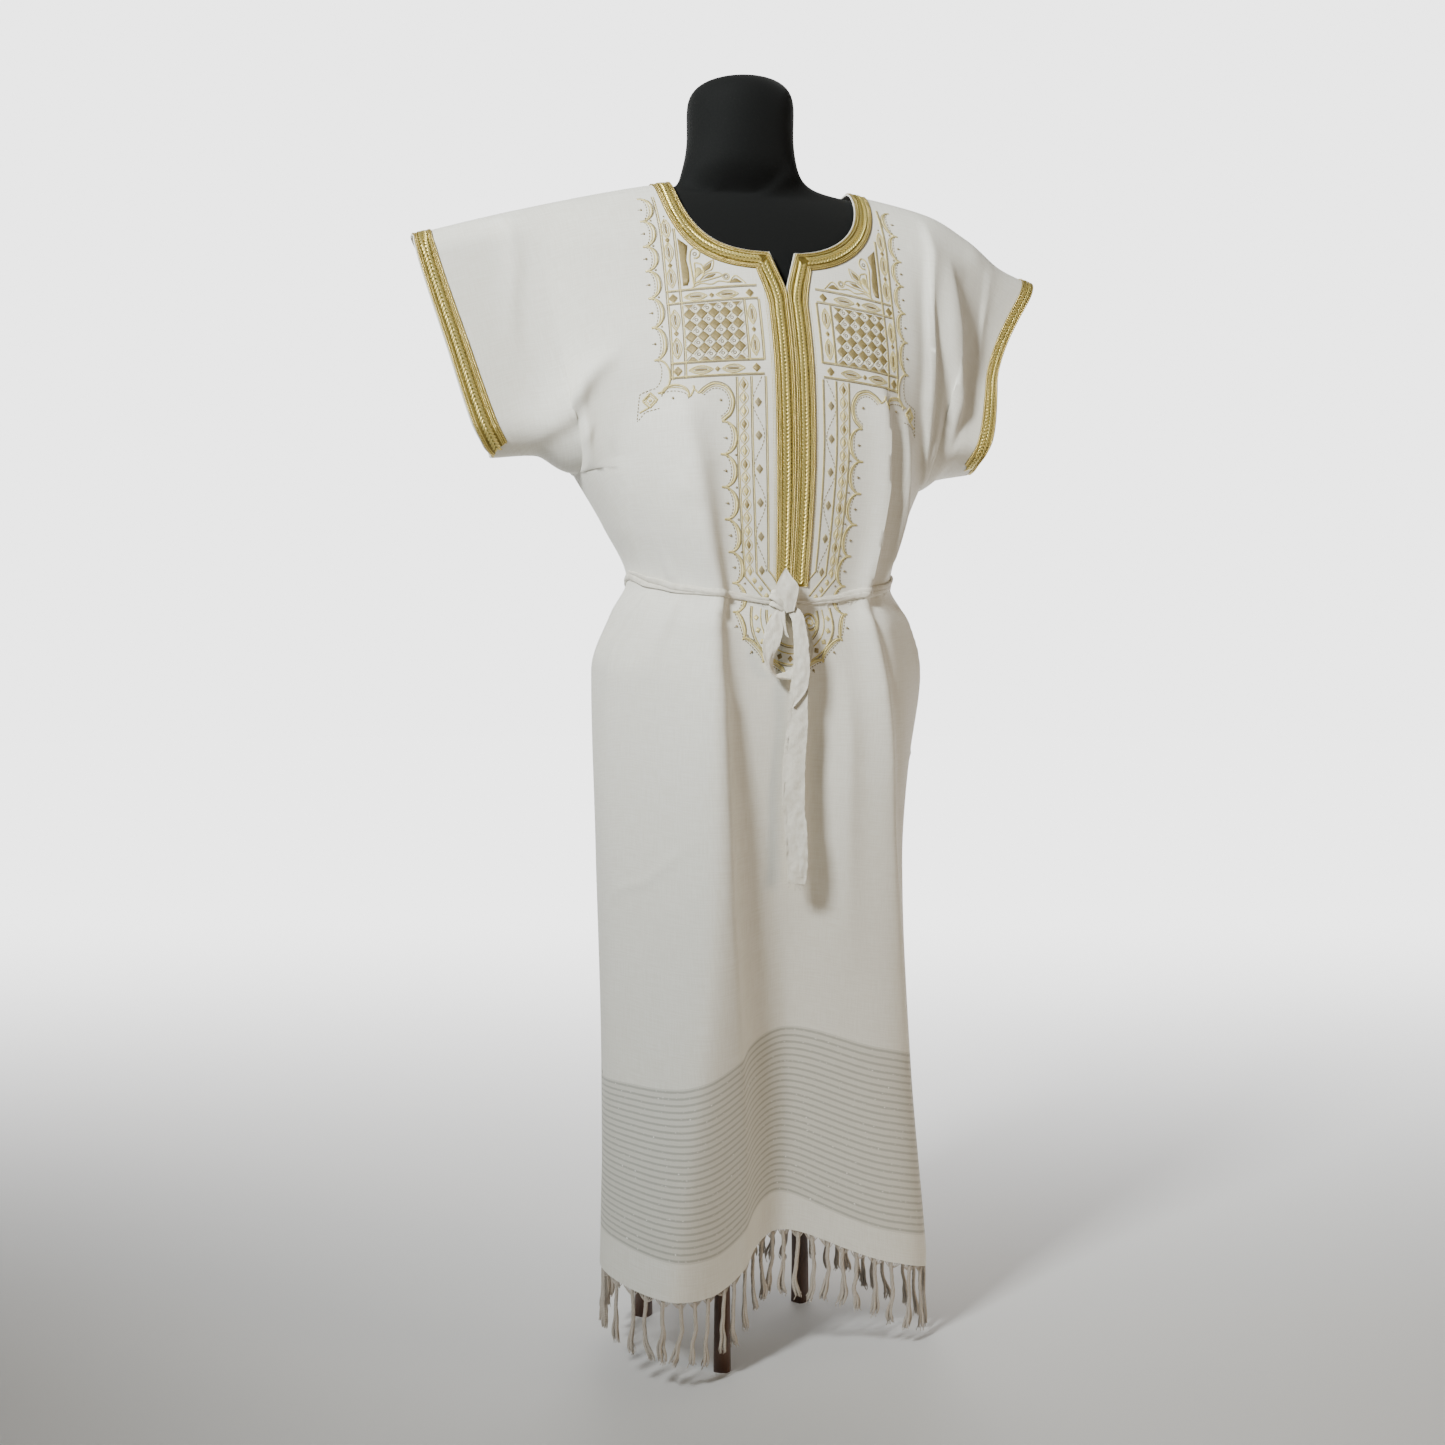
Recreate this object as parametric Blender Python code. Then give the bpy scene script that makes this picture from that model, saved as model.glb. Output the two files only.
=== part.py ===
"""Ankle-length cotton kaftan dress, worn by a limbless dress form on a wooden tripod.

Metres. +Z is up, the front faces -Y and the viewer's right is +X. The floor is Z = 0.
The dress is a kimono cut: a front and a back panel, each with both half sleeves. Their
cloth is drawn flat and hung by the functions below. A place on the cloth is given by two
numbers. s runs across, 0 at the middle, 1 at the side seam and 2 at the cuff. t runs
down, 0 at the shoulder fold, 1 at the armpit and 2 at the hem. f is forward, so y = -f.
"""
import math

import bpy
import numpy as np
from mathutils import Vector
from mathutils.bvhtree import BVHTree
from mathutils.geometry import delaunay_2d_cdt

for old in list(bpy.data.objects):
    bpy.data.objects.remove(old, do_unlink=True)

# Sizes of the cut, flat
HALF_WIDTH = 0.260      # middle to side seam
SLEEVE = 0.115          # side seam to cuff along the shoulder fold
SLEEVE_UNDER = 0.085    # armpit to cuff along the seam
ARMHOLE_DROP = [(0.0, 0.330), (0.7, 0.325), (1.0, 0.295), (2.0, 0.240)]  # s, shoulder fold to t = 1
LENGTH = 1.170          # shoulder fold to hem
CLOTH = 0.0016          # wall
SEAM_GAP = 0.0003
EACH_SIDE = 0.6         # share of the seam gap that each panel gives, with a little to spare
NECK_HALF = 0.104
NECK_DROP = 0.0975
NECK_ROUND = 2.6        # how square the neckline's left half hangs, and the right
NECK_ROUND_RIGHT = 2.1
BACK_DROP = 0.028
NOTCH_HALF = 0.0143
NOTCH_DEPTH = 0.0410
BRAID = 0.0200
BRAID_THICK = 0.0012
PLACKET = 0.0225        # one of the two braids beside the opening
PLACKET_END = 0.452     # below the shoulder fold
BELT_ROW = 1.165        # t of the belt's middle
BELT_HALF = 0.0065      # in rows t, 5.5 mm of cloth
BELT_THICK = 0.0020
MIDDLE_F = -0.0145      # the middle of the whole, front to back, comes to y = 0
ROUND_TOP = (0.22, 0.12)    # share of the armhole over which the fold rounds off: body, sleeve
ROUND_LOW = 0.16            # the same at the seam under the sleeve
INTO_SLEEVE = (0.8, 1.1)    # s over which the body's rounding turns to the sleeve's
SLEEVE_SEAM = 0.95          # past this s the folds flatten at the seam under the sleeve
ARMPIT = (0.9, 1.0)         # t over which the folds flatten at the side seam
CLOSING = (0.15, 0.60)      # how closed the armhole is where its rounding takes over from the flat part
FLAT_CLOSING = 0.5          # t at which the flat part starts to close
BRIDGE = (0.86, 1.08)       # rows between which the body's cloth passes the armpit
BRIDGE_SIDE = (0.70, 0.92)  # s over which that passing fades out towards the side seam
ROW_STEP = 0.01             # t between the two rows that give the cloth's run at the bridge's ends
BODY_TURN = (0.75, 1.0)     # t over which the folds come to stand off the body's own plan
FOLD_FADE = 0.05            # a fold that ends above the hem fades out over this height
FOLD_CREST = 1.7            # how round a fold's crest is, 2 is rounder
ABOVE_HEM = 0.2             # a fold whose last station is lower than this runs on to the hem

# The shoulder fold as it lies: s, x, z, f
SHOULDER_LINE = [
    (-2.00, -0.360, 1.1665, -0.004),
    (-1.00, -0.250, 1.2005, 0.000),
    (-0.45, -0.098, 1.2405, 0.000),
    (0.00, 0.019, 1.2600, 0.000),
    (0.45, 0.136, 1.2480, 0.000),
    (0.80, 0.222, 1.2300, 0.008),
    (1.00, 0.262, 1.2110, 0.006),
    (1.50, 0.315, 1.1800, 0.000),
    (2.00, 0.360, 1.1665, -0.004),
]
# The seam under each sleeve: s, x, z, f
UNDERARM = [
    (-2.00, -0.2790, 0.9427, 0.004),
    (-1.50, -0.2320, 0.9470, 0.002),
    (-1.00, -0.1860, 0.9300, 0.000),
    (0.00, 0.0145, 0.9320, 0.000),
    (1.00, 0.1980, 0.9200, 0.000),
    (1.50, 0.2320, 0.9360, 0.002),
    (2.00, 0.2720, 0.9434, 0.006),
]
# Height of the cloth's rows: s, belt, front hem, back hem
ROW_HEIGHTS = [
    (-1.00, 0.824, 0.113, 0.113),
    (-0.43, 0.803, 0.090, 0.100),
    (0.00, 0.793, 0.134, 0.108),
    (0.50, 0.802, 0.092, 0.098),
    (0.80, 0.815, 0.072, 0.088),
    (1.00, 0.826, 0.080, 0.080),
]
# Plan of the body: t, left x, right x, middle x, front f, back f, left seam f, right seam f,
# how square the front is, how square the back is
BODY_PLAN = [
    (1.000, -0.186, 0.198, 0.0145, 0.121, -0.100, 0.000, 0.000, 2.3, 2.3),
    (1.080, -0.153, 0.174, 0.0120, 0.119, -0.098, 0.000, 0.006, 2.3, 2.2),
    (BELT_ROW, -0.126, 0.158, 0.0100, 0.116, -0.098, 0.000, 0.012, 2.2, 2.1),
    (1.210, -0.145, 0.180, 0.0100, 0.121, -0.106, 0.000, 0.010, 2.3, 2.1),
    (1.280, -0.166, 0.193, 0.0100, 0.121, -0.112, 0.000, 0.008, 2.3, 2.1),
    (1.500, -0.165, 0.165, 0.0100, 0.112, -0.116, 0.010, 0.000, 2.4, 1.8),
    (1.750, -0.162, 0.160, 0.0110, 0.100, -0.120, 0.018, -0.010, 2.5, 1.60),
    (2.000, -0.163, 0.170, 0.0120, 0.086, -0.128, 0.024, -0.020, 2.6, 1.50),
]
# How far the cloth stands off the shoulder fold's plane: s, top, chest, bust, armpit
DEPTH_ROWS = (0.0, 0.35, 0.70, 1.0)
FRONT_DEPTH = [
    (-2.00, 0.024, 0.026, 0.027, 0.026),
    (-1.30, 0.028, 0.030, 0.032, 0.032),
    (-1.00, 0.034, 0.040, 0.044, 0.046),
    (-0.80, 0.037, 0.056, 0.068, 0.074),
    (-0.60, 0.036, 0.068, 0.092, 0.102),
    (-0.35, 0.034, 0.076, 0.109, 0.118),
    (0.00, 0.034, 0.077, 0.111, 0.121),
    (0.35, 0.032, 0.074, 0.109, 0.118),
    (0.60, 0.034, 0.066, 0.094, 0.104),
    (0.80, 0.037, 0.056, 0.076, 0.084),
    (1.00, 0.034, 0.042, 0.058, 0.062),
    (1.30, 0.030, 0.036, 0.052, 0.058),
    (2.00, 0.026, 0.032, 0.052, 0.058),
]
BACK_DEPTH = [
    (-2.00, 0.024, 0.026, 0.028, 0.028),
    (-1.00, 0.042, 0.048, 0.046, 0.044),
    (-0.60, 0.062, 0.082, 0.086, 0.086),
    (0.00, 0.072, 0.096, 0.103, 0.100),
    (0.60, 0.062, 0.082, 0.086, 0.086),
    (1.00, 0.042, 0.048, 0.046, 0.044),
    (2.00, 0.024, 0.026, 0.028, 0.028),
]
# Bow of the cuffs' edges: stations t, and how far out the front and the back lie there
CUFF_BOW_LEFT = [
    (0.00, 0.0000, 0.0000),
    (0.06, 0.0060, -0.0060),
    (0.16, 0.0088, -0.0092),
    (0.50, 0.0118, -0.0064),
    (0.85, 0.0150, -0.0034),
    (0.96, 0.0090, -0.0040),
    (1.00, 0.0000, 0.0000),
]
CUFF_BOW_RIGHT = [
    (0.00, -0.0030, -0.0030),
    (0.35, -0.0205, -0.0160),
    (0.50, -0.0230, -0.0178),
    (0.62, -0.0190, -0.0178),
    (0.85, -0.0095, -0.0040),
    (0.95, -0.0090, -0.0020),
    (1.00, -0.0020, 0.0000),
]
# Folds of the front, each down its ridge: x, z, height, left width, right width
FRONT_FOLDS = {
    "left ridge": [
        (-0.097, 0.990, 0.000, 0.030, 0.020),
        (-0.086, 0.900, 0.006, 0.034, 0.018),
        (-0.070, 0.800, 0.010, 0.036, 0.016),
        (-0.070, 0.600, 0.024, 0.050, 0.020),
        (-0.078, 0.400, 0.036, 0.062, 0.032),
        (-0.109, 0.090, 0.060, 0.072, 0.058),
    ],
    "middle hollow": [
        (0.020, 0.760, 0.000, 0.040, 0.040),
        (0.014, 0.400, -0.008, 0.050, 0.050),
        (0.012, 0.100, -0.016, 0.060, 0.060),
    ],
    "right ridge": [
        (0.150, 1.000, 0.000, 0.014, 0.024),
        (0.143, 0.900, 0.007, 0.016, 0.026),
        (0.116, 0.800, 0.008, 0.022, 0.028),
        (0.128, 0.700, 0.010, 0.030, 0.030),
        (0.140, 0.500, 0.016, 0.042, 0.036),
        (0.152, 0.090, 0.047, 0.062, 0.040),
    ],
    "left drag": [
        (-0.157, 1.050, 0.000, 0.022, 0.022),
        (-0.195, 1.010, 0.005, 0.024, 0.024),
        (-0.236, 0.968, 0.004, 0.024, 0.024),
    ],
    "right sleeve hollow": [
        (0.200, 1.180, 0.000, 0.016, 0.016),
        (0.195, 1.060, -0.010, 0.016, 0.018),
        (0.198, 0.960, -0.004, 0.016, 0.018),
    ],
    "right sleeve ridge": [
        (0.226, 1.190, 0.000, 0.016, 0.022),
        (0.226, 1.075, 0.009, 0.016, 0.024),
        (0.230, 0.970, 0.004, 0.016, 0.024),
    ],
}
BACK_FOLDS = {
    "back left": [
        (-0.075, 0.900, 0.000, 0.018, 0.018),
        (-0.092, 0.790, 0.007, 0.022, 0.020),
        (-0.098, 0.500, 0.020, 0.034, 0.034),
        (-0.098, 0.100, 0.026, 0.036, 0.038),
    ],
    "back middle": [
        (-0.010, 0.880, 0.000, 0.020, 0.020),
        (-0.014, 0.790, 0.006, 0.022, 0.022),
        (-0.012, 0.500, 0.020, 0.034, 0.034),
        (-0.008, 0.100, 0.034, 0.040, 0.042),
    ],
    "back right": [
        (0.070, 0.900, 0.000, 0.018, 0.020),
        (0.080, 0.790, 0.007, 0.020, 0.022),
        (0.092, 0.500, 0.021, 0.034, 0.036),
        (0.104, 0.100, 0.031, 0.044, 0.044),
    ],
}
FRONT, BACK = 1.0, -1.0

# Columns and rows of the cloth's mesh
BODY_COLUMNS = np.linspace(-1.0, 1.0, 31)
SLEEVE_COLUMNS = np.array([1.0, 1.25, 1.50, 1.70, 1.84, 2.0])
UPPER_ROWS = np.concatenate(
    [[0, 0.02, 0.055, 0.10, 0.17, 0.25], np.linspace(0.35, 0.85, 5), [0.93, 0.975, 1.0]]
)
LOWER_ROWS = np.concatenate(
    [
        [1.045, 1.10, BELT_ROW - BELT_HALF, BELT_ROW + BELT_HALF, 1.20, 1.24, 1.30, 1.37],
        np.linspace(1.46, 2.0, 5),
    ]
)


def smooth_curve(at, xs, ys):
    """Read a smooth curve through a table's points, without overshoot."""
    xs = np.asarray(xs, float)
    ys = np.asarray(ys, float)
    step = np.diff(xs)
    rise = np.diff(ys) / step
    slope = np.empty_like(ys)
    slope[0], slope[-1] = rise[0], rise[-1]
    before, after = rise[:-1], rise[1:]
    same_way = before * after > 0
    total = np.where(same_way, before + after, 1.0)
    slope[1:-1] = np.where(same_way, 2 * before * after / total, 0.0)
    at = np.clip(at, xs[0], xs[-1])
    i = np.clip(np.searchsorted(xs, at, "right") - 1, 0, len(step) - 1)
    h = step[i]
    u = (at - xs[i]) / h
    return (
        ys[i] * (1 + 2 * u) * (1 - u) ** 2
        + slope[i] * h * u * (1 - u) ** 2
        + ys[i + 1] * u * u * (3 - 2 * u)
        + slope[i + 1] * h * u * u * (u - 1)
    )


def read(table, column, at):
    """Read one named column of a table whose first column is the station."""
    return smooth_curve(at, [row[0] for row in table], [row[column] for row in table])


def ease(a, b, x):
    """0 before a, 1 after b and smooth between."""
    u = np.clip((x - a) / (b - a), 0.0, 1.0)
    return u * u * (3 - 2 * u)


def plan_row(face, t, s):
    """Points of the body's plan at row t, evenly spread along the cloth: x, f, out x, out f."""
    left, right, middle, front, back, seam_l, seam_r, front_square, back_square = [
        float(read(BODY_PLAN, k, t)) for k in range(1, 10)
    ]
    far, square = (front, front_square) if face > 0 else (back, back_square)
    angle = np.linspace(0.0, math.pi / 2, 91)
    x_share = np.sin(angle) ** (2 / square)
    f_share = np.cos(angle) ** (2 / square)
    x, f, out_x, out_f = (np.zeros_like(s) for _ in range(4))
    for side, edge, seam in ((-1, left, seam_l), (1, right, seam_r)):
        curve_x = middle + (edge - middle) * x_share
        curve_f = seam + (far - seam) * f_share
        run = np.concatenate([[0], np.cumsum(np.hypot(np.diff(curve_x), np.diff(curve_f)))])
        here = (s * side > 0) | ((s == 0) & (side > 0))
        share = np.abs(s[here])
        x[here] = np.interp(share, run / run[-1], curve_x)
        f[here] = np.interp(share, run / run[-1], curve_f)
        nx = (x[here] - middle) / (edge - middle) ** 2
        nf = (f[here] - seam) / (far - seam) ** 2
        size = np.hypot(nx, nf)
        out_x[here] = nx / size
        out_f[here] = nf / size
    return x, f, out_x, out_f


def fold_lift(folds, x, z):
    """Height of the folds at a place seen from the front."""
    lift = np.zeros_like(x)
    for path in folds.values():
        rows = sorted(path, key=lambda p: p[1])
        zs = [p[1] for p in rows]
        ridge, height, left, right = (
            smooth_curve(z, zs, [p[k] for p in rows]) for k in (0, 2, 3, 4)
        )
        lean = abs(rows[-1][0] - rows[0][0]) / (zs[-1] - zs[0])
        away = (x - ridge) / math.hypot(1.0, lean)
        width = np.where(away < 0, left, right)
        fade = ease(zs[0] - FOLD_FADE, zs[0], z) if zs[0] > ABOVE_HEM else 1.0
        lift += height * fade * np.exp(-np.abs(away / width) ** FOLD_CREST)
    return lift


def bow(face, s, t):
    """How far a sleeve's edge bows out from the straight line between its corners."""
    which = 1 if face > 0 else 2
    by_side = np.where(s < 0, -read(CUFF_BOW_LEFT, which, t), read(CUFF_BOW_RIGHT, which, t))
    return by_side * ease(1.0, 2.0, np.abs(s))


def drape(face, s, t):
    """Middle of the cloth at columns s of row t of one panel, above and below the armpit's row."""
    depths = FRONT_DEPTH if face > 0 else BACK_DEPTH
    folds = FRONT_FOLDS if face > 0 else BACK_FOLDS
    body_s = np.clip(s, -1.0, 1.0)
    hem = read(ROW_HEIGHTS, 2 if face > 0 else 3, body_s)
    belt = read(ROW_HEIGHTS, 1, body_s)
    arm = read(UNDERARM, 2, s)
    if t > 1.0:
        x, f, out_x, out_f = plan_row(face, t, body_s)
        z = np.interp(t, [1.0, BELT_ROW], [0, 1]) * (belt - arm) + arm
        if t > BELT_ROW:
            z = belt + (hem - belt) * (t - BELT_ROW) / (2.0 - BELT_ROW)
    else:
        plan_x, plan_f, out_x, out_f = plan_row(face, 1.0, body_s)
        arm_x = np.where(np.abs(s) > 1, read(UNDERARM, 1, s), plan_x)
        top_x, top_z, top_f = (read(SHOULDER_LINE, k, s) for k in (1, 2, 3))
        x = top_x + (arm_x - top_x) * t + bow(face, s, t)
        z = top_z + (arm - top_z) * t
        seam = top_f + (read(UNDERARM, 3, s) - top_f) * t
        stations = np.array([read(depths, k, s) for k in (1, 2, 3, 4)])
        depth = np.array([smooth_curve(t, DEPTH_ROWS, column) for column in stations.T])
        round_top = ROUND_TOP[0] + (ROUND_TOP[1] - ROUND_TOP[0]) * ease(*INTO_SLEEVE, np.abs(s))
        top = np.sqrt(1 - np.clip(1 - t / round_top, 0, 1) ** 2)
        low = math.sqrt(1 - min(1.0, max(0.0, 1 - (1 - t) / ROUND_LOW)) ** 2)
        closing = np.clip(np.where(np.abs(s) >= 1, 1.0, 1 - np.abs(plan_f) / stations[3]), 0, 1)
        rounded = ease(*CLOSING, closing)
        closing = closing * ((1 - low) * rounded + ease(FLAT_CLOSING, 1.0, t) * (1 - rounded))
        f = seam + face * depth * top * (1 - closing)
        turn = ease(*BODY_TURN, t)
        out_x = out_x * turn * (np.abs(s) <= 1)
        out_f = face * np.sqrt(1 - out_x ** 2)
    edge = np.where(np.abs(s) <= 1, 1 - np.abs(s) ** 8 * ease(*ARMPIT, t), 1.0)
    if t <= 1.0:
        edge = edge * top * (1 - (np.abs(s) > SLEEVE_SEAM) * (1 - low))
    lift = fold_lift(folds, x, z) * edge
    return np.stack([x + out_x * lift, f + out_f * lift, z], axis=-1)


def hang(face, s, t):
    """Middle of the cloth at columns s of row t of one panel: x, f, z. It passes the armpit smoothly."""
    points = drape(face, s, t)
    if not BRIDGE[0] < t < BRIDGE[1]:
        return points
    ends = []
    for row, way in zip(BRIDGE, (-ROW_STEP, ROW_STEP)):
        place, beyond = drape(face, s, row), drape(face, s, row + way)
        down, down_beyond = (
            np.array([flat_place(column, r)[1] for column in s]) for r in (row, row + way)
        )
        ends.append((place, (beyond - place) / (down_beyond - down)[:, None], down))
    (start, start_run, start_down), (end, end_run, end_down) = ends
    long = (end_down - start_down)[:, None]
    down = np.array([flat_place(column, t)[1] for column in s])
    u = (down - start_down)[:, None] / long
    smooth = (
        start * (1 + 2 * u) * (1 - u) ** 2
        + start_run * long * u * (1 - u) ** 2
        + end * u * u * (3 - 2 * u)
        + end_run * long * u * u * (u - 1)
    )
    share = 1 - ease(*BRIDGE_SIDE, np.abs(s))[:, None]
    return points + (smooth - points) * share


def flat_place(s, t):
    """Where a place of the cloth lies in the flat cut: across, down."""
    a = abs(s)
    drop = float(read(ARMHOLE_DROP, 1, a))
    down = t * drop if t <= 1 else drop + (LENGTH - drop) * (t - 1)
    sleeve = SLEEVE + (SLEEVE_UNDER - SLEEVE) * min(t, 1.0)
    across = HALF_WIDTH * min(a, 1.0) + sleeve * max(a - 1.0, 0.0)
    return math.copysign(across, s), down


class Cloth:
    """One panel's mesh, kept as points, normals, flat places and triangles."""

    def __init__(self, face):
        self.face = face
        self.columns = np.concatenate([-SLEEVE_COLUMNS[:0:-1], BODY_COLUMNS, SLEEVE_COLUMNS[1:]])
        self.rows = np.concatenate([UPPER_ROWS, LOWER_ROWS])
        grid = np.array([hang(face, self.columns, t) for t in self.rows])
        self.points = np.stack([grid[..., 0], MIDDLE_F - grid[..., 1], grid[..., 2]], axis=-1)
        self.flat = np.array([[flat_place(s, t) for s in self.columns] for t in self.rows])
        self.width = len(self.columns)
        in_body = [self.columns[c] > -1.001 and self.columns[c + 1] < 1.001 for c in range(self.width - 1)]
        cells = [
            (r, c)
            for r in range(len(self.rows) - 1)
            for c in range(self.width - 1)
            if self.rows[r + 1] <= 1.0 or in_body[c]
        ]
        self.triangles = []
        for r, c in cells:
            a, b = r * self.width + c, r * self.width + c + 1
            d, e = a + self.width, b + self.width
            # the diagonal leans the same way on both halves
            if self.columns[c] < -1e-6:
                self.triangles += [(a, d, b), (b, d, e)]
            else:
                self.triangles += [(a, d, e), (a, e, b)]
        if face < 0:
            self.triangles = [(a, c, b) for a, b, c in self.triangles]
        self.points = self.points.reshape(-1, 3)
        self.flat = self.flat.reshape(-1, 2)
        self.normals = self.raw_normals()

    def raw_normals(self):
        total = np.zeros_like(self.points)
        corner = self.points[np.array(self.triangles)]
        cross = np.cross(corner[:, 1] - corner[:, 0], corner[:, 2] - corner[:, 0])
        for k in range(3):
            np.add.at(total, np.array(self.triangles)[:, k], cross)
        return total

    def seam_places(self):
        """Grid places on a seam with the other panel, each with its neighbour inside."""
        places = {}
        last_up = len(UPPER_ROWS) - 1
        for c, s in enumerate(self.columns):
            places[(0, c)] = (1, c)
            if abs(s) > 1.001:
                places[(last_up, c)] = (last_up - 1, c)
        for r in range(last_up, len(self.rows)):
            for s in (-1.0, 1.0):
                c = int(np.argmin(np.abs(self.columns - s)))
                step = 1 if s < 0 else -1
                places[(r, c)] = (r, c + step)
        return places


def share_seams(front, back):
    """Give both panels the same normals along their seams, and part their edges."""
    for r, c in front.seam_places():
        k = r * front.width + c
        both = front.normals[k] + back.normals[k]
        front.normals[k] = both
        back.normals[k] = both
    for cloth in (front, back):
        size = np.linalg.norm(cloth.normals, axis=1, keepdims=True)
        cloth.normals = cloth.normals / np.where(size > 0, size, 1)
        cloth.parted = cloth.points.copy()
        for (r, c), (r2, c2) in cloth.seam_places().items():
            k, k2 = r * cloth.width + c, r2 * cloth.width + c2
            inward = cloth.points[k2] - cloth.points[k]
            inward = inward - cloth.normals[k] * np.dot(inward, cloth.normals[k])
            cloth.parted[k] += inward / np.linalg.norm(inward) * SEAM_GAP * EACH_SIDE


def inside(outline, x, y):
    """Whether flat places lie inside an outline."""
    hit = np.zeros(len(x), bool)
    for (x1, y1), (x2, y2) in zip(outline, np.roll(outline, -1, axis=0)):
        crosses = (y1 > y) != (y2 > y)
        slant = (x2 - x1) * (y - y1) / (y2 - y1 if y2 != y1 else 1.0) + x1
        hit ^= crosses & (x < slant)
    return hit


def cut(cloth, outline, keep_inside=True, parted=False):
    """Cut an outline from a panel's own triangles. Gives points, normals and triangles."""
    outline = np.array(outline, float)
    low, high = outline.min(axis=0), outline.max(axis=0)
    tri = np.array(cloth.triangles)
    corner = cloth.flat[tri]
    near = np.all(corner.max(axis=1) >= low - 1e-9, axis=1)
    near &= np.all(corner.min(axis=1) <= high + 1e-9, axis=1)
    chosen = tri[near]
    used = np.unique(chosen)
    index = {int(k): n for n, k in enumerate(used)}
    verts = [Vector(cloth.flat[k]) for k in used] + [Vector(p) for p in outline]
    n0 = len(used)
    edges = {tuple(sorted((index[int(t[i])], index[int(t[i - 1])]))) for t in chosen for i in range(3)}
    edges = sorted(edges) + [(n0 + i, n0 + (i + 1) % len(outline)) for i in range(len(outline))]
    flat_verts, _, faces, origins, _, _ = delaunay_2d_cdt(verts, edges, [], 0, 1e-7)
    places = np.array([tuple(v) for v in flat_verts])
    source = cloth.parted if parted else cloth.points
    base = cloth.flat[chosen]
    a, b, c = base[:, 0], base[:, 1], base[:, 2]
    area = (b[:, 0] - a[:, 0]) * (c[:, 1] - a[:, 1]) - (c[:, 0] - a[:, 0]) * (b[:, 1] - a[:, 1])

    def find(p):
        v = ((b[:, 0] - p[0]) * (c[:, 1] - p[1]) - (c[:, 0] - p[0]) * (b[:, 1] - p[1])) / area
        w = ((c[:, 0] - p[0]) * (a[:, 1] - p[1]) - (a[:, 0] - p[0]) * (c[:, 1] - p[1])) / area
        share = np.stack([v, w, 1 - v - w], axis=1)
        best = int(np.argmax(share.min(axis=1)))
        return best, share[best]

    points, normals = [], []
    for p in places:
        best, share = find(p)
        share = np.clip(share, 0, 1)
        share = share / share.sum()
        points.append(share @ source[chosen[best]])
        normal = share @ cloth.normals[chosen[best]]
        normals.append(normal / np.linalg.norm(normal))
    faces = np.array([tuple(f) for f in faces])
    centre = places[faces].mean(axis=1)
    within = inside(outline, centre[:, 0], centre[:, 1]) == keep_inside
    on_cloth = np.array([find(p)[1].min() > -1e-6 for p in centre])
    faces = faces[within & on_cloth]
    if not keep_inside:
        rest = tri[~near]
        extra = np.unique(rest)
        lookup = {int(k): len(points) + n for n, k in enumerate(extra)}
        for n, made_from in enumerate(origins):
            lookup.update({int(used[k]): n for k in made_from if k < n0})
        points += [source[k] for k in extra]
        normals += [cloth.normals[k] for k in extra]
        faces = np.concatenate([faces, np.array([[lookup[int(k)] for k in t] for t in rest])])
    points, normals = np.array(points), np.array(normals)
    corner = points[faces]
    turn = np.cross(corner[:, 1] - corner[:, 0], corner[:, 2] - corner[:, 0])
    wrong = (turn * normals[faces].mean(axis=1)).sum(axis=1) < 0
    faces[wrong] = faces[wrong][:, ::-1]
    return points, normals, faces


def weld(*pieces):
    """Join cut pieces along the points that they share."""
    points, normals, faces, found = [], [], [], {}
    for p, n, f in pieces:
        new = []
        for q, m in zip(p, n):
            key = tuple(np.round(q / 2e-5).astype(int))
            if key not in found:
                found[key] = len(points)
                points.append(q)
                normals.append(m)
            new.append(found[key])
        faces += [[new[k] for k in t] for t in f if len({new[k] for k in t}) == 3]
    return np.array(points), np.array(normals), np.array(faces)


def wall(name, piece, low, high, material):
    """Make a closed wall from a piece of cloth, from low to high along its normals."""
    points, normals, faces = piece
    used = np.unique(faces)
    index = {int(k): n for n, k in enumerate(used)}
    faces = [[index[int(k)] for k in t] for t in faces]
    count = len(used)
    outer = points[used] + normals[used] * high
    inner = points[used] + normals[used] * low
    uses = {}
    for t in faces:
        for i in range(3):
            uses[(t[i], t[(i + 1) % 3])] = True
    rim = [(a, b) for a, b in uses if (b, a) not in uses]
    polygons = [tuple(t) for t in faces]
    polygons += [tuple(k + count for k in reversed(t)) for t in faces]
    polygons += [(b, a, a + count, b + count) for a, b in rim]
    return solid(name, np.concatenate([outer, inner]), polygons, material)


def solid(name, points, polygons, material):
    """Make one named object from points and faces."""
    mesh = bpy.data.meshes.new(name)
    mesh.from_pydata([tuple(p) for p in points], [], [tuple(int(k) for k in f) for f in polygons])
    mesh.validate()
    mesh.materials.append(material)
    mesh.shade_smooth()
    mesh.set_sharp_from_angle(angle=math.radians(50))
    made = bpy.data.objects.new(name, mesh)
    bpy.context.scene.collection.objects.link(made)
    return made


def finish(name, color, roughness, metallic=0.0):
    """A plain material in the part's colour."""
    material = bpy.data.materials.new(name)
    material.use_nodes = True
    shader = material.node_tree.nodes["Principled BSDF"]
    shader.inputs["Base Color"].default_value = (*color, 1.0)
    shader.inputs["Roughness"].default_value = roughness
    shader.inputs["Metallic"].default_value = metallic
    return material


COTTON = finish("cotton", (0.80, 0.77, 0.71), 0.85)
GOLD = finish("gold_braid", (0.62, 0.48, 0.20), 0.42, 0.6)
TAPE = finish("belt_tape", (0.78, 0.75, 0.70), 0.85)
JERSEY = finish("black_jersey", (0.012, 0.014, 0.016), 0.8)
WOOD = finish("dark_wood", (0.07, 0.035, 0.02), 0.45)


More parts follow.
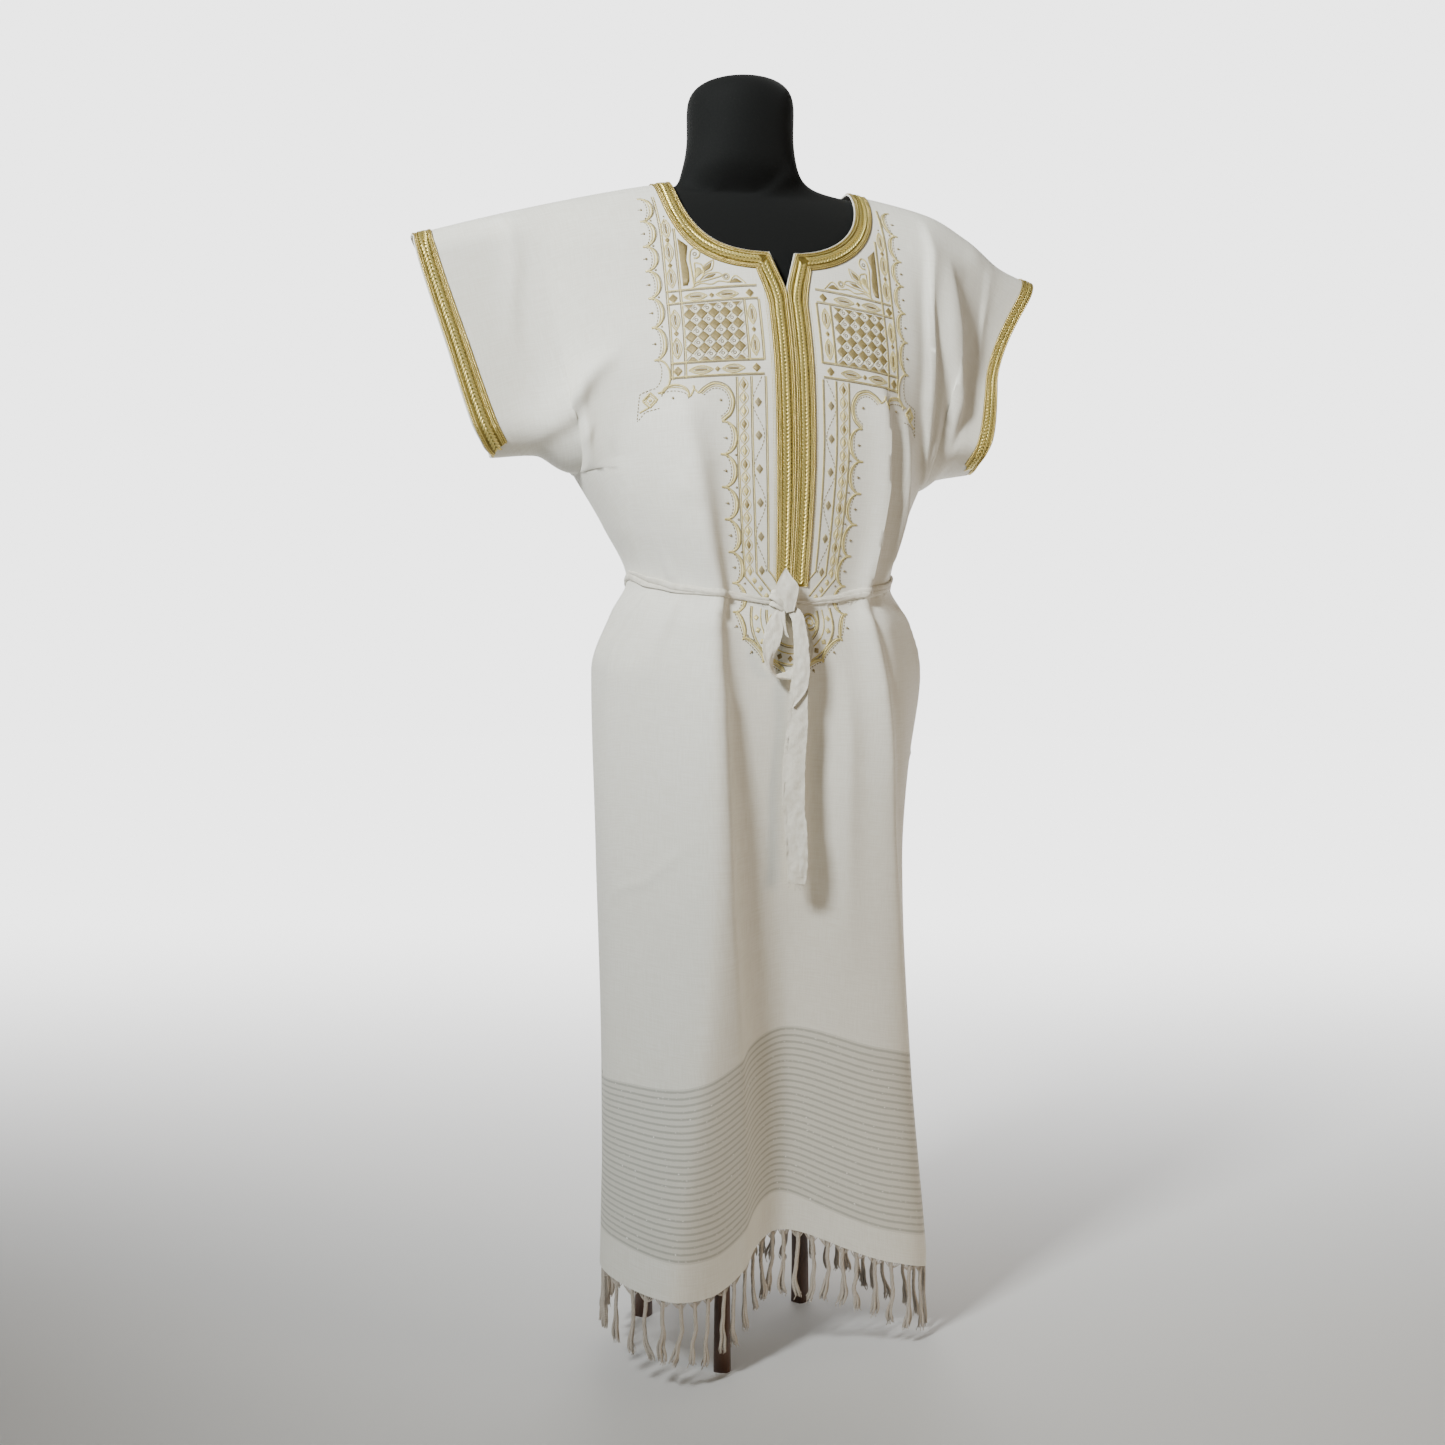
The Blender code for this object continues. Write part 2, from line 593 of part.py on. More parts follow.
def neck_edge(offset, back=False, square=NECK_ROUND, count=13):
    """Half of the neckline in the flat cut, from the shoulder fold to the middle."""
    down = (BACK_DROP if back else NECK_DROP) + offset
    angles = [math.pi / 2 * k / (count - 1) for k in range(count)]
    return [
        ((NECK_HALF + offset) * math.cos(a) ** (2 / square), down * math.sin(a) ** (2 / square))
        for a in angles
    ]


def up_to(points, least):
    """The points of a neckline half that lie further out than a distance from the middle."""
    kept = [p for p in points if p[0] > least]
    a, b = points[len(kept) - 1], points[len(kept)]
    share = (a[0] - least) / (a[0] - b[0])
    return kept + [(least, a[1] + (b[1] - a[1]) * share)]


def mirror(points):
    return [(-x, y) for x, y in points]


front, back = Cloth(FRONT), Cloth(BACK)
share_seams(front, back)

HALF = CLOTH / 2
ABOVE = 0.05            # an outline that crosses the shoulder fold runs on past it
ON_CLOTH = HALF + SEAM_GAP

# Front panel, with the round neck and the notch of the opening
left_edge = mirror(up_to(neck_edge(0.0), NOTCH_HALF))
right_edge = up_to(neck_edge(0.0, square=NECK_ROUND_RIGHT), NOTCH_HALF)
notch = (0.0, right_edge[-1][1] + NOTCH_DEPTH)
neck_front = [(NECK_HALF, -ABOVE)] + right_edge + [notch] + left_edge[::-1] + [(-NECK_HALF, -ABOVE)]
front_piece = cut(front, neck_front, keep_inside=False, parted=True)
wall("front_panel", front_piece, -HALF, HALF, COTTON)

# Back panel
back_edge = neck_edge(0.0, back=True)
neck_back = [(NECK_HALF, -ABOVE)] + back_edge + mirror(back_edge)[-2::-1] + [(-NECK_HALF, -ABOVE)]
back_piece = cut(back, neck_back, keep_inside=False, parted=True)
wall("back_panel", back_piece, -HALF, HALF, COTTON)

# Braid round the neck: two front arms that end in a mitre, joined over the shoulders to the back
MITRE_OUT = NOTCH_HALF + 0.0175
LIP = 0.0008            # the braid starts this far from the cut edge


def neck_arm(square):
    """Inner and outer edge of one front arm of the neck braid."""
    inner = up_to(neck_edge(LIP, square=square), NOTCH_HALF + LIP)
    return inner, up_to(neck_edge(BRAID, square=square), MITRE_OUT)


def arm_shape(inner, outer):
    return [(NECK_HALF + LIP, -ABOVE)] + inner + outer[::-1] + [(NECK_HALF + BRAID, -ABOVE)]


left_arm = neck_arm(NECK_ROUND)
right_arm = neck_arm(NECK_ROUND_RIGHT)
back_inner = neck_edge(LIP, back=True)
back_outer = neck_edge(BRAID, back=True)
yoke = (
    [(NECK_HALF + LIP, -ABOVE)]
    + back_inner
    + mirror(back_inner)[-2::-1]
    + [(-NECK_HALF - LIP, -ABOVE), (-NECK_HALF - BRAID, -ABOVE)]
    + mirror(back_outer)
    + back_outer[-2::-1]
    + [(NECK_HALF + BRAID, -ABOVE)]
)
neck_braid = weld(
    cut(front, arm_shape(*right_arm)),
    cut(front, mirror(arm_shape(*left_arm))),
    cut(back, yoke),
)
wall("neck_braid", neck_braid, ON_CLOTH, ON_CLOTH + BRAID_THICK, GOLD)

# The two braids beside the opening
MITRE_GAP = 0.0005
CENTRE_GAP = 0.0004     # from the middle line to each braid
MITRE_DOWN = 0.012      # the outer corner lies this far below the notch


def placket_shape(inner, outer):
    """One placket braid, from its mitre at the notch down to its end above the belt."""
    return [
        (inner[-1][0], inner[-1][1] + MITRE_GAP),
        (CENTRE_GAP, notch[1] + MITRE_GAP),
        (CENTRE_GAP, PLACKET_END),
        (PLACKET, PLACKET_END),
        (PLACKET, notch[1] + MITRE_DOWN),
        (outer[-1][0] - MITRE_GAP, outer[-1][1] + MITRE_GAP),
    ]


plackets = {
    "placket_braid_right": placket_shape(*right_arm),
    "placket_braid_left": mirror(placket_shape(*left_arm)),
}
for name, shape in plackets.items():
    wall(name, cut(front, shape), ON_CLOTH, ON_CLOTH + BRAID_THICK, GOLD)

# Braid round each cuff, a band as wide as the neck braid beside the sleeve's edge
CUFF_ROWS = (0.0, 0.35, 0.7, 1.0)
PAST_ENDS = 0.04        # the outline runs on past the shoulder fold and the seam
CUFF_LIP = 0.0010


def cuff_edge(inset):
    """Line beside the cuff in the flat cut, from above the shoulder fold to below the seam."""
    points = [flat_place(2.0, row) for row in CUFF_ROWS]
    points = [(across - inset, down) for across, down in points]
    first, last = points[0], points[-1]
    return [(first[0], first[1] - PAST_ENDS)] + points + [(last[0], last[1] + PAST_ENDS)]


cuff = cuff_edge(CUFF_LIP) + cuff_edge(CUFF_LIP + BRAID)[::-1]
for name, shape in (("cuff_braid_right", cuff), ("cuff_braid_left", mirror(cuff))):
    ring = weld(cut(front, shape), cut(back, shape))
    wall(name, ring, ON_CLOTH, ON_CLOTH + BRAID_THICK, GOLD)

# The dress form: smooth, limbless, its right shoulder a little high
FORM_LEAN = 0.040       # rise of the shoulders per metre of x
FORM_SIDES = 24
FORM_X = -0.002
FORM_CLEAR = 0.0005     # the cloth hangs this far off the form where it rests on it
NECK_CLEAR = 0.0025     # and this much further near the neckline
NECK_REACH = (0.105, 0.140)     # from the middle, where that further clearance ends
NECK_BASE = 1.252       # the neck rises above this, free of the cloth
# z, half width, front f, back f, square
FORM_RINGS = [
    (0.6080, 0.146, 0.098, -0.092, 2.2),
    (0.6160, 0.153, 0.105, -0.099, 2.2),
    (0.6700, 0.153, 0.106, -0.100, 2.2),
    (0.7400, 0.138, 0.100, -0.091, 2.2),
    (0.8050, 0.116, 0.094, -0.082, 2.2),
    (0.8600, 0.122, 0.098, -0.084, 2.2),
    (0.9200, 0.140, 0.108, -0.088, 2.2),
    (0.9800, 0.150, 0.113, -0.090, 2.3),
    (1.0400, 0.157, 0.104, -0.091, 2.4),
    (1.1000, 0.168, 0.084, -0.088, 2.5),
    (1.1500, 0.180, 0.068, -0.082, 2.5),
    (1.1850, 0.188, 0.056, -0.072, 2.5),
    (1.2080, 0.188, 0.046, -0.060, 2.4),
    (1.2220, 0.176, 0.040, -0.054, 2.3),
    (1.2340, 0.146, 0.040, -0.053, 2.2),
    (1.2440, 0.092, 0.042, -0.053, 2.1),
    (1.2510, 0.074, 0.044, -0.054, 2.0),
    (1.2610, 0.067, 0.046, -0.055, 2.0),
    (1.2770, 0.062, 0.049, -0.056, 2.0),
    (1.3000, 0.0585, 0.053, -0.057, 2.0),
    (1.3320, 0.0605, 0.057, -0.058, 2.0),
    (1.3480, 0.0560, 0.053, -0.054, 2.0),
    (1.3580, 0.0440, 0.042, -0.043, 2.0),
    (1.3630, 0.0260, 0.025, -0.025, 2.0),
    (1.3640, 0.0110, 0.011, -0.011, 2.0),
]


panels = [
    BVHTree.FromPolygons([tuple(p) for p in cloth.points], cloth.triangles) for cloth in (front, back)
]


def tuck(point):
    """Draw a point of the form in under the cloth, where it would touch it."""
    point = Vector(point)
    if point.z > NECK_BASE:
        return tuple(point)
    near_neck = 1 - float(ease(*NECK_REACH, abs(point.x - FORM_X)))
    least = HALF + FORM_CLEAR + NECK_CLEAR * near_neck
    for _ in range(3):
        for tree in panels:
            near, normal, _, far = tree.find_nearest(point, 0.02)
            if near is None:
                continue
            out = (point - near).dot(normal)
            if abs(out) > 0.8 * far and out > -least:
                point = near - normal * least
    return tuple(point)


def form_ring(z, half, ahead, behind, square):
    """One ring of the dress form."""
    points = []
    for k in range(FORM_SIDES):
        angle = 2 * math.pi * k / FORM_SIDES
        c, d = math.cos(angle), math.sin(angle)
        x = half * math.copysign(abs(c) ** (2 / square), c)
        reach = ahead if d > 0 else -behind
        f = reach * math.copysign(abs(d) ** (2 / square), d)
        lean = FORM_LEAN * x * float(ease(1.05, 1.2, z))
        points.append(tuck((FORM_X + x, MIDDLE_F - f, z + lean)))
    return points


def tube(name, rings, material):
    """Close a run of rings of equal length with a fan at each end."""
    points = [p for ring in rings for p in ring]
    n = len(rings[0])
    polygons = []
    for r in range(len(rings) - 1):
        for k in range(n):
            a, b = r * n + k, r * n + (k + 1) % n
            polygons.append((a, b, b + n, a + n))
    polygons.append(tuple(range(n))[::-1])
    polygons.append(tuple((len(rings) - 1) * n + k for k in range(n)))
    return solid(name, points, polygons, material)


form_rings = [form_ring(*row)[::-1] for row in FORM_RINGS]
tube("form_torso", form_rings, JERSEY)

# The belt: one tape round the waist, made from the cloth's own points
SIDE_RUN = 0.03         # the belt's outline runs on past the side seams


def flat_row(t):
    """Line across one panel in the flat cut at row t."""
    points = [flat_place(float(s), t) for s in BODY_COLUMNS]
    first, last = points[0], points[-1]
    return [(first[0] - SIDE_RUN, first[1])] + points + [(last[0] + SIDE_RUN, last[1])]


belt = flat_row(BELT_ROW - BELT_HALF) + flat_row(BELT_ROW + BELT_HALF)[::-1]
belt_ring = weld(cut(front, belt), cut(back, belt))
wall("belt_band", belt_ring, ON_CLOTH, ON_CLOTH + BELT_THICK, TAPE)


def surface_point(cloth, across, down, off=0.0):
    """A place of the flat cut on the hung cloth, raised off it."""
    tri = np.array(cloth.triangles)
    a, b, c = (cloth.flat[tri[:, k]] for k in range(3))
    area = (b[:, 0] - a[:, 0]) * (c[:, 1] - a[:, 1]) - (c[:, 0] - a[:, 0]) * (b[:, 1] - a[:, 1])
    v = ((b[:, 0] - across) * (c[:, 1] - down) - (c[:, 0] - across) * (b[:, 1] - down)) / area
    w = ((c[:, 0] - across) * (a[:, 1] - down) - (a[:, 0] - across) * (c[:, 1] - down)) / area
    share = np.stack([v, w, 1 - v - w], axis=1)
    best = int(np.argmax(share.min(axis=1)))
    point = share[best] @ cloth.points[tri[best]]
    normal = share[best] @ cloth.normals[tri[best]]
    normal = normal / np.linalg.norm(normal)
    return point + normal * off, normal


def ribbon(name, stations, thick, material):
    """A tape through stations of place, half width across it and its turn about the run.

    A turn of 0 lays the tape flat to the front, 90 shows its edge.
    """
    places = np.array([row[0] for row in stations], float)
    run = np.gradient(places, axis=0)
    run /= np.linalg.norm(run, axis=1, keepdims=True)
    rings = []
    for (_, half, turn), place, ahead in zip(stations, places, run):
        across = np.cross(ahead, (0.0, -1.0, 0.0))
        across /= np.linalg.norm(across)
        up = np.cross(across, ahead)
        angle = math.radians(turn)
        side = across * math.cos(angle) + up * math.sin(angle)
        lift = np.cross(side, ahead)
        corners = ((1, -1), (-1, -1), (-1, 1), (1, 1))
        rings.append([place + side * half * i + lift * thick / 2 * j for i, j in corners])
    return tube(name, rings, material)


def at(x, f, z):
    """A place given as x, forward and height."""
    return (x, MIDDLE_F - f, z)


def lump(name, centre, half, sides, levels, material):
    """A rounded knot of tape."""
    rings = []
    for i in range(1, levels):
        polar = math.pi * i / levels
        rings.append(
            [
                (
                    centre[0] + half[0] * math.sin(polar) * math.cos(2 * math.pi * k / sides),
                    centre[1] + half[1] * math.sin(polar) * math.sin(2 * math.pi * k / sides),
                    centre[2] - half[2] * math.cos(polar),
                )
                for k in range(sides)
            ]
        )
    return tube(name, rings, material)


# The bow: a knot on the belt, one open loop, a short end turned up and a long end
KNOT_HALF = (0.0120, 0.0060, 0.0115)
TAPE_THICK = 0.0014
BELT_DOWN = flat_place(0.0, BELT_ROW)[1]
belt_front, _ = surface_point(front, -0.008, BELT_DOWN, ON_CLOTH + BELT_THICK)
KNOT_AT = (0.0015, belt_front[1] - SEAM_GAP - KNOT_HALF[1], belt_front[2] + 0.0005)
KNOT_F = MIDDLE_F - KNOT_AT[1]
knot_low = KNOT_AT[2] - KNOT_HALF[2]
knot_face = KNOT_F + KNOT_HALF[1]
lump("belt_knot", KNOT_AT, KNOT_HALF, 14, 9, TAPE)

# place, half width, turn
loop = [
    (at(-0.0040, KNOT_F - 0.0005, knot_low - 0.0004), 0.0035, 10),
    (at(-0.0133, KNOT_F + 0.0030, 0.7700), 0.0048, 20),
    (at(-0.0215, KNOT_F + 0.0050, 0.7560), 0.0050, 30),
    (at(-0.0240, KNOT_F + 0.0055, 0.7380), 0.0048, 45),
    (at(-0.0160, KNOT_F + 0.0045, 0.7225), 0.0042, 65),
    (at(0.0010, KNOT_F + 0.0025, 0.7150), 0.0040, 80),
    (at(0.0165, KNOT_F + 0.0010, 0.7225), 0.0040, 80),
    (at(0.0255, KNOT_F + 0.0010, 0.7389), 0.0044, 60),
    (at(0.0262, KNOT_F + 0.0010, 0.7545), 0.0044, 40),
    (at(0.0200, KNOT_F + 0.0005, 0.7690), 0.0038, 20),
    (at(0.0080, KNOT_F - 0.0020, knot_low + 0.0008), 0.0026, 10),
]
ribbon("belt_loop", loop, TAPE_THICK, TAPE)
tail = [
    (at(0.0055, KNOT_F + 0.0040, knot_low + 0.0021), 0.0040, 0),
    (at(0.0090, KNOT_F + 0.0095, 0.7700), 0.0058, 4),
    (at(0.0107, KNOT_F + 0.0115, 0.7440), 0.0062, 6),
    (at(0.0111, KNOT_F + 0.0110, 0.7130), 0.0066, 4),
    (at(0.0105, KNOT_F + 0.0090, 0.6900), 0.0078, 0),
    (at(0.0090, KNOT_F + 0.0060, 0.6440), 0.0092, -6),
    (at(0.0077, KNOT_F + 0.0040, 0.6010), 0.0096, -4),
    (at(0.0096, KNOT_F + 0.0030, 0.5730), 0.0095, 6),
    (at(0.0122, KNOT_F + 0.0020, 0.5290), 0.0092, 14),
    (at(0.0128, KNOT_F + 0.0020, 0.5030), 0.0086, 10),
]
ribbon("belt_tail", tail, TAPE_THICK, TAPE)
flap_f = knot_face + SEAM_GAP + TAPE_THICK / 2
flap = [
    (at(0.0062, flap_f, 0.7860), 0.0020, 0),
    (at(0.0050, flap_f, 0.7930), 0.0072, 0),
    (at(0.0014, flap_f + 0.0008, 0.8030), 0.0092, 0),
    (at(-0.0030, flap_f, 0.8140), 0.0070, 0),
    (at(-0.0066, flap_f - 0.0010, 0.8275), 0.0010, 0),
]
ribbon("belt_end_short", flap, TAPE_THICK, TAPE)

# Fringe: the warp ends of each panel, twisted into strands below the hem
STRIP_DEEP = 0.0050
ROOT_HALF = 0.0021
# share of the length, half width along the hem, half depth through it
STRAND_SHAPE = [(0.45, 0.0023, 0.0020), (1.0, 0.0040, 0.0027)]
FRINGE_LONG = (0.053, 0.063)
SWAY = 0.0036
ROOT_PLACE = (0.35, 0.65)       # where in its cell of the strip a strand starts


def fringe(name, cloth, seed):
    """A strip below the hem with a strand in each of its cells, as one body."""
    chance = np.random.default_rng(seed)
    last = len(cloth.rows) - 1
    index = [last * cloth.width + c for c, s in enumerate(cloth.columns) if abs(s) < 1.001]
    hem = cloth.parted[index]
    down = hem - cloth.points[[k - cloth.width for k in index]]
    down /= np.linalg.norm(down, axis=1, keepdims=True)
    stations = []
    for k in range(len(hem) - 1):
        long = np.linalg.norm(hem[k + 1] - hem[k])
        middle = chance.uniform(*ROOT_PLACE)
        half = ROOT_HALF / long
        for share in (0.0, middle - half, middle + half):
            rows = (hem, cloth.normals[index], down)
            stations.append([a[k] + (a[k + 1] - a[k]) * share for a in rows])
    stations.append([hem[-1], cloth.normals[index[-1]], down[-1]])
    points, polygons = [], []
    for p, n, d in stations:
        n = n / np.linalg.norm(n)
        high, low = p + d * SEAM_GAP, p + d * STRIP_DEEP
        points += [high + n * HALF, high - n * HALF, low + n * HALF, low - n * HALF]
    for i in range(len(stations) - 1):
        a, b = 4 * i, 4 * i + 4
        polygons += [(a, a + 2, b + 2, b), (a + 1, b + 1, b + 3, a + 3), (a, b, b + 1, a + 1)]
        top = [a + 2, a + 3, b + 3, b + 2]
        if i % 3 == 1:
            strand(points, polygons, top, chance)
        else:
            polygons.append(tuple(top))
    end = 4 * (len(stations) - 1)
    polygons += [(0, 1, 3, 2), (end, end + 2, end + 3, end + 1)]
    if cloth.face < 0:
        polygons = [tuple(reversed(f)) for f in polygons]
    return solid(name, points, polygons, COTTON)


def strand(points, polygons, top, chance):
    """Hang one twisted strand of four sides from a cell of the strip."""
    corners = np.array([points[k] for k in top])
    root = corners.mean(axis=0)
    along = (corners[2] + corners[3] - corners[0] - corners[1]) * (1, 1, 0)
    along /= np.linalg.norm(along)
    through = (corners[0] + corners[3] - corners[1] - corners[2]) * (1, 1, 0)
    through -= along * np.dot(through, along)
    through /= np.linalg.norm(through)
    long = chance.uniform(*FRINGE_LONG)
    lean = chance.uniform(-SWAY, SWAY, (len(STRAND_SHAPE), 2))
    for (share, half_a, half_t), (side, out) in zip(STRAND_SHAPE, lean):
        centre = root + along * side * share + through * out * share * 0.6
        centre[2] -= long * share
        ring = []
        for i_a, i_t in ((-1, 1), (-1, -1), (1, -1), (1, 1)):
            points.append(centre + along * half_a * i_a + through * half_t * i_t)
            ring.append(len(points) - 1)
        polygons += [(top[(k + 1) % 4], ring[(k + 1) % 4], ring[k], top[k]) for k in range(4)]
        top = ring
    polygons.append(tuple(top))


fringe("fringe_front", front, 11)
fringe("fringe_back", back, 12)

# The stand: a pole, a hub that slides on it and three bent legs
POLE_AT = (0.000, -0.014)       # x, f
POLE_R = 0.0115
POLE_LOW, HUB_LOW, HUB_HIGH = 0.235, 0.262, 0.316
HUB_R = 0.027
# x, f of each foot
FEET = {
    "stand_leg_front": (-0.0550, 0.086),
    "stand_leg_right": (0.0985, -0.072),
    "stand_leg_left": (-0.0820, -0.094),
}
# share of the leg's reach, height, half size
LEG_SHAPE = [
    (0.0, 0.291, 0.0072),
    (0.22, 0.290, 0.0072),
    (0.46, 0.276, 0.0072),
    (0.68, 0.248, 0.0072),
    (0.84, 0.208, 0.0073),
    (0.94, 0.160, 0.0075),
    (0.985, 0.105, 0.0078),
    (1.0, 0.050, 0.0084),
    (1.0, 0.000, 0.0090),
]
LEG_SIDES = 12
LEG_SQUARE = 0.6        # how square a leg's section is, 1 is round
HUB_CLEAR = 0.0012


def round_ring(x, f, z, radius, sides=20):
    angles = [2 * math.pi * k / sides for k in range(sides)]
    return [at(x + radius * math.cos(a), f - radius * math.sin(a), z) for a in angles]


form_base = FORM_RINGS[0][0]
pole_levels = [(POLE_LOW, POLE_R - 0.002), (POLE_LOW + 0.003, POLE_R), (form_base - SEAM_GAP, POLE_R)]
tube("stand_pole", [round_ring(*POLE_AT, z, r) for z, r in pole_levels], WOOD)


def hub():
    """The turned hub, bored for the pole."""
    bore = POLE_R + SEAM_GAP
    profile = [
        (bore, HUB_LOW), (HUB_R - 0.003, HUB_LOW), (HUB_R, HUB_LOW + 0.003),
        (HUB_R, HUB_HIGH - 0.006), (HUB_R - 0.006, HUB_HIGH), (bore, HUB_HIGH),
    ]
    rings = [round_ring(*POLE_AT, z, r) for r, z in profile]
    n = len(rings[0])
    polygons = []
    for r in range(len(rings)):
        after = (r + 1) % len(rings)
        for k in range(n):
            m = (k + 1) % n
            polygons.append((r * n + k, r * n + m, after * n + m, after * n + k))
    return solid("stand_hub", [p for ring in rings for p in ring], polygons, WOOD)


def leg(name, foot):
    """One leg, bent from the hub's side to a foot that stands upright."""
    away = np.array(foot) - np.array(POLE_AT)
    reach = float(np.linalg.norm(away))
    away /= reach
    start = math.sqrt(HUB_R ** 2 - LEG_SHAPE[0][2] ** 2) + HUB_CLEAR
    places = [np.array((start + (reach - start) * share, z)) for share, z, _ in LEG_SHAPE]
    rings = []
    for i, place in enumerate(places):
        ahead = places[min(i + 1, len(places) - 1)] - places[max(i - 1, 0)]
        if i == 0:
            ahead = np.array((1.0, 0.0))
        if i >= len(places) - 2:
            ahead = np.array((0.0, -1.0))
        ahead = ahead / np.linalg.norm(ahead)
        up = np.array((-ahead[1], ahead[0]))
        half = LEG_SHAPE[i][2]
        ring = []
        for k in range(LEG_SIDES):
            angle = 2 * math.pi * k / LEG_SIDES
            c, d = math.cos(angle), math.sin(angle)
            side = half * math.copysign(abs(c) ** LEG_SQUARE, c)
            lift = -half * math.copysign(abs(d) ** LEG_SQUARE, d)
            r, z = place + up * lift
            ring.append(
                at(
                    POLE_AT[0] + away[0] * r - away[1] * side,
                    POLE_AT[1] + away[1] * r + away[0] * side,
                    max(z, 0.0),
                )
            )
        rings.append(ring)
    return tube(name, rings, WOOD)


hub()
for name, foot in FEET.items():
    leg(name, foot)
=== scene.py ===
import math

import bmesh
import bpy
import numpy as np
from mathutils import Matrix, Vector
from mathutils.geometry import delaunay_2d_cdt


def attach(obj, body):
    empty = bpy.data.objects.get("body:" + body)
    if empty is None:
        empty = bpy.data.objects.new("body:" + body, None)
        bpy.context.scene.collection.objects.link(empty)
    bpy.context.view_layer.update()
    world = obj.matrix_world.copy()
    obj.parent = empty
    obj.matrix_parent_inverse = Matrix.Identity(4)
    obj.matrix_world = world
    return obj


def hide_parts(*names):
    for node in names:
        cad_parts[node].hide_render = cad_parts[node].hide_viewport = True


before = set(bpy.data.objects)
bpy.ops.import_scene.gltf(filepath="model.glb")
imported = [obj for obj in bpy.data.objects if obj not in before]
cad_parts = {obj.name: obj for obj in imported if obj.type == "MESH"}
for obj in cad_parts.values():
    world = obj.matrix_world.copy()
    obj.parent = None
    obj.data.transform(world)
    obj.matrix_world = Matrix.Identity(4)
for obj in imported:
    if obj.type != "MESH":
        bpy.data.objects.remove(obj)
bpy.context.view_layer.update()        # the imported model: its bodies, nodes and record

# The set
# A plain pale floor, soft cool light from the upper left, a warm weaker one from the right. The
# camera stands left of the front, level with the waist. Its numbers are for a square picture.
VIEW_TURN = math.radians(21.0)
VIEW_FAR = 2.0
VIEW_HIGH = 0.744
MIDDLE_Y = -0.0145          # the dress form's middle, front to back
SENSOR = 36.0
FOCUS = 1838.0              # pixels
PICTURE = 1445.0
AXIS = (742.0, 650.0)       # the pixel that the camera looks straight at


def in_scene(name, data):
    """A new object in the scene."""
    made = bpy.data.objects.new(name, data)
    bpy.context.scene.collection.objects.link(made)
    return made


view = bpy.data.cameras.new("camera")
view.sensor_width = SENSOR
view.lens = SENSOR * FOCUS / PICTURE
view.shift_x = 0.5 - AXIS[0] / PICTURE
view.shift_y = AXIS[1] / PICTURE - 0.5
camera = in_scene("camera", view)
camera.location = (
    -VIEW_FAR * math.sin(VIEW_TURN),
    MIDDLE_Y - VIEW_FAR * math.cos(VIEW_TURN),
    VIEW_HIGH,
)
camera.rotation_euler = (math.radians(90.0), 0.0, -VIEW_TURN)
bpy.context.scene.camera = camera


def lamp(name, place, aim, size, spread, power, color):
    """A square soft light that points at a place."""
    light = bpy.data.lights.new(name, "AREA")
    light.shape = "SQUARE"
    light.spread = math.radians(spread)
    light.size = size
    light.energy = power
    light.color = color
    made = in_scene(name, light)
    made.location = place
    made.rotation_euler = (Vector(aim) - Vector(place)).to_track_quat("-Z", "Y").to_euler()


CHEST = (0.0, 0.0, 0.95)
lamp("key_light", (-1.95, -1.45, 2.30), (0.06, -0.05, 1.16), 0.45, 58.0, 18.0, (0.965, 1.0, 0.985))
lamp("fill_light", (1.7, -1.9, 0.7), (0.10, 0.0, 0.40), 0.8, 70.0, 3.2, (1.0, 0.80, 0.56))
lamp("back_light", (1.0, 2.6, 2.3), CHEST, 1.2, 80.0, 4.0, (1.0, 0.98, 0.95))

# The room is dim in front of the dress, bright behind it and overhead
world = bpy.data.worlds.new("pale_room")
world.use_nodes = True
sky = world.node_tree
way = sky.nodes.new("ShaderNodeTexCoord")


def distance_along(tree, place, way):
    """How far a place or a direction reaches one way."""
    new = tree.nodes.new("ShaderNodeVectorMath")
    new.operation = "DOT_PRODUCT"
    new.inputs[1].default_value = way
    tree.links.new(place, new.inputs[0])
    return new.outputs["Value"]


def soft_range(tree, value, start, full, low=0.0, high=1.0):
    """A smooth change from low, up to start, to high, from full on."""
    new = tree.nodes.new("ShaderNodeMapRange")
    new.interpolation_type = "SMOOTHSTEP"
    tree.links.new(value, new.inputs["Value"])
    for label, setting in (("From Min", start), ("From Max", full), ("To Min", low), ("To Max", high)):
        new.inputs[label].default_value = setting
    return new.outputs["Result"]


def glow(toward, start, full, strength):
    """Brightness of the room around one direction."""
    near = distance_along(sky, way.outputs["Generated"], toward)
    return soft_range(sky, near, start, full, 0.0, strength)


WHITE = 3.4             # how bright the room is behind the dress
BEHIND = (math.sin(VIEW_TURN), math.cos(VIEW_TURN), 0.0)
behind = glow(BEHIND, 0.78, 0.87, WHITE)
overhead = glow((0.0, 0.0, 1.0), 0.45, 1.0, 0.22)
both = sky.nodes.new("ShaderNodeMath")
both.operation = "ADD"
sky.links.new(behind, both.inputs[0])
sky.links.new(overhead, both.inputs[1])
total = sky.nodes.new("ShaderNodeMath")
total.operation = "ADD"
total.inputs[1].default_value = 0.03
sky.links.new(both.outputs[0], total.inputs[0])
tint = sky.nodes.new("ShaderNodeMix")
tint.data_type = "RGBA"
tint.inputs["A"].default_value = (1.0, 0.93, 0.80, 1.0)
tint.inputs["B"].default_value = (1.0, 1.0, 1.0, 1.0)
sky.links.new(behind, tint.inputs["Factor"])
sky.links.new(tint.outputs["Result"], sky.nodes["Background"].inputs["Color"])
sky.links.new(total.outputs[0], sky.nodes["Background"].inputs["Strength"])
bpy.context.scene.world = world


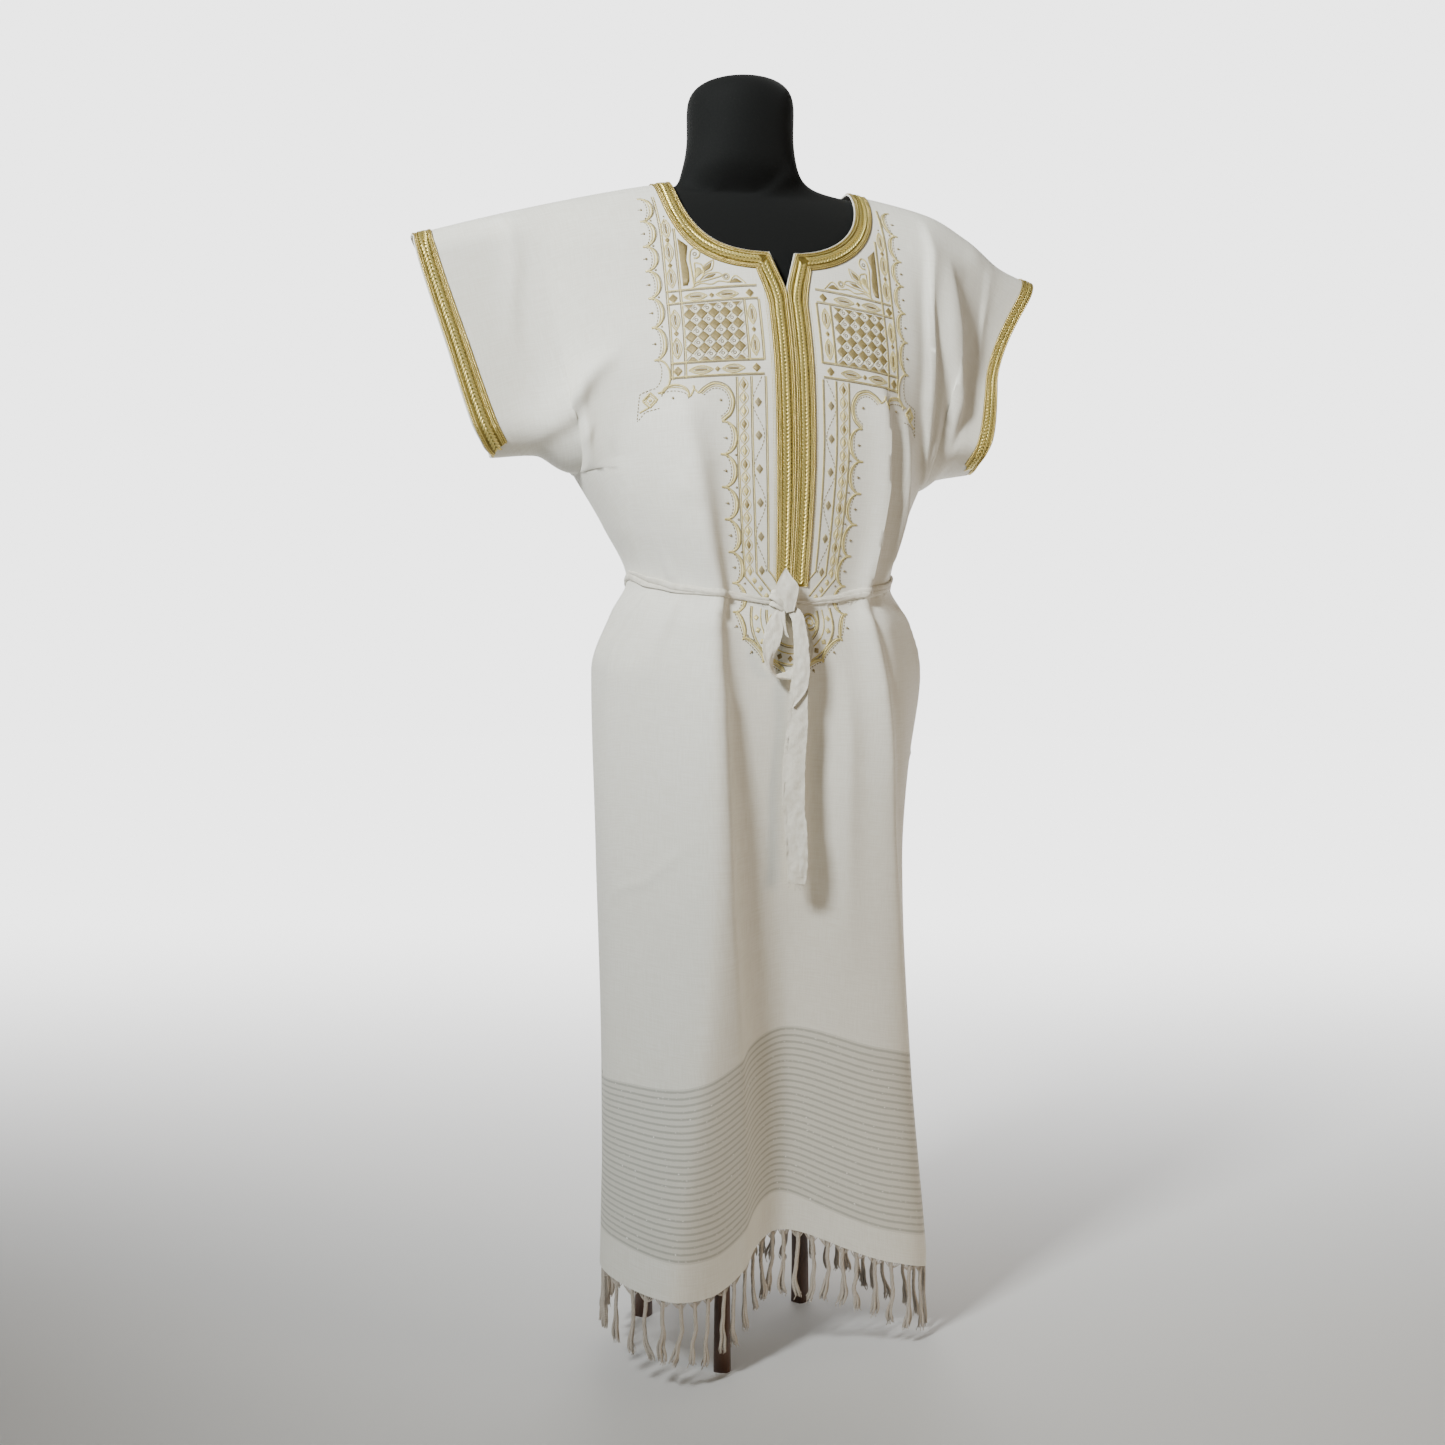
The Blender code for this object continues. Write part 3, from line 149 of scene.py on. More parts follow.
def plain(name, color, roughness):
    """A new material with its Principled shader."""
    made = bpy.data.materials.new(name)
    made.use_nodes = True
    shader = made.node_tree.nodes["Principled BSDF"]
    shader.inputs["Base Color"].default_value = (*color, 1.0)
    shader.inputs["Roughness"].default_value = roughness
    return made, shader


def node(tree, kind, **sockets):
    """A node of a material or group, with some of its input values."""
    new = tree.nodes.new(kind)
    for label, value in sockets.items():
        new.inputs[label.replace("_", " ")].default_value = value
    return new


def noise(tree, place, scale, detail):
    """A noise at a place, 0 to 1."""
    new = node(tree, "ShaderNodeTexNoise", Scale=scale, Detail=detail)
    tree.links.new(place, new.inputs["Vector"])
    return new.outputs["Fac"]


def grouped(tree, shared, **sockets):
    """A node that holds a shared group, with some of its input values."""
    new = tree.nodes.new("ShaderNodeGroup")
    new.node_tree = shared
    for label, value in sockets.items():
        new.inputs[label].default_value = value
    return new


FLOOR_RADIUS = 14.0
floor_mesh = bpy.data.meshes.new("floor")
rim = [2 * math.pi * k / 96 for k in range(96)]
rim_points = [(FLOOR_RADIUS * math.cos(a), FLOOR_RADIUS * math.sin(a), 0.0) for a in rim]
floor_mesh.from_pydata(rim_points, [], [tuple(range(len(rim)))])
floor = in_scene("floor", floor_mesh)
floor_paint, floor_shader = plain("pale_floor", (0.70, 0.70, 0.70), 0.9)
floor_shader.inputs["Specular IOR Level"].default_value = 0.1
paint = floor_paint.node_tree
# Further back the floor glows like the room behind, so that no edge shows between them
FLOOR_FADE = (-0.3, 3.2)        # metres behind the dress
floor_place = paint.nodes.new("ShaderNodeTexCoord")
far = distance_along(paint, floor_place.outputs["Object"], BEHIND)
for low, high, socket in ((0.0, WHITE, "Emission Strength"), (0.72, 0.0, "Base Color")):
    paint.links.new(soft_range(paint, far, *FLOOR_FADE, low, high), floor_shader.inputs[socket])
floor_shader.inputs["Emission Color"].default_value = (1.0, 1.0, 1.0, 1.0)
floor_mesh.materials.append(floor_paint)

# Front and back panel
# Off-white handwoven cotton, one piece each with half of both sleeves, joined along the shoulder
# fold, under the sleeves and down the sides. Fine grey and metallic wefts are woven in above the
# hem. A place on the cloth is s across (1 at the side, 2 at the cuff) and t down (1 at the armpit,
# 2 at the hem), or in the flat cut metres across and down. f is forward, y = MIDDLE_Y - f.
HALF_WIDTH = 0.260
SLEEVE = 0.115
SLEEVE_UNDER = 0.085
ARMHOLE_DROP = [(0.0, 0.330), (0.7, 0.325), (1.0, 0.295), (2.0, 0.240)]  # s, shoulder fold to t = 1
LENGTH = 1.170
CLOTH = 0.0016
BELT_ROW = 1.165
# s, x, z, f of the shoulder fold
SHOULDER_LINE = [
    (-2.00, -0.360, 1.1665, -0.004),
    (-1.00, -0.250, 1.2005, 0.000),
    (-0.45, -0.098, 1.2405, 0.000),
    (0.00, 0.019, 1.2600, 0.000),
    (0.45, 0.136, 1.2480, 0.000),
    (0.80, 0.222, 1.2300, 0.008),
    (1.00, 0.262, 1.2110, 0.006),
    (1.50, 0.315, 1.1800, 0.000),
    (2.00, 0.360, 1.1665, -0.004),
]
# s, x, z, f of the seam under each sleeve
UNDERARM = [
    (-2.00, -0.2790, 0.9427, 0.004),
    (-1.50, -0.2320, 0.9470, 0.002),
    (-1.00, -0.1860, 0.9300, 0.000),
    (0.00, 0.0145, 0.9320, 0.000),
    (1.00, 0.1980, 0.9200, 0.000),
    (1.50, 0.2320, 0.9360, 0.002),
    (2.00, 0.2720, 0.9434, 0.006),
]
# s, height at the belt, front hem, back hem
ROW_HEIGHTS = [
    (-1.00, 0.824, 0.113, 0.113),
    (-0.43, 0.803, 0.090, 0.100),
    (0.00, 0.793, 0.134, 0.108),
    (0.50, 0.802, 0.092, 0.098),
    (0.80, 0.815, 0.072, 0.088),
    (1.00, 0.826, 0.080, 0.080),
]
# t, left x, right x, middle x, front f, back f, left seam f, right seam f, front and back squareness
BODY_PLAN = [
    (1.000, -0.186, 0.198, 0.0145, 0.121, -0.100, 0.000, 0.000, 2.3, 2.3),
    (1.080, -0.153, 0.174, 0.0120, 0.119, -0.098, 0.000, 0.006, 2.3, 2.2),
    (BELT_ROW, -0.126, 0.158, 0.0100, 0.116, -0.098, 0.000, 0.012, 2.2, 2.1),
    (1.210, -0.145, 0.180, 0.0100, 0.121, -0.106, 0.000, 0.010, 2.3, 2.1),
    (1.280, -0.166, 0.193, 0.0100, 0.121, -0.112, 0.000, 0.008, 2.3, 2.1),
    (1.500, -0.165, 0.165, 0.0100, 0.112, -0.116, 0.010, 0.000, 2.4, 1.8),
    (1.750, -0.162, 0.160, 0.0110, 0.100, -0.120, 0.018, -0.010, 2.5, 1.60),
    (2.000, -0.163, 0.170, 0.0120, 0.086, -0.128, 0.024, -0.020, 2.6, 1.50),
]
# s, depth off the shoulder fold's plane at the top, chest, bust and armpit
DEPTH_ROWS = (0.0, 0.35, 0.70, 1.0)
FRONT_DEPTH = [
    (-2.00, 0.024, 0.026, 0.027, 0.026),
    (-1.30, 0.028, 0.030, 0.032, 0.032),
    (-1.00, 0.034, 0.040, 0.044, 0.046),
    (-0.80, 0.037, 0.056, 0.068, 0.074),
    (-0.60, 0.036, 0.068, 0.092, 0.102),
    (-0.35, 0.034, 0.076, 0.109, 0.118),
    (0.00, 0.034, 0.077, 0.111, 0.121),
    (0.35, 0.032, 0.074, 0.109, 0.118),
    (0.60, 0.034, 0.066, 0.094, 0.104),
    (0.80, 0.037, 0.056, 0.076, 0.084),
    (1.00, 0.034, 0.042, 0.058, 0.062),
    (1.30, 0.030, 0.036, 0.052, 0.058),
    (2.00, 0.026, 0.032, 0.052, 0.058),
]
BACK_DEPTH = [
    (-2.00, 0.024, 0.026, 0.028, 0.028),
    (-1.00, 0.042, 0.048, 0.046, 0.044),
    (-0.60, 0.062, 0.082, 0.086, 0.086),
    (0.00, 0.072, 0.096, 0.103, 0.100),
    (0.60, 0.062, 0.082, 0.086, 0.086),
    (1.00, 0.042, 0.048, 0.046, 0.044),
    (2.00, 0.024, 0.026, 0.028, 0.028),
]
# Bow of the cuffs' edges: stations t, then how far out the front and the back lie there
CUFF_BOW_LEFT = [
    (0.00, 0.0000, 0.0000),
    (0.06, 0.0060, -0.0060),
    (0.16, 0.0088, -0.0092),
    (0.50, 0.0118, -0.0064),
    (0.85, 0.0150, -0.0034),
    (0.96, 0.0090, -0.0040),
    (1.00, 0.0000, 0.0000),
]
CUFF_BOW_RIGHT = [
    (0.00, -0.0030, -0.0030),
    (0.35, -0.0205, -0.0160),
    (0.50, -0.0230, -0.0178),
    (0.62, -0.0190, -0.0178),
    (0.85, -0.0095, -0.0040),
    (0.95, -0.0090, -0.0020),
    (1.00, -0.0020, 0.0000),
]
ROUND_TOP = (0.22, 0.12)
ROUND_LOW = 0.16
# The large folds, down each ridge: x, z, height, left width, right width
FRONT_FOLDS = {
    "left ridge": [
        (-0.097, 0.990, 0.000, 0.030, 0.020),
        (-0.086, 0.900, 0.006, 0.034, 0.018),
        (-0.070, 0.800, 0.010, 0.036, 0.016),
        (-0.070, 0.600, 0.024, 0.050, 0.020),
        (-0.078, 0.400, 0.036, 0.062, 0.032),
        (-0.109, 0.090, 0.060, 0.072, 0.058),
    ],
    "middle hollow": [
        (0.020, 0.760, 0.000, 0.040, 0.040),
        (0.014, 0.400, -0.008, 0.050, 0.050),
        (0.012, 0.100, -0.016, 0.060, 0.060),
    ],
    "right ridge": [
        (0.150, 1.000, 0.000, 0.014, 0.024),
        (0.143, 0.900, 0.007, 0.016, 0.026),
        (0.116, 0.800, 0.008, 0.022, 0.028),
        (0.128, 0.700, 0.010, 0.030, 0.030),
        (0.140, 0.500, 0.016, 0.042, 0.036),
        (0.152, 0.090, 0.047, 0.062, 0.040),
    ],
    "left drag": [
        (-0.157, 1.050, 0.000, 0.022, 0.022),
        (-0.195, 1.010, 0.005, 0.024, 0.024),
        (-0.236, 0.968, 0.004, 0.024, 0.024),
    ],
    "right sleeve hollow": [
        (0.200, 1.180, 0.000, 0.016, 0.016),
        (0.195, 1.060, -0.010, 0.016, 0.018),
        (0.198, 0.960, -0.004, 0.016, 0.018),
    ],
    "right sleeve ridge": [
        (0.226, 1.190, 0.000, 0.016, 0.022),
        (0.226, 1.075, 0.009, 0.016, 0.024),
        (0.230, 0.970, 0.004, 0.016, 0.024),
    ],
}
BACK_FOLDS = {
    "back left": [
        (-0.075, 0.900, 0.000, 0.018, 0.018),
        (-0.092, 0.790, 0.007, 0.022, 0.020),
        (-0.098, 0.500, 0.020, 0.034, 0.034),
        (-0.098, 0.100, 0.026, 0.036, 0.038),
    ],
    "back middle": [
        (-0.010, 0.880, 0.000, 0.020, 0.020),
        (-0.014, 0.790, 0.006, 0.022, 0.022),
        (-0.012, 0.500, 0.020, 0.034, 0.034),
        (-0.008, 0.100, 0.034, 0.040, 0.042),
    ],
    "back right": [
        (0.070, 0.900, 0.000, 0.018, 0.020),
        (0.080, 0.790, 0.007, 0.020, 0.022),
        (0.092, 0.500, 0.021, 0.034, 0.036),
        (0.104, 0.100, 0.031, 0.044, 0.044),
    ],
}
# Creases of the cloth, in the flat cut: across, down, height, left width, right width
FRONT_CREASES = {
    "pleat from the belt, left": [
        (-0.097, 0.470, 0.0000, 0.014, 0.0040),
        (-0.093, 0.500, 0.0052, 0.018, 0.0050),
        (-0.086, 0.570, 0.0076, 0.026, 0.0066),
        (-0.086, 0.660, 0.0080, 0.034, 0.0080),
        (-0.085, 0.780, 0.0074, 0.038, 0.0110),
        (-0.078, 0.900, 0.0068, 0.040, 0.0150),
        (-0.068, 1.040, 0.0060, 0.042, 0.0190),
        (-0.064, 1.169, 0.0050, 0.042, 0.0220),
    ],
    "pleat from the belt, right": [
        (0.110, 0.475, 0.0020, 0.010, 0.0050),
        (0.104, 0.500, 0.0054, 0.018, 0.0056),
        (0.111, 0.570, 0.0076, 0.028, 0.0070),
        (0.125, 0.660, 0.0080, 0.036, 0.0085),
        (0.139, 0.740, 0.0070, 0.038, 0.0110),
        (0.155, 0.860, 0.0042, 0.040, 0.016),
        (0.168, 1.000, 0.0020, 0.040, 0.024),
        (0.172, 1.169, 0.0006, 0.040, 0.026),
    ],
    "bust fold, right": [
        (0.108, 0.225, 0.0000, 0.016, 0.0050),
        (0.113, 0.262, 0.0046, 0.018, 0.0038),
        (0.118, 0.340, 0.0070, 0.020, 0.0034),
        (0.121, 0.400, 0.0072, 0.020, 0.0034),
        (0.117, 0.455, 0.0056, 0.018, 0.0036),
        (0.111, 0.482, 0.0010, 0.012, 0.0050),
    ],
    "second fold, right": [
        (0.144, 0.240, 0.0000, 0.0045, 0.012),
        (0.147, 0.300, 0.0036, 0.0045, 0.014),
        (0.154, 0.370, 0.0046, 0.0050, 0.014),
        (0.153, 0.420, 0.0036, 0.0055, 0.014),
        (0.142, 0.462, 0.0000, 0.0055, 0.010),
    ],
    "sleeve fold, right": [
        (0.188, 0.010, 0.0000, 0.0060, 0.014),
        (0.190, 0.060, 0.0040, 0.0055, 0.018),
        (0.186, 0.140, 0.0064, 0.0055, 0.022),
        (0.184, 0.230, 0.0062, 0.0060, 0.022),
        (0.200, 0.300, 0.0026, 0.0065, 0.016),
    ],
    "sleeve roll, right": [
        (0.216, 0.050, 0.0000, 0.014, 0.008),
        (0.248, 0.120, 0.0044, 0.022, 0.009),
        (0.272, 0.190, 0.0052, 0.024, 0.009),
        (0.270, 0.250, 0.0000, 0.020, 0.012),
    ],
    "press line by the cuff, right": [
        (0.290, 0.028, 0.0006, 0.004, 0.012),
        (0.300, 0.080, 0.0014, 0.004, 0.012),
        (0.318, 0.130, 0.0000, 0.004, 0.012),
    ],
    "press line, left sleeve": [
        (-0.274, 0.004, 0.0010, 0.010, 0.004),
        (-0.276, 0.060, 0.0018, 0.012, 0.003),
        (-0.290, 0.110, 0.0014, 0.012, 0.004),
        (-0.296, 0.160, 0.0000, 0.012, 0.004),
    ],
    "drag to the armpit, left": [
        (-0.170, 0.186, 0.0000, 0.020, 0.010),
        (-0.196, 0.204, 0.0034, 0.024, 0.009),
        (-0.240, 0.224, 0.0056, 0.028, 0.009),
        (-0.285, 0.244, 0.0032, 0.024, 0.008),
        (-0.308, 0.256, 0.0000, 0.016, 0.008),
    ],
    "drag below it, left": [
        (-0.212, 0.262, 0.0000, 0.012, 0.008),
        (-0.232, 0.268, 0.0016, 0.012, 0.007),
        (-0.262, 0.268, 0.0000, 0.012, 0.008),
    ],
    "hollow beside the bust, left": [
        (-0.184, 0.256, 0.0000, 0.018, 0.018),
        (-0.190, 0.310, -0.0040, 0.018, 0.020),
        (-0.197, 0.390, -0.0026, 0.014, 0.018),
        (-0.204, 0.450, 0.0000, 0.012, 0.014),
    ],
    "pinch beside the scallops, left": [
        (-0.126, 0.330, 0.0000, 0.010, 0.004),
        (-0.117, 0.352, 0.0016, 0.012, 0.004),
        (-0.104, 0.366, 0.0000, 0.010, 0.004),
    ],
    "bust fold, left": [
        (-0.118, 0.246, 0.0000, 0.030, 0.018),
        (-0.115, 0.272, 0.0040, 0.034, 0.017),
        (-0.107, 0.325, 0.0062, 0.036, 0.015),
        (-0.104, 0.380, 0.0066, 0.032, 0.011),
        (-0.101, 0.430, 0.0064, 0.026, 0.0080),
        (-0.096, 0.466, 0.0058, 0.020, 0.0056),
        (-0.095, 0.486, 0.0040, 0.016, 0.0050),
    ],
    "gathers above the belt, left": [
        (-0.168, 0.400, 0.0000, 0.006, 0.006),
        (-0.160, 0.450, 0.0022, 0.007, 0.006),
        (-0.158, 0.470, 0.0000, 0.007, 0.006),
    ],
    "gathers under the belt, left": [
        (-0.150, 0.484, 0.0024, 0.006, 0.006),
        (-0.158, 0.520, 0.0016, 0.008, 0.007),
        (-0.166, 0.560, 0.0000, 0.010, 0.008),
    ],
    "side roll under the belt, left": [
        (-0.196, 0.484, 0.0030, 0.008, 0.007),
        (-0.214, 0.530, 0.0030, 0.012, 0.008),
        (-0.226, 0.580, 0.0012, 0.014, 0.010),
        (-0.228, 0.640, 0.0000, 0.016, 0.012),
    ],
    "side roll under the belt, right": [
        (0.184, 0.486, 0.0020, 0.010, 0.006),
        (0.206, 0.530, 0.0036, 0.014, 0.007),
        (0.222, 0.590, 0.0024, 0.016, 0.009),
        (0.224, 0.670, 0.0000, 0.016, 0.012),
    ],
    "thin crease, skirt": [
        (-0.236, 0.790, 0.0000, 0.0026, 0.0030),
        (-0.205, 0.776, 0.0011, 0.0024, 0.0030),
        (-0.172, 0.764, 0.0014, 0.0022, 0.0034),
        (-0.138, 0.736, 0.0010, 0.0024, 0.0030),
        (-0.106, 0.706, 0.0000, 0.0026, 0.0030),
    ],
    "shadow beside the tie": [
        (0.020, 0.560, 0.0000, 0.012, 0.016),
        (0.026, 0.640, -0.0036, 0.013, 0.018),
        (0.030, 0.730, -0.0026, 0.014, 0.018),
        (0.034, 0.840, 0.0000, 0.014, 0.020),
    ],
    "soft ridge right of the tie": [
        (0.062, 0.510, 0.0000, 0.016, 0.018),
        (0.070, 0.620, 0.0036, 0.018, 0.016),
        (0.080, 0.740, 0.0026, 0.020, 0.020),
        (0.090, 0.880, 0.0000, 0.024, 0.026),
    ],
    "crossing crease by the side, right": [
        (0.196, 0.640, 0.0000, 0.003, 0.004),
        (0.214, 0.634, 0.0012, 0.003, 0.004),
        (0.236, 0.640, 0.0000, 0.003, 0.004),
    ],
}
BACK_CREASES = {
    "pull between the shoulders": [
        (-0.150, 0.120, 0.0000, 0.016, 0.014),
        (-0.060, 0.150, 0.0022, 0.018, 0.014),
        (0.050, 0.152, 0.0022, 0.016, 0.014),
        (0.140, 0.120, 0.0000, 0.016, 0.014),
    ],
    "left sleeve fold": [
        (-0.190, 0.050, 0.0000, 0.012, 0.006),
        (-0.186, 0.150, 0.0040, 0.016, 0.006),
        (-0.196, 0.260, 0.0020, 0.014, 0.007),
        (-0.210, 0.310, 0.0000, 0.014, 0.007),
    ],
    "right sleeve fold": [
        (0.196, 0.060, 0.0000, 0.006, 0.014),
        (0.190, 0.160, 0.0036, 0.006, 0.016),
        (0.200, 0.270, 0.0000, 0.007, 0.014),
    ],
    "pleat under the belt, left": [
        (-0.120, 0.440, 0.0010, 0.008, 0.006),
        (-0.118, 0.490, 0.0040, 0.012, 0.006),
        (-0.124, 0.620, 0.0030, 0.016, 0.008),
        (-0.128, 0.780, 0.0000, 0.020, 0.012),
    ],
    "pleat under the belt, middle": [
        (-0.020, 0.450, 0.0010, 0.006, 0.008),
        (-0.024, 0.492, 0.0036, 0.006, 0.012),
        (-0.022, 0.600, 0.0024, 0.008, 0.016),
        (-0.020, 0.720, 0.0000, 0.012, 0.020),
    ],
    "pleat under the belt, right": [
        (0.110, 0.445, 0.0010, 0.008, 0.006),
        (0.114, 0.490, 0.0040, 0.012, 0.006),
        (0.122, 0.640, 0.0028, 0.016, 0.008),
        (0.128, 0.800, 0.0000, 0.020, 0.012),
    ],
    "small gather, left": [
        (-0.066, 0.484, 0.0024, 0.005, 0.005),
        (-0.064, 0.530, 0.0014, 0.007, 0.007),
        (-0.062, 0.570, 0.0000, 0.009, 0.009),
    ],
    "small gather, right": [
        (0.056, 0.484, 0.0024, 0.005, 0.005),
        (0.054, 0.540, 0.0014, 0.007, 0.007),
        (0.052, 0.590, 0.0000, 0.009, 0.009),
    ],
    "sitting crease": [
        (-0.080, 0.700, 0.0000, 0.0030, 0.0030),
        (-0.020, 0.712, 0.0012, 0.0030, 0.0030),
        (0.060, 0.700, 0.0000, 0.0030, 0.0030),
    ],
}
FRONT, BACK = 1.0, -1.0
BRIDGE = (0.86, 1.08)       # rows between which the cloth passes the armpit
CREASES_RAISED = 1.7        # the creases stand this much higher than in their tables


def cubic(u, start, slope, end, end_slope):
    """Between two values with the slopes there, at a share of the way."""
    return (
        start * (1 + 2 * u) * (1 - u) ** 2
        + slope * u * (1 - u) ** 2
        + end * u * u * (3 - 2 * u)
        + end_slope * u * u * (u - 1)
    )


def smooth_curve(at, xs, ys):
    """Read a smooth curve through a table's points, without overshoot."""
    xs = np.asarray(xs, float)
    ys = np.asarray(ys, float)
    step = np.diff(xs)
    rise = np.diff(ys) / step
    slope = np.empty_like(ys)
    slope[0], slope[-1] = rise[0], rise[-1]
    before, after = rise[:-1], rise[1:]
    same_way = before * after > 0
    total = np.where(same_way, before + after, 1.0)
    slope[1:-1] = np.where(same_way, 2 * before * after / total, 0.0)
    at = np.clip(at, xs[0], xs[-1])
    i = np.clip(np.searchsorted(xs, at, "right") - 1, 0, len(step) - 1)
    h = step[i]
    return cubic((at - xs[i]) / h, ys[i], slope[i] * h, ys[i + 1], slope[i + 1] * h)


def read(table, column, at):
    """Read one column of a table whose first column is the station."""
    return smooth_curve(at, [row[0] for row in table], [row[column] for row in table])


def ease(a, b, x):
    """0 before a, 1 after b and smooth between."""
    u = np.clip((x - a) / (b - a), 0.0, 1.0)
    return u * u * (3 - 2 * u)


def unit(vectors):
    """The same directions, each 1 long."""
    return vectors / np.maximum(np.linalg.norm(vectors, axis=-1, keepdims=True), 1e-12)


def plan_row(face, t, s):
    """Points of the body's plan at row t, evenly spread along the cloth: x, f, out x, out f."""
    left, right, middle, front, back, seam_l, seam_r, front_square, back_square = [
        float(read(BODY_PLAN, k, t)) for k in range(1, 10)
    ]
    far, square = (front, front_square) if face > 0 else (back, back_square)
    angle = np.linspace(0.0, math.pi / 2, 91)
    x_share = np.sin(angle) ** (2 / square)
    f_share = np.cos(angle) ** (2 / square)
    x, f, out_x, out_f = (np.zeros_like(s) for _ in range(4))
    for side, edge, seam in ((-1, left, seam_l), (1, right, seam_r)):
        curve_x = middle + (edge - middle) * x_share
        curve_f = seam + (far - seam) * f_share
        run = np.concatenate([[0], np.cumsum(np.hypot(np.diff(curve_x), np.diff(curve_f)))])
        here = (s * side > 0) | ((s == 0) & (side > 0))
        share = np.abs(s[here])
        x[here] = np.interp(share, run / run[-1], curve_x)
        f[here] = np.interp(share, run / run[-1], curve_f)
        nx = (x[here] - middle) / (edge - middle) ** 2
        nf = (f[here] - seam) / (far - seam) ** 2
        size = np.hypot(nx, nf)
        out_x[here] = nx / size
        out_f[here] = nf / size
    return x, f, out_x, out_f


def fold_lift(folds, x, z):
    """Height of the large folds at a place seen from the front."""
    lift = np.zeros_like(x)
    for path in folds.values():
        rows = sorted(path, key=lambda p: p[1])
        zs = [p[1] for p in rows]
        ridge, height, left, right = (smooth_curve(z, zs, [p[k] for p in rows]) for k in (0, 2, 3, 4))
        lean = abs(rows[-1][0] - rows[0][0]) / (zs[-1] - zs[0])
        away = (x - ridge) / math.hypot(1.0, lean)
        width = np.where(away < 0, left, right)
        fade = ease(zs[0] - 0.05, zs[0], z) if zs[0] > 0.2 else 1.0
        lift += height * fade * np.exp(-np.abs(away / width) ** 1.7)
    return lift


def drape(face, s, t):
    """Middle of the cloth at columns s of row t of one panel, above and below the armpit's row."""
    depths = FRONT_DEPTH if face > 0 else BACK_DEPTH
    folds = FRONT_FOLDS if face > 0 else BACK_FOLDS
    body_s = np.clip(s, -1.0, 1.0)
    a = np.abs(s)
    hem = read(ROW_HEIGHTS, 2 if face > 0 else 3, body_s)
    belt = read(ROW_HEIGHTS, 1, body_s)
    arm = read(UNDERARM, 2, s)
    if t > 1.0:
        x, f, out_x, out_f = plan_row(face, t, body_s)
        z = np.interp(t, [1.0, BELT_ROW], [0, 1]) * (belt - arm) + arm
        if t > BELT_ROW:
            z = belt + (hem - belt) * (t - BELT_ROW) / (2.0 - BELT_ROW)
        edge = 1 - np.minimum(a, 1.0) ** 8
    else:
        plan_x, plan_f, out_x, out_f = plan_row(face, 1.0, body_s)
        arm_x = np.where(a > 1, read(UNDERARM, 1, s), plan_x)
        top_x, top_z, top_f = (read(SHOULDER_LINE, k, s) for k in (1, 2, 3))
        which = 1 if face > 0 else 2
        bow = np.where(s < 0, -read(CUFF_BOW_LEFT, which, t), read(CUFF_BOW_RIGHT, which, t))
        x = top_x + (arm_x - top_x) * t + bow * ease(1.0, 2.0, a)
        z = top_z + (arm - top_z) * t
        seam = top_f + (read(UNDERARM, 3, s) - top_f) * t
        stations = np.array([read(depths, k, s) for k in (1, 2, 3, 4)])
        depth = np.array([smooth_curve(t, DEPTH_ROWS, column) for column in stations.T])
        round_top = ROUND_TOP[0] + (ROUND_TOP[1] - ROUND_TOP[0]) * ease(0.8, 1.1, a)
        top = np.sqrt(1 - np.clip(1 - t / round_top, 0, 1) ** 2)
        low = math.sqrt(1 - min(1.0, max(0.0, 1 - (1 - t) / ROUND_LOW)) ** 2)
        closing = np.clip(np.where(a >= 1, 1.0, 1 - np.abs(plan_f) / stations[3]), 0, 1)
        rounded = ease(0.15, 0.60, closing)
        closing = closing * ((1 - low) * rounded + ease(0.5, 1.0, t) * (1 - rounded))
        f = seam + face * depth * top * (1 - closing)
        out_x = out_x * ease(0.75, 1.0, t) * (a <= 1)
        out_f = face * np.sqrt(1 - out_x ** 2)
        edge = np.where(a <= 1, 1 - a ** 8 * ease(0.9, 1.0, t), 1.0)
        edge = edge * top * (1 - (a > 0.95) * (1 - low))
    lift = fold_lift(folds, x, z) * edge
    return np.stack([x + out_x * lift, MIDDLE_Y - (f + out_f * lift), z], axis=-1)


def flat_of(s, t):
    """Where a place of the cloth lies in the flat cut: across, down."""
    a = np.abs(s)
    drop = read(ARMHOLE_DROP, 1, a)
    down = np.where(t <= 1, t * drop, drop + (LENGTH - drop) * (t - 1))
    sleeve = SLEEVE + (SLEEVE_UNDER - SLEEVE) * np.minimum(t, 1.0)
    across = HALF_WIDTH * np.minimum(a, 1.0) + sleeve * np.maximum(a - 1.0, 0.0)
    return np.copysign(across, s), down


def hang(face, s, t):
    """Middle of the cloth at columns s of row t of one panel: x, y, z. It passes the armpit smoothly."""
    points = drape(face, s, t)
    if not BRIDGE[0] < t < BRIDGE[1]:
        return points
    ends = []
    for row, way in zip(BRIDGE, (-0.01, 0.01)):
        place, beyond = drape(face, s, row), drape(face, s, row + way)
        depth, depth_beyond = (flat_of(s, np.full_like(s, r))[1] for r in (row, row + way))
        ends.append((place, (beyond - place) / (depth_beyond - depth)[:, None], depth))
    (p0, m0, d0), (p1, m1, d1) = ends
    long = (d1 - d0)[:, None]
    u = (flat_of(s, np.full_like(s, t))[1] - d0)[:, None] / long
    smooth = cubic(u, p0, m0 * long, p1, m1 * long)
    share = 1 - ease(0.70, 0.92, np.abs(s))[:, None]
    return points + (smooth - points) * share


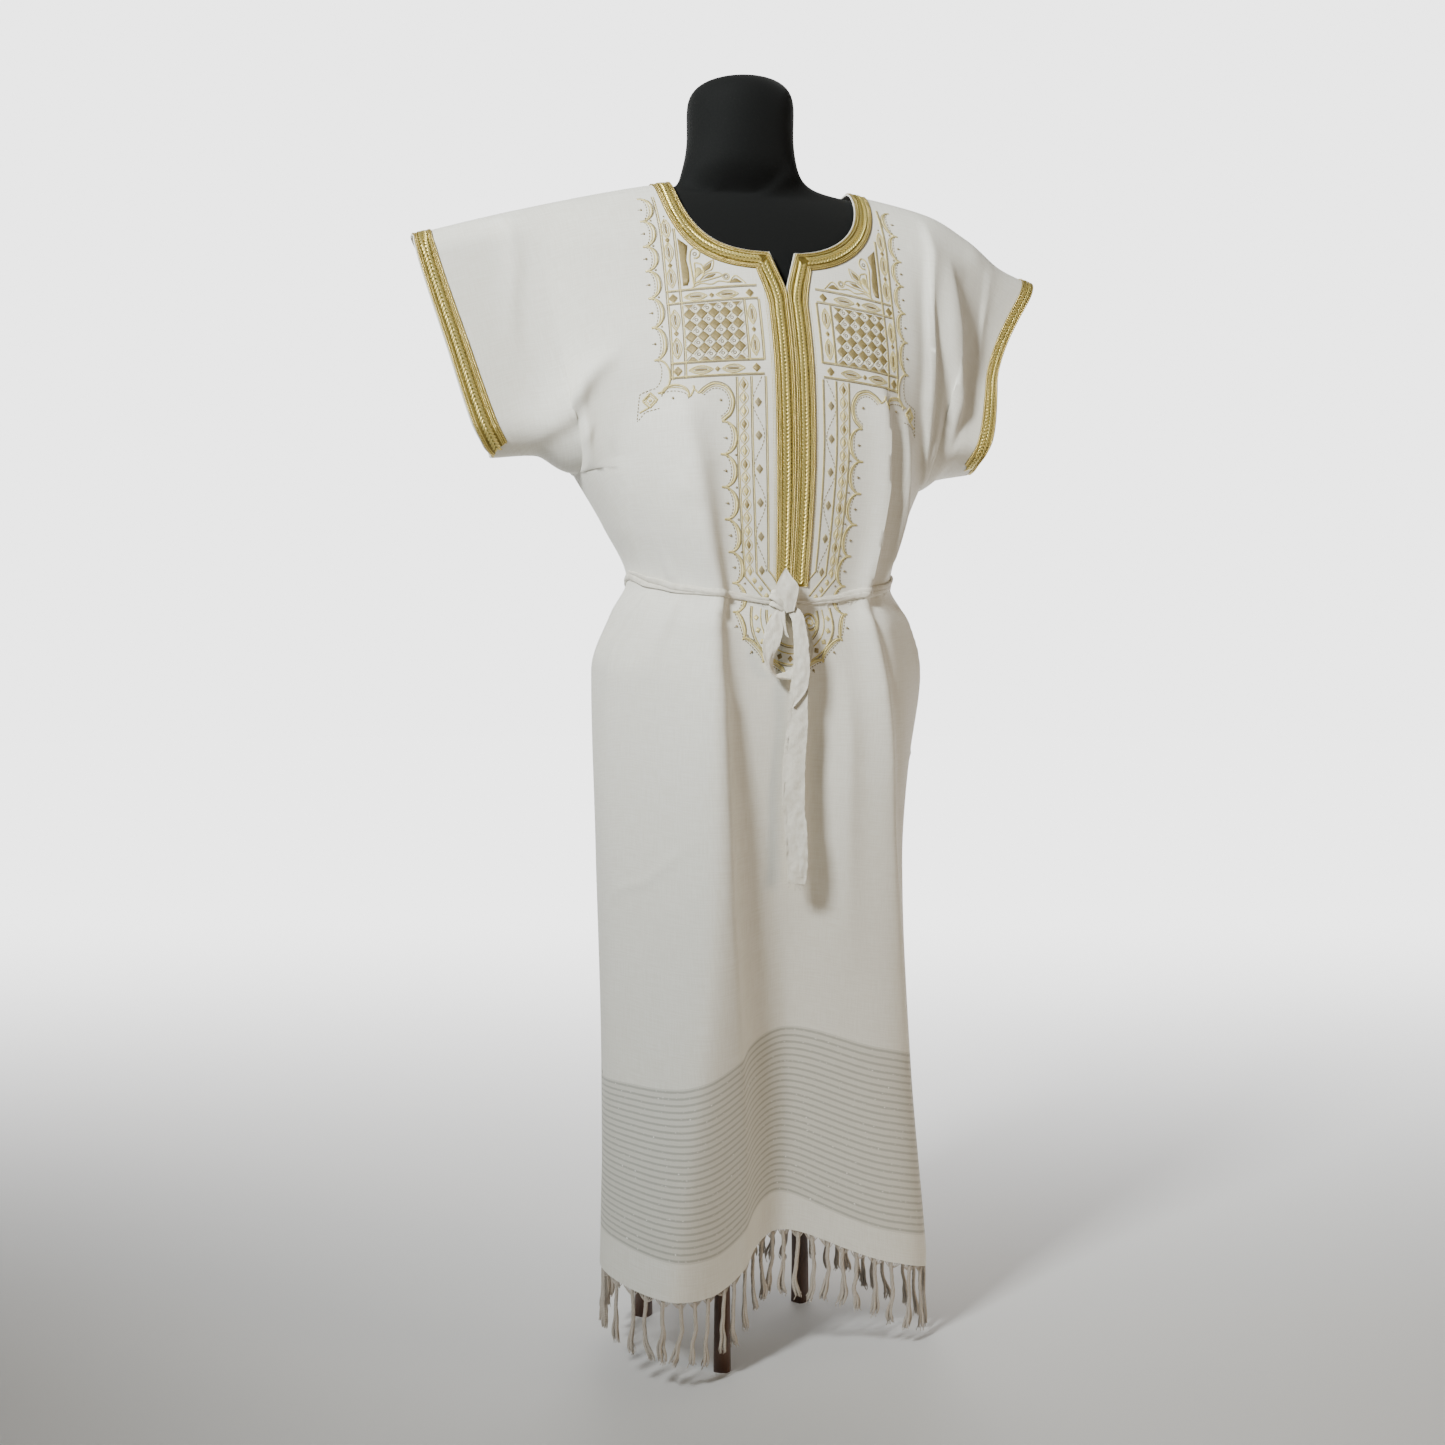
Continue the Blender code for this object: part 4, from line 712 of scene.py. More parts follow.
def rows_of(across, down):
    """The place s, t of a place in the flat cut."""
    a = np.abs(across)
    s = np.minimum(a / HALF_WIDTH, 1.0)
    t = np.zeros_like(a)
    for _ in range(8):
        drop = read(ARMHOLE_DROP, 1, s)
        t = np.where(down <= drop, down / drop, 1 + (down - drop) / (LENGTH - drop))
        sleeve = SLEEVE + (SLEEVE_UNDER - SLEEVE) * np.minimum(t, 1.0)
        s = np.where(a <= HALF_WIDTH, a / HALF_WIDTH, 1 + (a - HALF_WIDTH) / sleeve)
        s = np.minimum(s, 2.0)
    return np.copysign(s, across), t


def crease_lift(creases, across, down):
    """Height of the creases at places of the flat cut."""
    lift = np.zeros_like(across)
    for path in creases.values():
        nearest = np.full_like(across, 9.0)
        here = np.zeros_like(across)
        for (x1, d1, *first), (x2, d2, *last) in zip(path, path[1:]):
            rx, rd = x2 - x1, d2 - d1
            long = math.hypot(rx, rd)
            share = np.clip(((across - x1) * rx + (down - d1) * rd) / long ** 2, 0, 1)
            away = np.hypot(across - x1 - share * rx, down - d1 - share * rd)
            left_side = (rx * (down - d1) - rd * (across - x1)) * (1 if rd >= 0 else -1) > 0
            height, left, right = (p + (q - p) * share for p, q in zip(first, last))
            bump = height * np.exp(-np.abs(away / np.where(left_side, left, right)) ** 1.5)
            here = np.where(away < nearest, bump, here)
            nearest = np.minimum(away, nearest)
        lift += here
    return lift


# The cloth's mesh: rows lie close at the shoulder fold and at the seams under the sleeves
CLOSE = np.linspace(0.0, 1.0, 12) ** 2 * 0.06
ROWS = np.concatenate([
    CLOSE,
    np.linspace(0.06, 0.94, 62)[1:-1],
    1 - CLOSE[::-1],
    np.linspace(1.0, 2.0, 181)[1:],
])
COLUMNS = np.concatenate([
    np.linspace(-2.0, -1.0, 25)[:-1],
    np.linspace(-1.0, 1.0, 133),
    np.linspace(1.0, 2.0, 25)[1:],
])
FOLD_ROW = 0
SEAM_ROW = int(np.argmin(np.abs(ROWS - 1.0)))
LEFT_SEAM, RIGHT_SEAM = (int(np.argmin(np.abs(COLUMNS - s))) for s in (-1.0, 1.0))
row_grid, column_grid = np.meshgrid(ROWS, COLUMNS, indexing="ij")
FLAT = np.stack(flat_of(column_grid, row_grid), axis=-1)


def grid_normals(points, face):
    """Outward directions of a panel's grid."""
    body = slice(LEFT_SEAM, RIGHT_SEAM + 1)
    normals = np.zeros_like(points)
    for rows, columns in ((slice(0, SEAM_ROW + 1), slice(None)), (slice(SEAM_ROW, None), body)):
        part = points[rows, columns]
        turn = np.cross(np.gradient(part, axis=1), np.gradient(part, axis=0))
        normals[rows, columns] += unit(turn)
    return unit(normals * -face)


def share_normals(grids):
    """Give both panels the same outward direction along their seams."""
    lines = [
        (FOLD_ROW, slice(None)),
        (SEAM_ROW, slice(None, LEFT_SEAM + 1)),
        (SEAM_ROW, slice(RIGHT_SEAM, None)),
        (slice(SEAM_ROW, None), LEFT_SEAM),
        (slice(SEAM_ROW, None), RIGHT_SEAM),
    ]
    for line in lines:
        both = unit(grids[FRONT][1][line] + grids[BACK][1][line])
        for _, normals in grids.values():
            normals[line] = both


GRIDS = {}
for face in (FRONT, BACK):
    points = np.array([hang(face, COLUMNS, t) for t in ROWS])
    GRIDS[face] = (points, grid_normals(points, face))
share_normals(GRIDS)
for face, creases in ((FRONT, FRONT_CREASES), (BACK, BACK_CREASES)):
    points, normals = GRIDS[face]
    a = np.abs(column_grid)
    calm = ease(0.0, 0.05, row_grid) * np.where(row_grid <= 1, ease(0.0, 0.03, 1 - row_grid), 1.0)
    calm = np.where(a < 0.9, 1.0, calm) * np.where(row_grid > 1, 1 - np.minimum(a, 1.0) ** 10, 1.0)
    lift = CREASES_RAISED * crease_lift(creases, FLAT[..., 0], FLAT[..., 1]) * calm * ease(0.0, 0.03, row_grid)
    points = points + normals * lift[..., None]
    GRIDS[face] = (points, grid_normals(points, face))
share_normals(GRIDS)


def hung(face, s, t, lift=0.0):
    """Places s, t of the hung cloth, raised off its middle, and their outward directions."""
    s, t = np.asarray(s, float), np.asarray(t, float)
    r = np.clip(np.searchsorted(ROWS, t, "right") - 1, 0, len(ROWS) - 2)
    c = np.clip(np.searchsorted(COLUMNS, s, "right") - 1, 0, len(COLUMNS) - 2)
    v = np.clip((t - ROWS[r]) / (ROWS[r + 1] - ROWS[r]), 0, 1)[..., None]
    u = np.clip((s - COLUMNS[c]) / (COLUMNS[c + 1] - COLUMNS[c]), 0, 1)[..., None]
    found = []
    for grid in GRIDS[face]:
        top = grid[r, c] * (1 - u) + grid[r, c + 1] * u
        low = grid[r + 1, c] * (1 - u) + grid[r + 1, c + 1] * u
        found.append(top * (1 - v) + low * v)
    points, normals = found
    normals = unit(normals)
    return points + normals * np.asarray(lift)[..., None], normals


def on_cloth(across, down, lift=0.0, face=FRONT):
    """Places of the flat cut on the hung cloth. Above the fold, down < 0, they lie on the other panel."""
    across, down = np.asarray(across, float), np.asarray(down, float)
    lift = np.broadcast_to(lift, across.shape)
    s, t = rows_of(across, np.abs(down))
    near, near_out = hung(face, s, t, lift)
    far, far_out = hung(-face, s, t, lift)
    over = (down < 0)[..., None]
    return np.where(over, far, near), np.where(over, far_out, near_out)


def inside(outline, x, y):
    """Whether flat places lie inside an outline."""
    hit = np.zeros(len(x), bool)
    for (x1, y1), (x2, y2) in zip(outline, np.roll(outline, -1, axis=0)):
        crosses = (y1 > y) != (y2 > y)
        hit ^= crosses & (x < (x2 - x1) * (y - y1) / (y2 - y1 if y2 != y1 else 1.0) + x1)
    return hit


def mesh_object(name, points, faces, material):
    """A named mesh object in the scene."""
    mesh = bpy.data.meshes.new(name)
    mesh.from_pydata([tuple(p) for p in points], [], [tuple(int(k) for k in f) for f in faces])
    mesh.validate()
    mesh.shade_smooth()
    if material is not None:
        mesh.materials.append(material)
    return in_scene(name, mesh)


def with_values(made, name, values):
    """Store one number for each point of an object's mesh."""
    layer = made.data.attributes.new(name, "FLOAT", "POINT")
    layer.data.foreach_set("value", np.asarray(values, np.float32))


def closed_wall(points, normals, faces, low, high):
    """Points and faces of a closed wall between two heights off a sheet, used points only."""
    used = np.unique(np.concatenate([np.asarray(f) for f in faces]))
    lookup = {int(k): n for n, k in enumerate(used)}
    faces = [[lookup[int(k)] for k in f] for f in faces]
    count = len(used)
    sides = {(f[i - 1], f[i]) for f in faces for i in range(len(f))}
    rim = sorted((a, b) for a, b in sides if (b, a) not in sides)
    polygons = [tuple(f) for f in faces]
    polygons += [tuple(k + count for k in reversed(f)) for f in faces]
    polygons += [(b, a, a + count, b + count) for a, b in rim]
    both = np.concatenate([points[used] + normals[used] * high, points[used] + normals[used] * low])
    return both, polygons, used


# The neckline in the flat cut
NECK_HALF = 0.104
NECK_DROP = 0.0975
NECK_ROUND = 2.6        # how square the left half hangs, and the right
NECK_ROUND_RIGHT = 2.1
BACK_DROP = 0.028
NOTCH_HALF = 0.0143
NOTCH_DEPTH = 0.0410
ABOVE = 0.05


def neck_edge(offset, back=False, square=NECK_ROUND):
    """Half of the neckline, from the shoulder fold to the middle, at an offset from its edge."""
    down = (BACK_DROP if back else NECK_DROP) + offset
    angle = np.linspace(0, math.pi / 2, 41)
    across = (NECK_HALF + offset) * np.cos(angle).clip(0) ** (2 / square)
    return np.stack([across, down * np.sin(angle) ** (2 / square)], axis=-1)


def up_to(points, least):
    """The points of a neckline half that lie further out than a distance from the middle."""
    kept = [tuple(p) for p in points if p[0] > least]
    a, b = points[len(kept) - 1], points[len(kept)]
    share = (a[0] - least) / (a[0] - b[0])
    return np.array(kept + [(least, a[1] + (b[1] - a[1]) * share)])


def mirrored(points):
    """The same flat places on the other side of the middle."""
    return np.asarray(points) * (-1.0, 1.0)


right_edge = up_to(neck_edge(0.0, square=NECK_ROUND_RIGHT), NOTCH_HALF)
left_edge = mirrored(up_to(neck_edge(0.0), NOTCH_HALF))
notch = (0.0, right_edge[-1][1] + NOTCH_DEPTH)
back_edge = neck_edge(0.0, back=True)
NECKS = {
    FRONT: [(NECK_HALF, -ABOVE), *right_edge, notch, *left_edge[::-1], (-NECK_HALF, -ABOVE)],
    BACK: [(NECK_HALF, -ABOVE), *back_edge, *mirrored(back_edge)[-2::-1], (-NECK_HALF, -ABOVE)],
}


def panel(name, face, material):
    """One panel as a closed wall, with its neckline cut out."""
    neck = np.array(NECKS[face])
    points, normals = GRIDS[face]
    wide = len(COLUMNS)
    reach = np.abs(FLAT[0, :, 0]) < np.abs(neck[:, 0]).max() + 0.006
    c0, c1 = np.nonzero(reach)[0][[0, -1]]
    r1 = int(np.argmax(FLAT[:, c0:c1 + 1, 1].min(axis=1) > neck[:, 1].max() + 0.003))
    faces = []
    for r in range(len(ROWS) - 1):
        for c in range(wide - 1):
            in_body = LEFT_SEAM <= c < RIGHT_SEAM
            in_block = r < r1 and c0 <= c < c1
            if (r < SEAM_ROW or in_body) and not in_block:
                a = r * wide + c
                faces.append([a, a + wide, a + wide + 1, a + 1])
    block = [(r, c) for r in range(r1 + 1) for c in range(c0, c1 + 1)]
    across = c1 - c0 + 1
    number = {rc: n for n, rc in enumerate(block)}
    edges = [(number[r, c], number[r, c + 1]) for r in range(r1 + 1) for c in range(c0, c1)]
    edges += [(number[r, c], number[r + 1, c]) for r in range(r1) for c in range(c0, c1 + 1)]
    first = len(block)
    edges += [(first + i, first + (i + 1) % len(neck)) for i in range(len(neck))]
    verts = [Vector(FLAT[r, c]) for r, c in block] + [Vector(p) for p in neck]
    flat_verts, _, triangles, origins, _, _ = delaunay_2d_cdt(verts, edges, [], 0, 1e-7)
    flat_verts = np.array([tuple(v) for v in flat_verts])
    triangles = np.array([tuple(f) for f in triangles])
    centre = flat_verts[triangles].mean(axis=1)
    border = [FLAT[0, c] for c in range(c0, c1)] + [FLAT[r, c1] for r in range(r1)]
    border += [FLAT[r1, c] for c in range(c1, c0, -1)] + [FLAT[r, c0] for r in range(r1, 0, -1)]
    kept = inside(np.array(border), *centre.T) & ~inside(neck, *centre.T)
    new_points, new_normals = on_cloth(flat_verts[:, 0], np.maximum(flat_verts[:, 1], 0.0), 0.0, face)
    total = points.size // 3
    lookup = []
    for n, made_from in enumerate(origins):
        old = [k for k in made_from if k < first]
        lookup.append(block[old[0]][0] * wide + block[old[0]][1] if old else total + n)
    corners = flat_verts[triangles]
    turn = np.cross(corners[:, 1] - corners[:, 0], corners[:, 2] - corners[:, 0])
    for tri, keep, way in zip(triangles, kept, turn):
        if keep and abs(way) > 1e-12:
            tri = tri if way < 0 else tri[::-1]
            faces.append([lookup[k] for k in tri])
    if face < 0:
        faces = [f[::-1] for f in faces]
    all_points = np.concatenate([points.reshape(-1, 3), new_points])
    all_normals = np.concatenate([normals.reshape(-1, 3), new_normals])
    flat = np.concatenate([FLAT.reshape(-1, 2), flat_verts])
    both, polygons, used = closed_wall(all_points, all_normals, faces, -CLOTH / 2, CLOTH / 2)
    made = mesh_object(name, both, polygons, material)
    made.data.set_sharp_from_angle(angle=math.radians(60))
    cut_map(made, np.concatenate([flat[used], flat[used]]), face)
    return made


# Woven stripes: where the first and the last lie, across and down in the flat cut
FRONT_FIRST = ((-0.250, -0.138, -0.072, 0.009, 0.127, 0.182), (0.978, 0.964, 0.945, 0.941, 0.946, 0.951))
FRONT_LAST = ((-0.244, -0.148, -0.100, -0.018, 0.059, 0.131), (1.127, 1.129, 1.128, 1.122, 1.131, 1.134))
BACK_FIRST = ((-0.25, 0.0, 0.25), (0.976, 0.950, 0.952))
BACK_LAST = ((-0.25, 0.0, 0.25), (1.127, 1.126, 1.131))
STRIPES = 26


def cut_map(made, flat, face):
    """Give a panel its UV map in metres of the cut, and the count of stripes down to each point."""
    uv = made.data.uv_layers.new(name="cut")
    index = np.empty(len(made.data.loops), np.int32)
    made.data.loops.foreach_get("vertex_index", index)
    uv.data.foreach_set("uv", flat[index].astype(np.float32).ravel())
    first, last = (FRONT_FIRST, FRONT_LAST) if face > 0 else (BACK_FIRST, BACK_LAST)
    top = smooth_curve(flat[:, 0], *first)
    low = smooth_curve(flat[:, 0], *last)
    count = (flat[:, 1] - top) / (low - top) * (STRIPES - 1)
    with_values(made, "stripe", count)


def group(name, inputs, outputs):
    """A shader node group with named inputs and outputs."""
    made = bpy.data.node_groups.new(name, "ShaderNodeTree")
    for label, kind, value in inputs:
        socket = made.interface.new_socket(label, in_out="INPUT", socket_type=kind)
        if value is not None:
            socket.default_value = value
    for label, kind in outputs:
        made.interface.new_socket(label, in_out="OUTPUT", socket_type=kind)
    made.nodes.new("NodeGroupInput")
    made.nodes.new("NodeGroupOutput")
    return made


def sum_up(tree, operation, *values):
    """A Math node: numbers are set, sockets are linked. Gives its output."""
    new = tree.nodes.new("ShaderNodeMath")
    new.operation = operation
    for socket, value in zip(new.inputs, values):
        if isinstance(value, (int, float)):
            socket.default_value = value
        else:
            tree.links.new(value, socket)
    return new.outputs[0]


# Plain weave with uneven yarns, for the dress's cotton and the tie cut from the same cloth
weave = group(
    "plain_weave",
    [("Cut", "NodeSocketVector", None), ("Yarn", "NodeSocketFloat", 0.0007)],
    [("Height", "NodeSocketFloat"), ("Slub", "NodeSocketFloat")],
)
weave_in, weave_out = weave.nodes["Group Input"], weave.nodes["Group Output"]
split = weave.nodes.new("ShaderNodeSeparateXYZ")
weave.links.new(weave_in.outputs["Cut"], split.inputs[0])
waves = []
for axis in (0, 1):
    phase = sum_up(weave, "MULTIPLY", split.outputs[axis], math.pi)
    phase = sum_up(weave, "DIVIDE", phase, weave_in.outputs["Yarn"])
    waves.append(sum_up(weave, "SINE", phase))
crossing = sum_up(weave, "MULTIPLY", *waves)
slubs = []
for scale in ((900.0, 45.0, 1.0), (40.0, 800.0, 1.0)):
    stretch = node(weave, "ShaderNodeMapping")
    stretch.inputs["Scale"].default_value = scale
    weave.links.new(weave_in.outputs["Cut"], stretch.inputs["Vector"])
    slubs.append(noise(weave, stretch.outputs[0], 1.0, 2.0))
slub = sum_up(weave, "MULTIPLY", sum_up(weave, "ADD", *slubs), 0.5)
weave.links.new(slub, weave_out.inputs["Slub"])
height = sum_up(weave, "MULTIPLY_ADD", crossing, 0.25, slub)
weave.links.new(height, weave_out.inputs["Height"])


def mix_color(tree, factor, a, b, blend="MIX"):
    """A colour mix; a and b are colours or sockets."""
    new = tree.nodes.new("ShaderNodeMix")
    new.data_type = "RGBA"
    new.blend_type = blend
    if isinstance(factor, (int, float)):
        new.inputs["Factor"].default_value = factor
    else:
        tree.links.new(factor, new.inputs["Factor"])
    for label, value in (("A", a), ("B", b)):
        if isinstance(value, tuple):
            new.inputs[label].default_value = (*value, 1.0)
        else:
            tree.links.new(value, new.inputs[label])
    return new.outputs["Result"]


def bump(tree, shader, height, strength, distance):
    """Feed a height into a shader's normal."""
    new = node(tree, "ShaderNodeBump", Strength=strength, Distance=distance)
    tree.links.new(height, new.inputs["Height"])
    tree.links.new(new.outputs[0], shader.inputs["Normal"])


cotton, cotton_shader = plain("cotton", (0.80, 0.78, 0.71), 0.86)
cotton_shader.inputs["Sheen Weight"].default_value = 0.12
cotton_shader.inputs["Sheen Roughness"].default_value = 0.5
cotton_shader.inputs["Specular IOR Level"].default_value = 0.25
tree = cotton.node_tree
cut_uv = node(tree, "ShaderNodeUVMap")
cut_uv.uv_map = "cut"
cloth_weave = grouped(tree, weave)
tree.links.new(cut_uv.outputs[0], cloth_weave.inputs["Cut"])
cloud = noise(tree, cut_uv.outputs[0], 9.0, 4.0)
stripe = node(tree, "ShaderNodeAttribute")
stripe.attribute_name = "stripe"
ragged = noise(tree, cut_uv.outputs[0], 160.0, 2.0)
wander = sum_up(tree, "MULTIPLY", sum_up(tree, "SUBTRACT", ragged, 0.5), 0.12)
count = sum_up(tree, "ADD", stripe.outputs["Fac"], wander)
from_line = sum_up(tree, "ABSOLUTE", sum_up(tree, "SUBTRACT", count, sum_up(tree, "ROUND", count)))
on_line = sum_up(tree, "SUBTRACT", 1.0, soft_range(tree, from_line, 0.08, 0.26))
in_band = sum_up(
    tree, "MULTIPLY",
    sum_up(tree, "GREATER_THAN", stripe.outputs["Fac"], -0.45),
    sum_up(tree, "LESS_THAN", stripe.outputs["Fac"], STRIPES - 0.55),
)
line_mask = sum_up(tree, "MULTIPLY", on_line, in_band)
# Painted glints: random bright specks on the metallic weft lines
tinsel = noise(tree, cut_uv.outputs[0], 420.0, 1.0)
glint = sum_up(tree, "MULTIPLY", soft_range(tree, tinsel, 0.68, 0.72), line_mask)
base = mix_color(tree, cloud, (0.79, 0.775, 0.70), (0.83, 0.82, 0.76))
base = mix_color(tree, soft_range(tree, cloth_weave.outputs["Slub"], 0.38, 0.62), (0.75, 0.73, 0.655), base)
base = mix_color(tree, sum_up(tree, "MULTIPLY", in_band, 0.60), base, (0.56, 0.55, 0.49))
base = mix_color(tree, sum_up(tree, "MULTIPLY", line_mask, 0.55), base, (0.36, 0.36, 0.325))
base = mix_color(tree, glint, base, (0.95, 0.94, 0.90))
tree.links.new(base, cotton_shader.inputs["Base Color"])
tree.links.new(sum_up(tree, "MULTIPLY", line_mask, 0.3), cotton_shader.inputs["Metallic"])
relief = sum_up(tree, "ADD", cloth_weave.outputs["Height"], sum_up(tree, "MULTIPLY", line_mask, 0.5))
bump(tree, cotton_shader, relief, 0.35, 0.0004)

front_panel = panel("cotton_front", FRONT, cotton)
back_panel = panel("cotton_back", BACK, cotton)
for made, old in ((front_panel, "front_panel"), (back_panel, "back_panel")):
    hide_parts(old)
    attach(made, "root")

# Neck braid
# Gold braid 20 mm wide, woven of metal thread with cords along it and a plait down its middle. It
# is sewn round the neckline, front and back, and mitred where the opening starts.
SEAM_GAP = 0.0003
ON_CLOTH = CLOTH / 2 + SEAM_GAP
BRAID = 0.0200
LIP = 0.0008            # the braid starts this far from the cut edge
MITRE_OUT = NOTCH_HALF + 0.0175
TAPE_TOP = 0.0005       # how thick the woven tape under the cords is
TAPE_UNDER = -0.0002    # and how far it sinks into the cloth


def flow(name, inputs):
    """A Geometry Nodes tree with named inputs: the tree, its inputs and its output."""
    made = bpy.data.node_groups.new(name, "GeometryNodeTree")
    for label, kind, value in [("Geometry", "NodeSocketGeometry", None), *inputs]:
        socket = made.interface.new_socket(label, in_out="INPUT", socket_type=kind)
        if value is not None:
            socket.default_value = value
    made.interface.new_socket("Geometry", in_out="OUTPUT", socket_type="NodeSocketGeometry")
    return made, made.nodes.new("NodeGroupInput").outputs, made.nodes.new("NodeGroupOutput").inputs


def step(tree, kind, links=(), **settings):
    """A node of a Geometry Nodes tree with its links, input values and settings."""
    new = tree.nodes.new(kind)
    for label, value in settings.items():
        if label[0].islower():
            setattr(new, label, value)
        else:
            new.inputs[label.replace("_", " ")].default_value = value
    for label, socket in dict(links).items():
        tree.links.new(socket, new.inputs[label])
    return new


def attribute(tree, name, kind):
    """Read an attribute of the mesh that the tree starts from."""
    return step(tree, "GeometryNodeInputNamedAttribute", data_type=kind, Name=name).outputs["Attribute"]


# Sewn line: each line of the mesh becomes a thread that lies on the cloth
sewn_line, given, result = flow("Sewn line", [
    ("Flatness", "NodeSocketFloat", 1.0),
    ("Sides", "NodeSocketInt", 8),
    ("Material", "NodeSocketMaterial", None),
])
line = step(sewn_line, "GeometryNodeMeshToCurve", {"Mesh": given["Geometry"]})
line = step(sewn_line, "GeometryNodeSetCurveNormal", {
    "Curve": line.outputs[0], "Normal": attribute(sewn_line, "up", "FLOAT_VECTOR"),
}, mode="FREE")
along = step(sewn_line, "GeometryNodeSplineParameter")
line = step(sewn_line, "GeometryNodeStoreNamedAttribute", {
    "Geometry": line.outputs[0], "Value": along.outputs["Length"],
}, data_type="FLOAT", domain="POINT", Name="run")
ring = step(sewn_line, "GeometryNodeCurvePrimitiveCircle", {"Resolution": given["Sides"]}, Radius=1.0)
ring = step(sewn_line, "GeometryNodeStoreNamedAttribute", {
    "Geometry": ring.outputs[0], "Value": step(sewn_line, "GeometryNodeSplineParameter").outputs["Factor"],
}, data_type="FLOAT", domain="POINT", Name="around")
flatten = step(sewn_line, "ShaderNodeCombineXYZ", {"X": given["Flatness"]}, Y=1.0, Z=1.0)
ring = step(sewn_line, "GeometryNodeTransform", {
    "Geometry": ring.outputs[0], "Scale": flatten.outputs[0],
}, Rotation=(0.0, 0.0, math.pi))
tube = step(sewn_line, "GeometryNodeCurveToMesh", {
    "Curve": line.outputs[0], "Profile Curve": ring.outputs[0],
    "Scale": attribute(sewn_line, "half", "FLOAT"),
}, Fill_Caps=True)
tube = step(sewn_line, "GeometryNodeRealizeInstances", {"Geometry": tube.outputs[0]})
tube = step(sewn_line, "GeometryNodeSetMaterial", {
    "Geometry": tube.outputs[0], "Material": given["Material"],
})
sewn_line.links.new(tube.outputs[0], result[0])

# Sewn pieces: a copy of one small piece at each point, turned to lie on the cloth
sewn_pieces, given, result = flow("Sewn pieces", [
    ("Piece", "NodeSocketObject", None),
    ("Material", "NodeSocketMaterial", None),
])
piece = step(sewn_pieces, "GeometryNodeObjectInfo", {"Object": given["Piece"]})
turn = step(sewn_pieces, "FunctionNodeAxesToRotation", {
    "Primary Axis": attribute(sewn_pieces, "up", "FLOAT_VECTOR"),
    "Secondary Axis": attribute(sewn_pieces, "along", "FLOAT_VECTOR"),
}, primary_axis="Z", secondary_axis="X")
copies = step(sewn_pieces, "GeometryNodeInstanceOnPoints", {
    "Points": given["Geometry"], "Instance": piece.outputs["Geometry"],
    "Rotation": turn.outputs[0], "Scale": attribute(sewn_pieces, "size", "FLOAT_VECTOR"),
})
copies = step(sewn_pieces, "GeometryNodeRealizeInstances", {"Geometry": copies.outputs[0]})
copies = step(sewn_pieces, "GeometryNodeSetMaterial", {
    "Geometry": copies.outputs[0], "Material": given["Material"],
})
sewn_pieces.links.new(copies.outputs[0], result[0])


def run_tree(made, tree, **values):
    """Put a tree on an object with its inputs, and keep the evaluated result as a plain mesh."""
    modifier = made.modifiers.new(tree.name, "NODES")
    modifier.node_group = tree
    for item in tree.interface.items_tree:
        if item.in_out == "INPUT" and item.name in values:
            modifier[item.identifier] = values[item.name]
    made.update_tag()
    graph = bpy.context.evaluated_depsgraph_get()
    mesh = bpy.data.meshes.new_from_object(made.evaluated_get(graph))
    made.modifiers.remove(modifier)
    old, made.data = made.data, mesh
    bpy.data.meshes.remove(old)
    mesh.shade_smooth()
    return made


def with_vectors(made, name, vectors):
    """Store one vector for each point of an object's mesh."""
    layer = made.data.attributes.new(name, "FLOAT_VECTOR", "POINT")
    layer.data.foreach_set("vector", np.asarray(vectors, np.float32).ravel())


def swept(name, lines, material, flat=1.0, sides=8, closed=False):
    """Threads along lines. Each line gives its points, the way up there and half its width."""
    points, ups, halves, edges = [], [], [], []
    for line, up, half in lines:
        line = np.asarray(line, float)
        if closed:
            tangent = np.roll(line, -1, axis=0) - np.roll(line, 1, axis=0)
        else:
            tangent = np.gradient(line, axis=0)
        tangent = unit(tangent)
        up = unit(up - tangent * (up * tangent).sum(axis=1, keepdims=True))
        first = sum(len(p) for p in points)
        count = len(line)
        edges += [(first + i, first + i + 1) for i in range(count - 1)]
        if closed:
            edges.append((first + count - 1, first))
        points.append(line)
        ups.append(up)
        halves.append(np.broadcast_to(half, count))
    mesh = bpy.data.meshes.new(name)
    mesh.from_pydata([tuple(p) for p in np.concatenate(points)], edges, [])
    made = in_scene(name, mesh)
    with_vectors(made, "up", np.concatenate(ups))
    with_values(made, "half", np.concatenate(halves))
    return run_tree(made, sewn_line, Flatness=flat, Sides=sides, Material=material)


def placed(name, piece, points, ups, alongs, sizes, material):
    """Copies of a small piece at points of the cloth."""
    mesh = bpy.data.meshes.new(name)
    mesh.from_pydata([tuple(p) for p in points], [], [])
    made = in_scene(name, mesh)
    with_vectors(made, "up", ups)
    with_vectors(made, "along", alongs)
    with_vectors(made, "size", sizes)
    return run_tree(made, sewn_pieces, Piece=piece, Material=material)


def joined(name, parts):
    """Join parts into one object."""
    with bpy.context.temp_override(active_object=parts[0], selected_editable_objects=parts):
        bpy.ops.object.join()
    parts[0].name = name
    return parts[0]


def run_along(points):
    """Length along a line up to each of its points."""
    return np.concatenate([[0.0], np.cumsum(np.linalg.norm(np.diff(points, axis=0), axis=1))])


def resampled(line, pitch=None, count=None):
    """The same line with its points evenly spread."""
    line = np.asarray(line, float)
    run = run_along(line)
    count = count or max(2, int(round(run[-1] / pitch)) + 1)
    at = np.linspace(0.0, run[-1], count)
    return np.stack([np.interp(at, run, line[:, k]) for k in range(line.shape[1])], axis=-1)
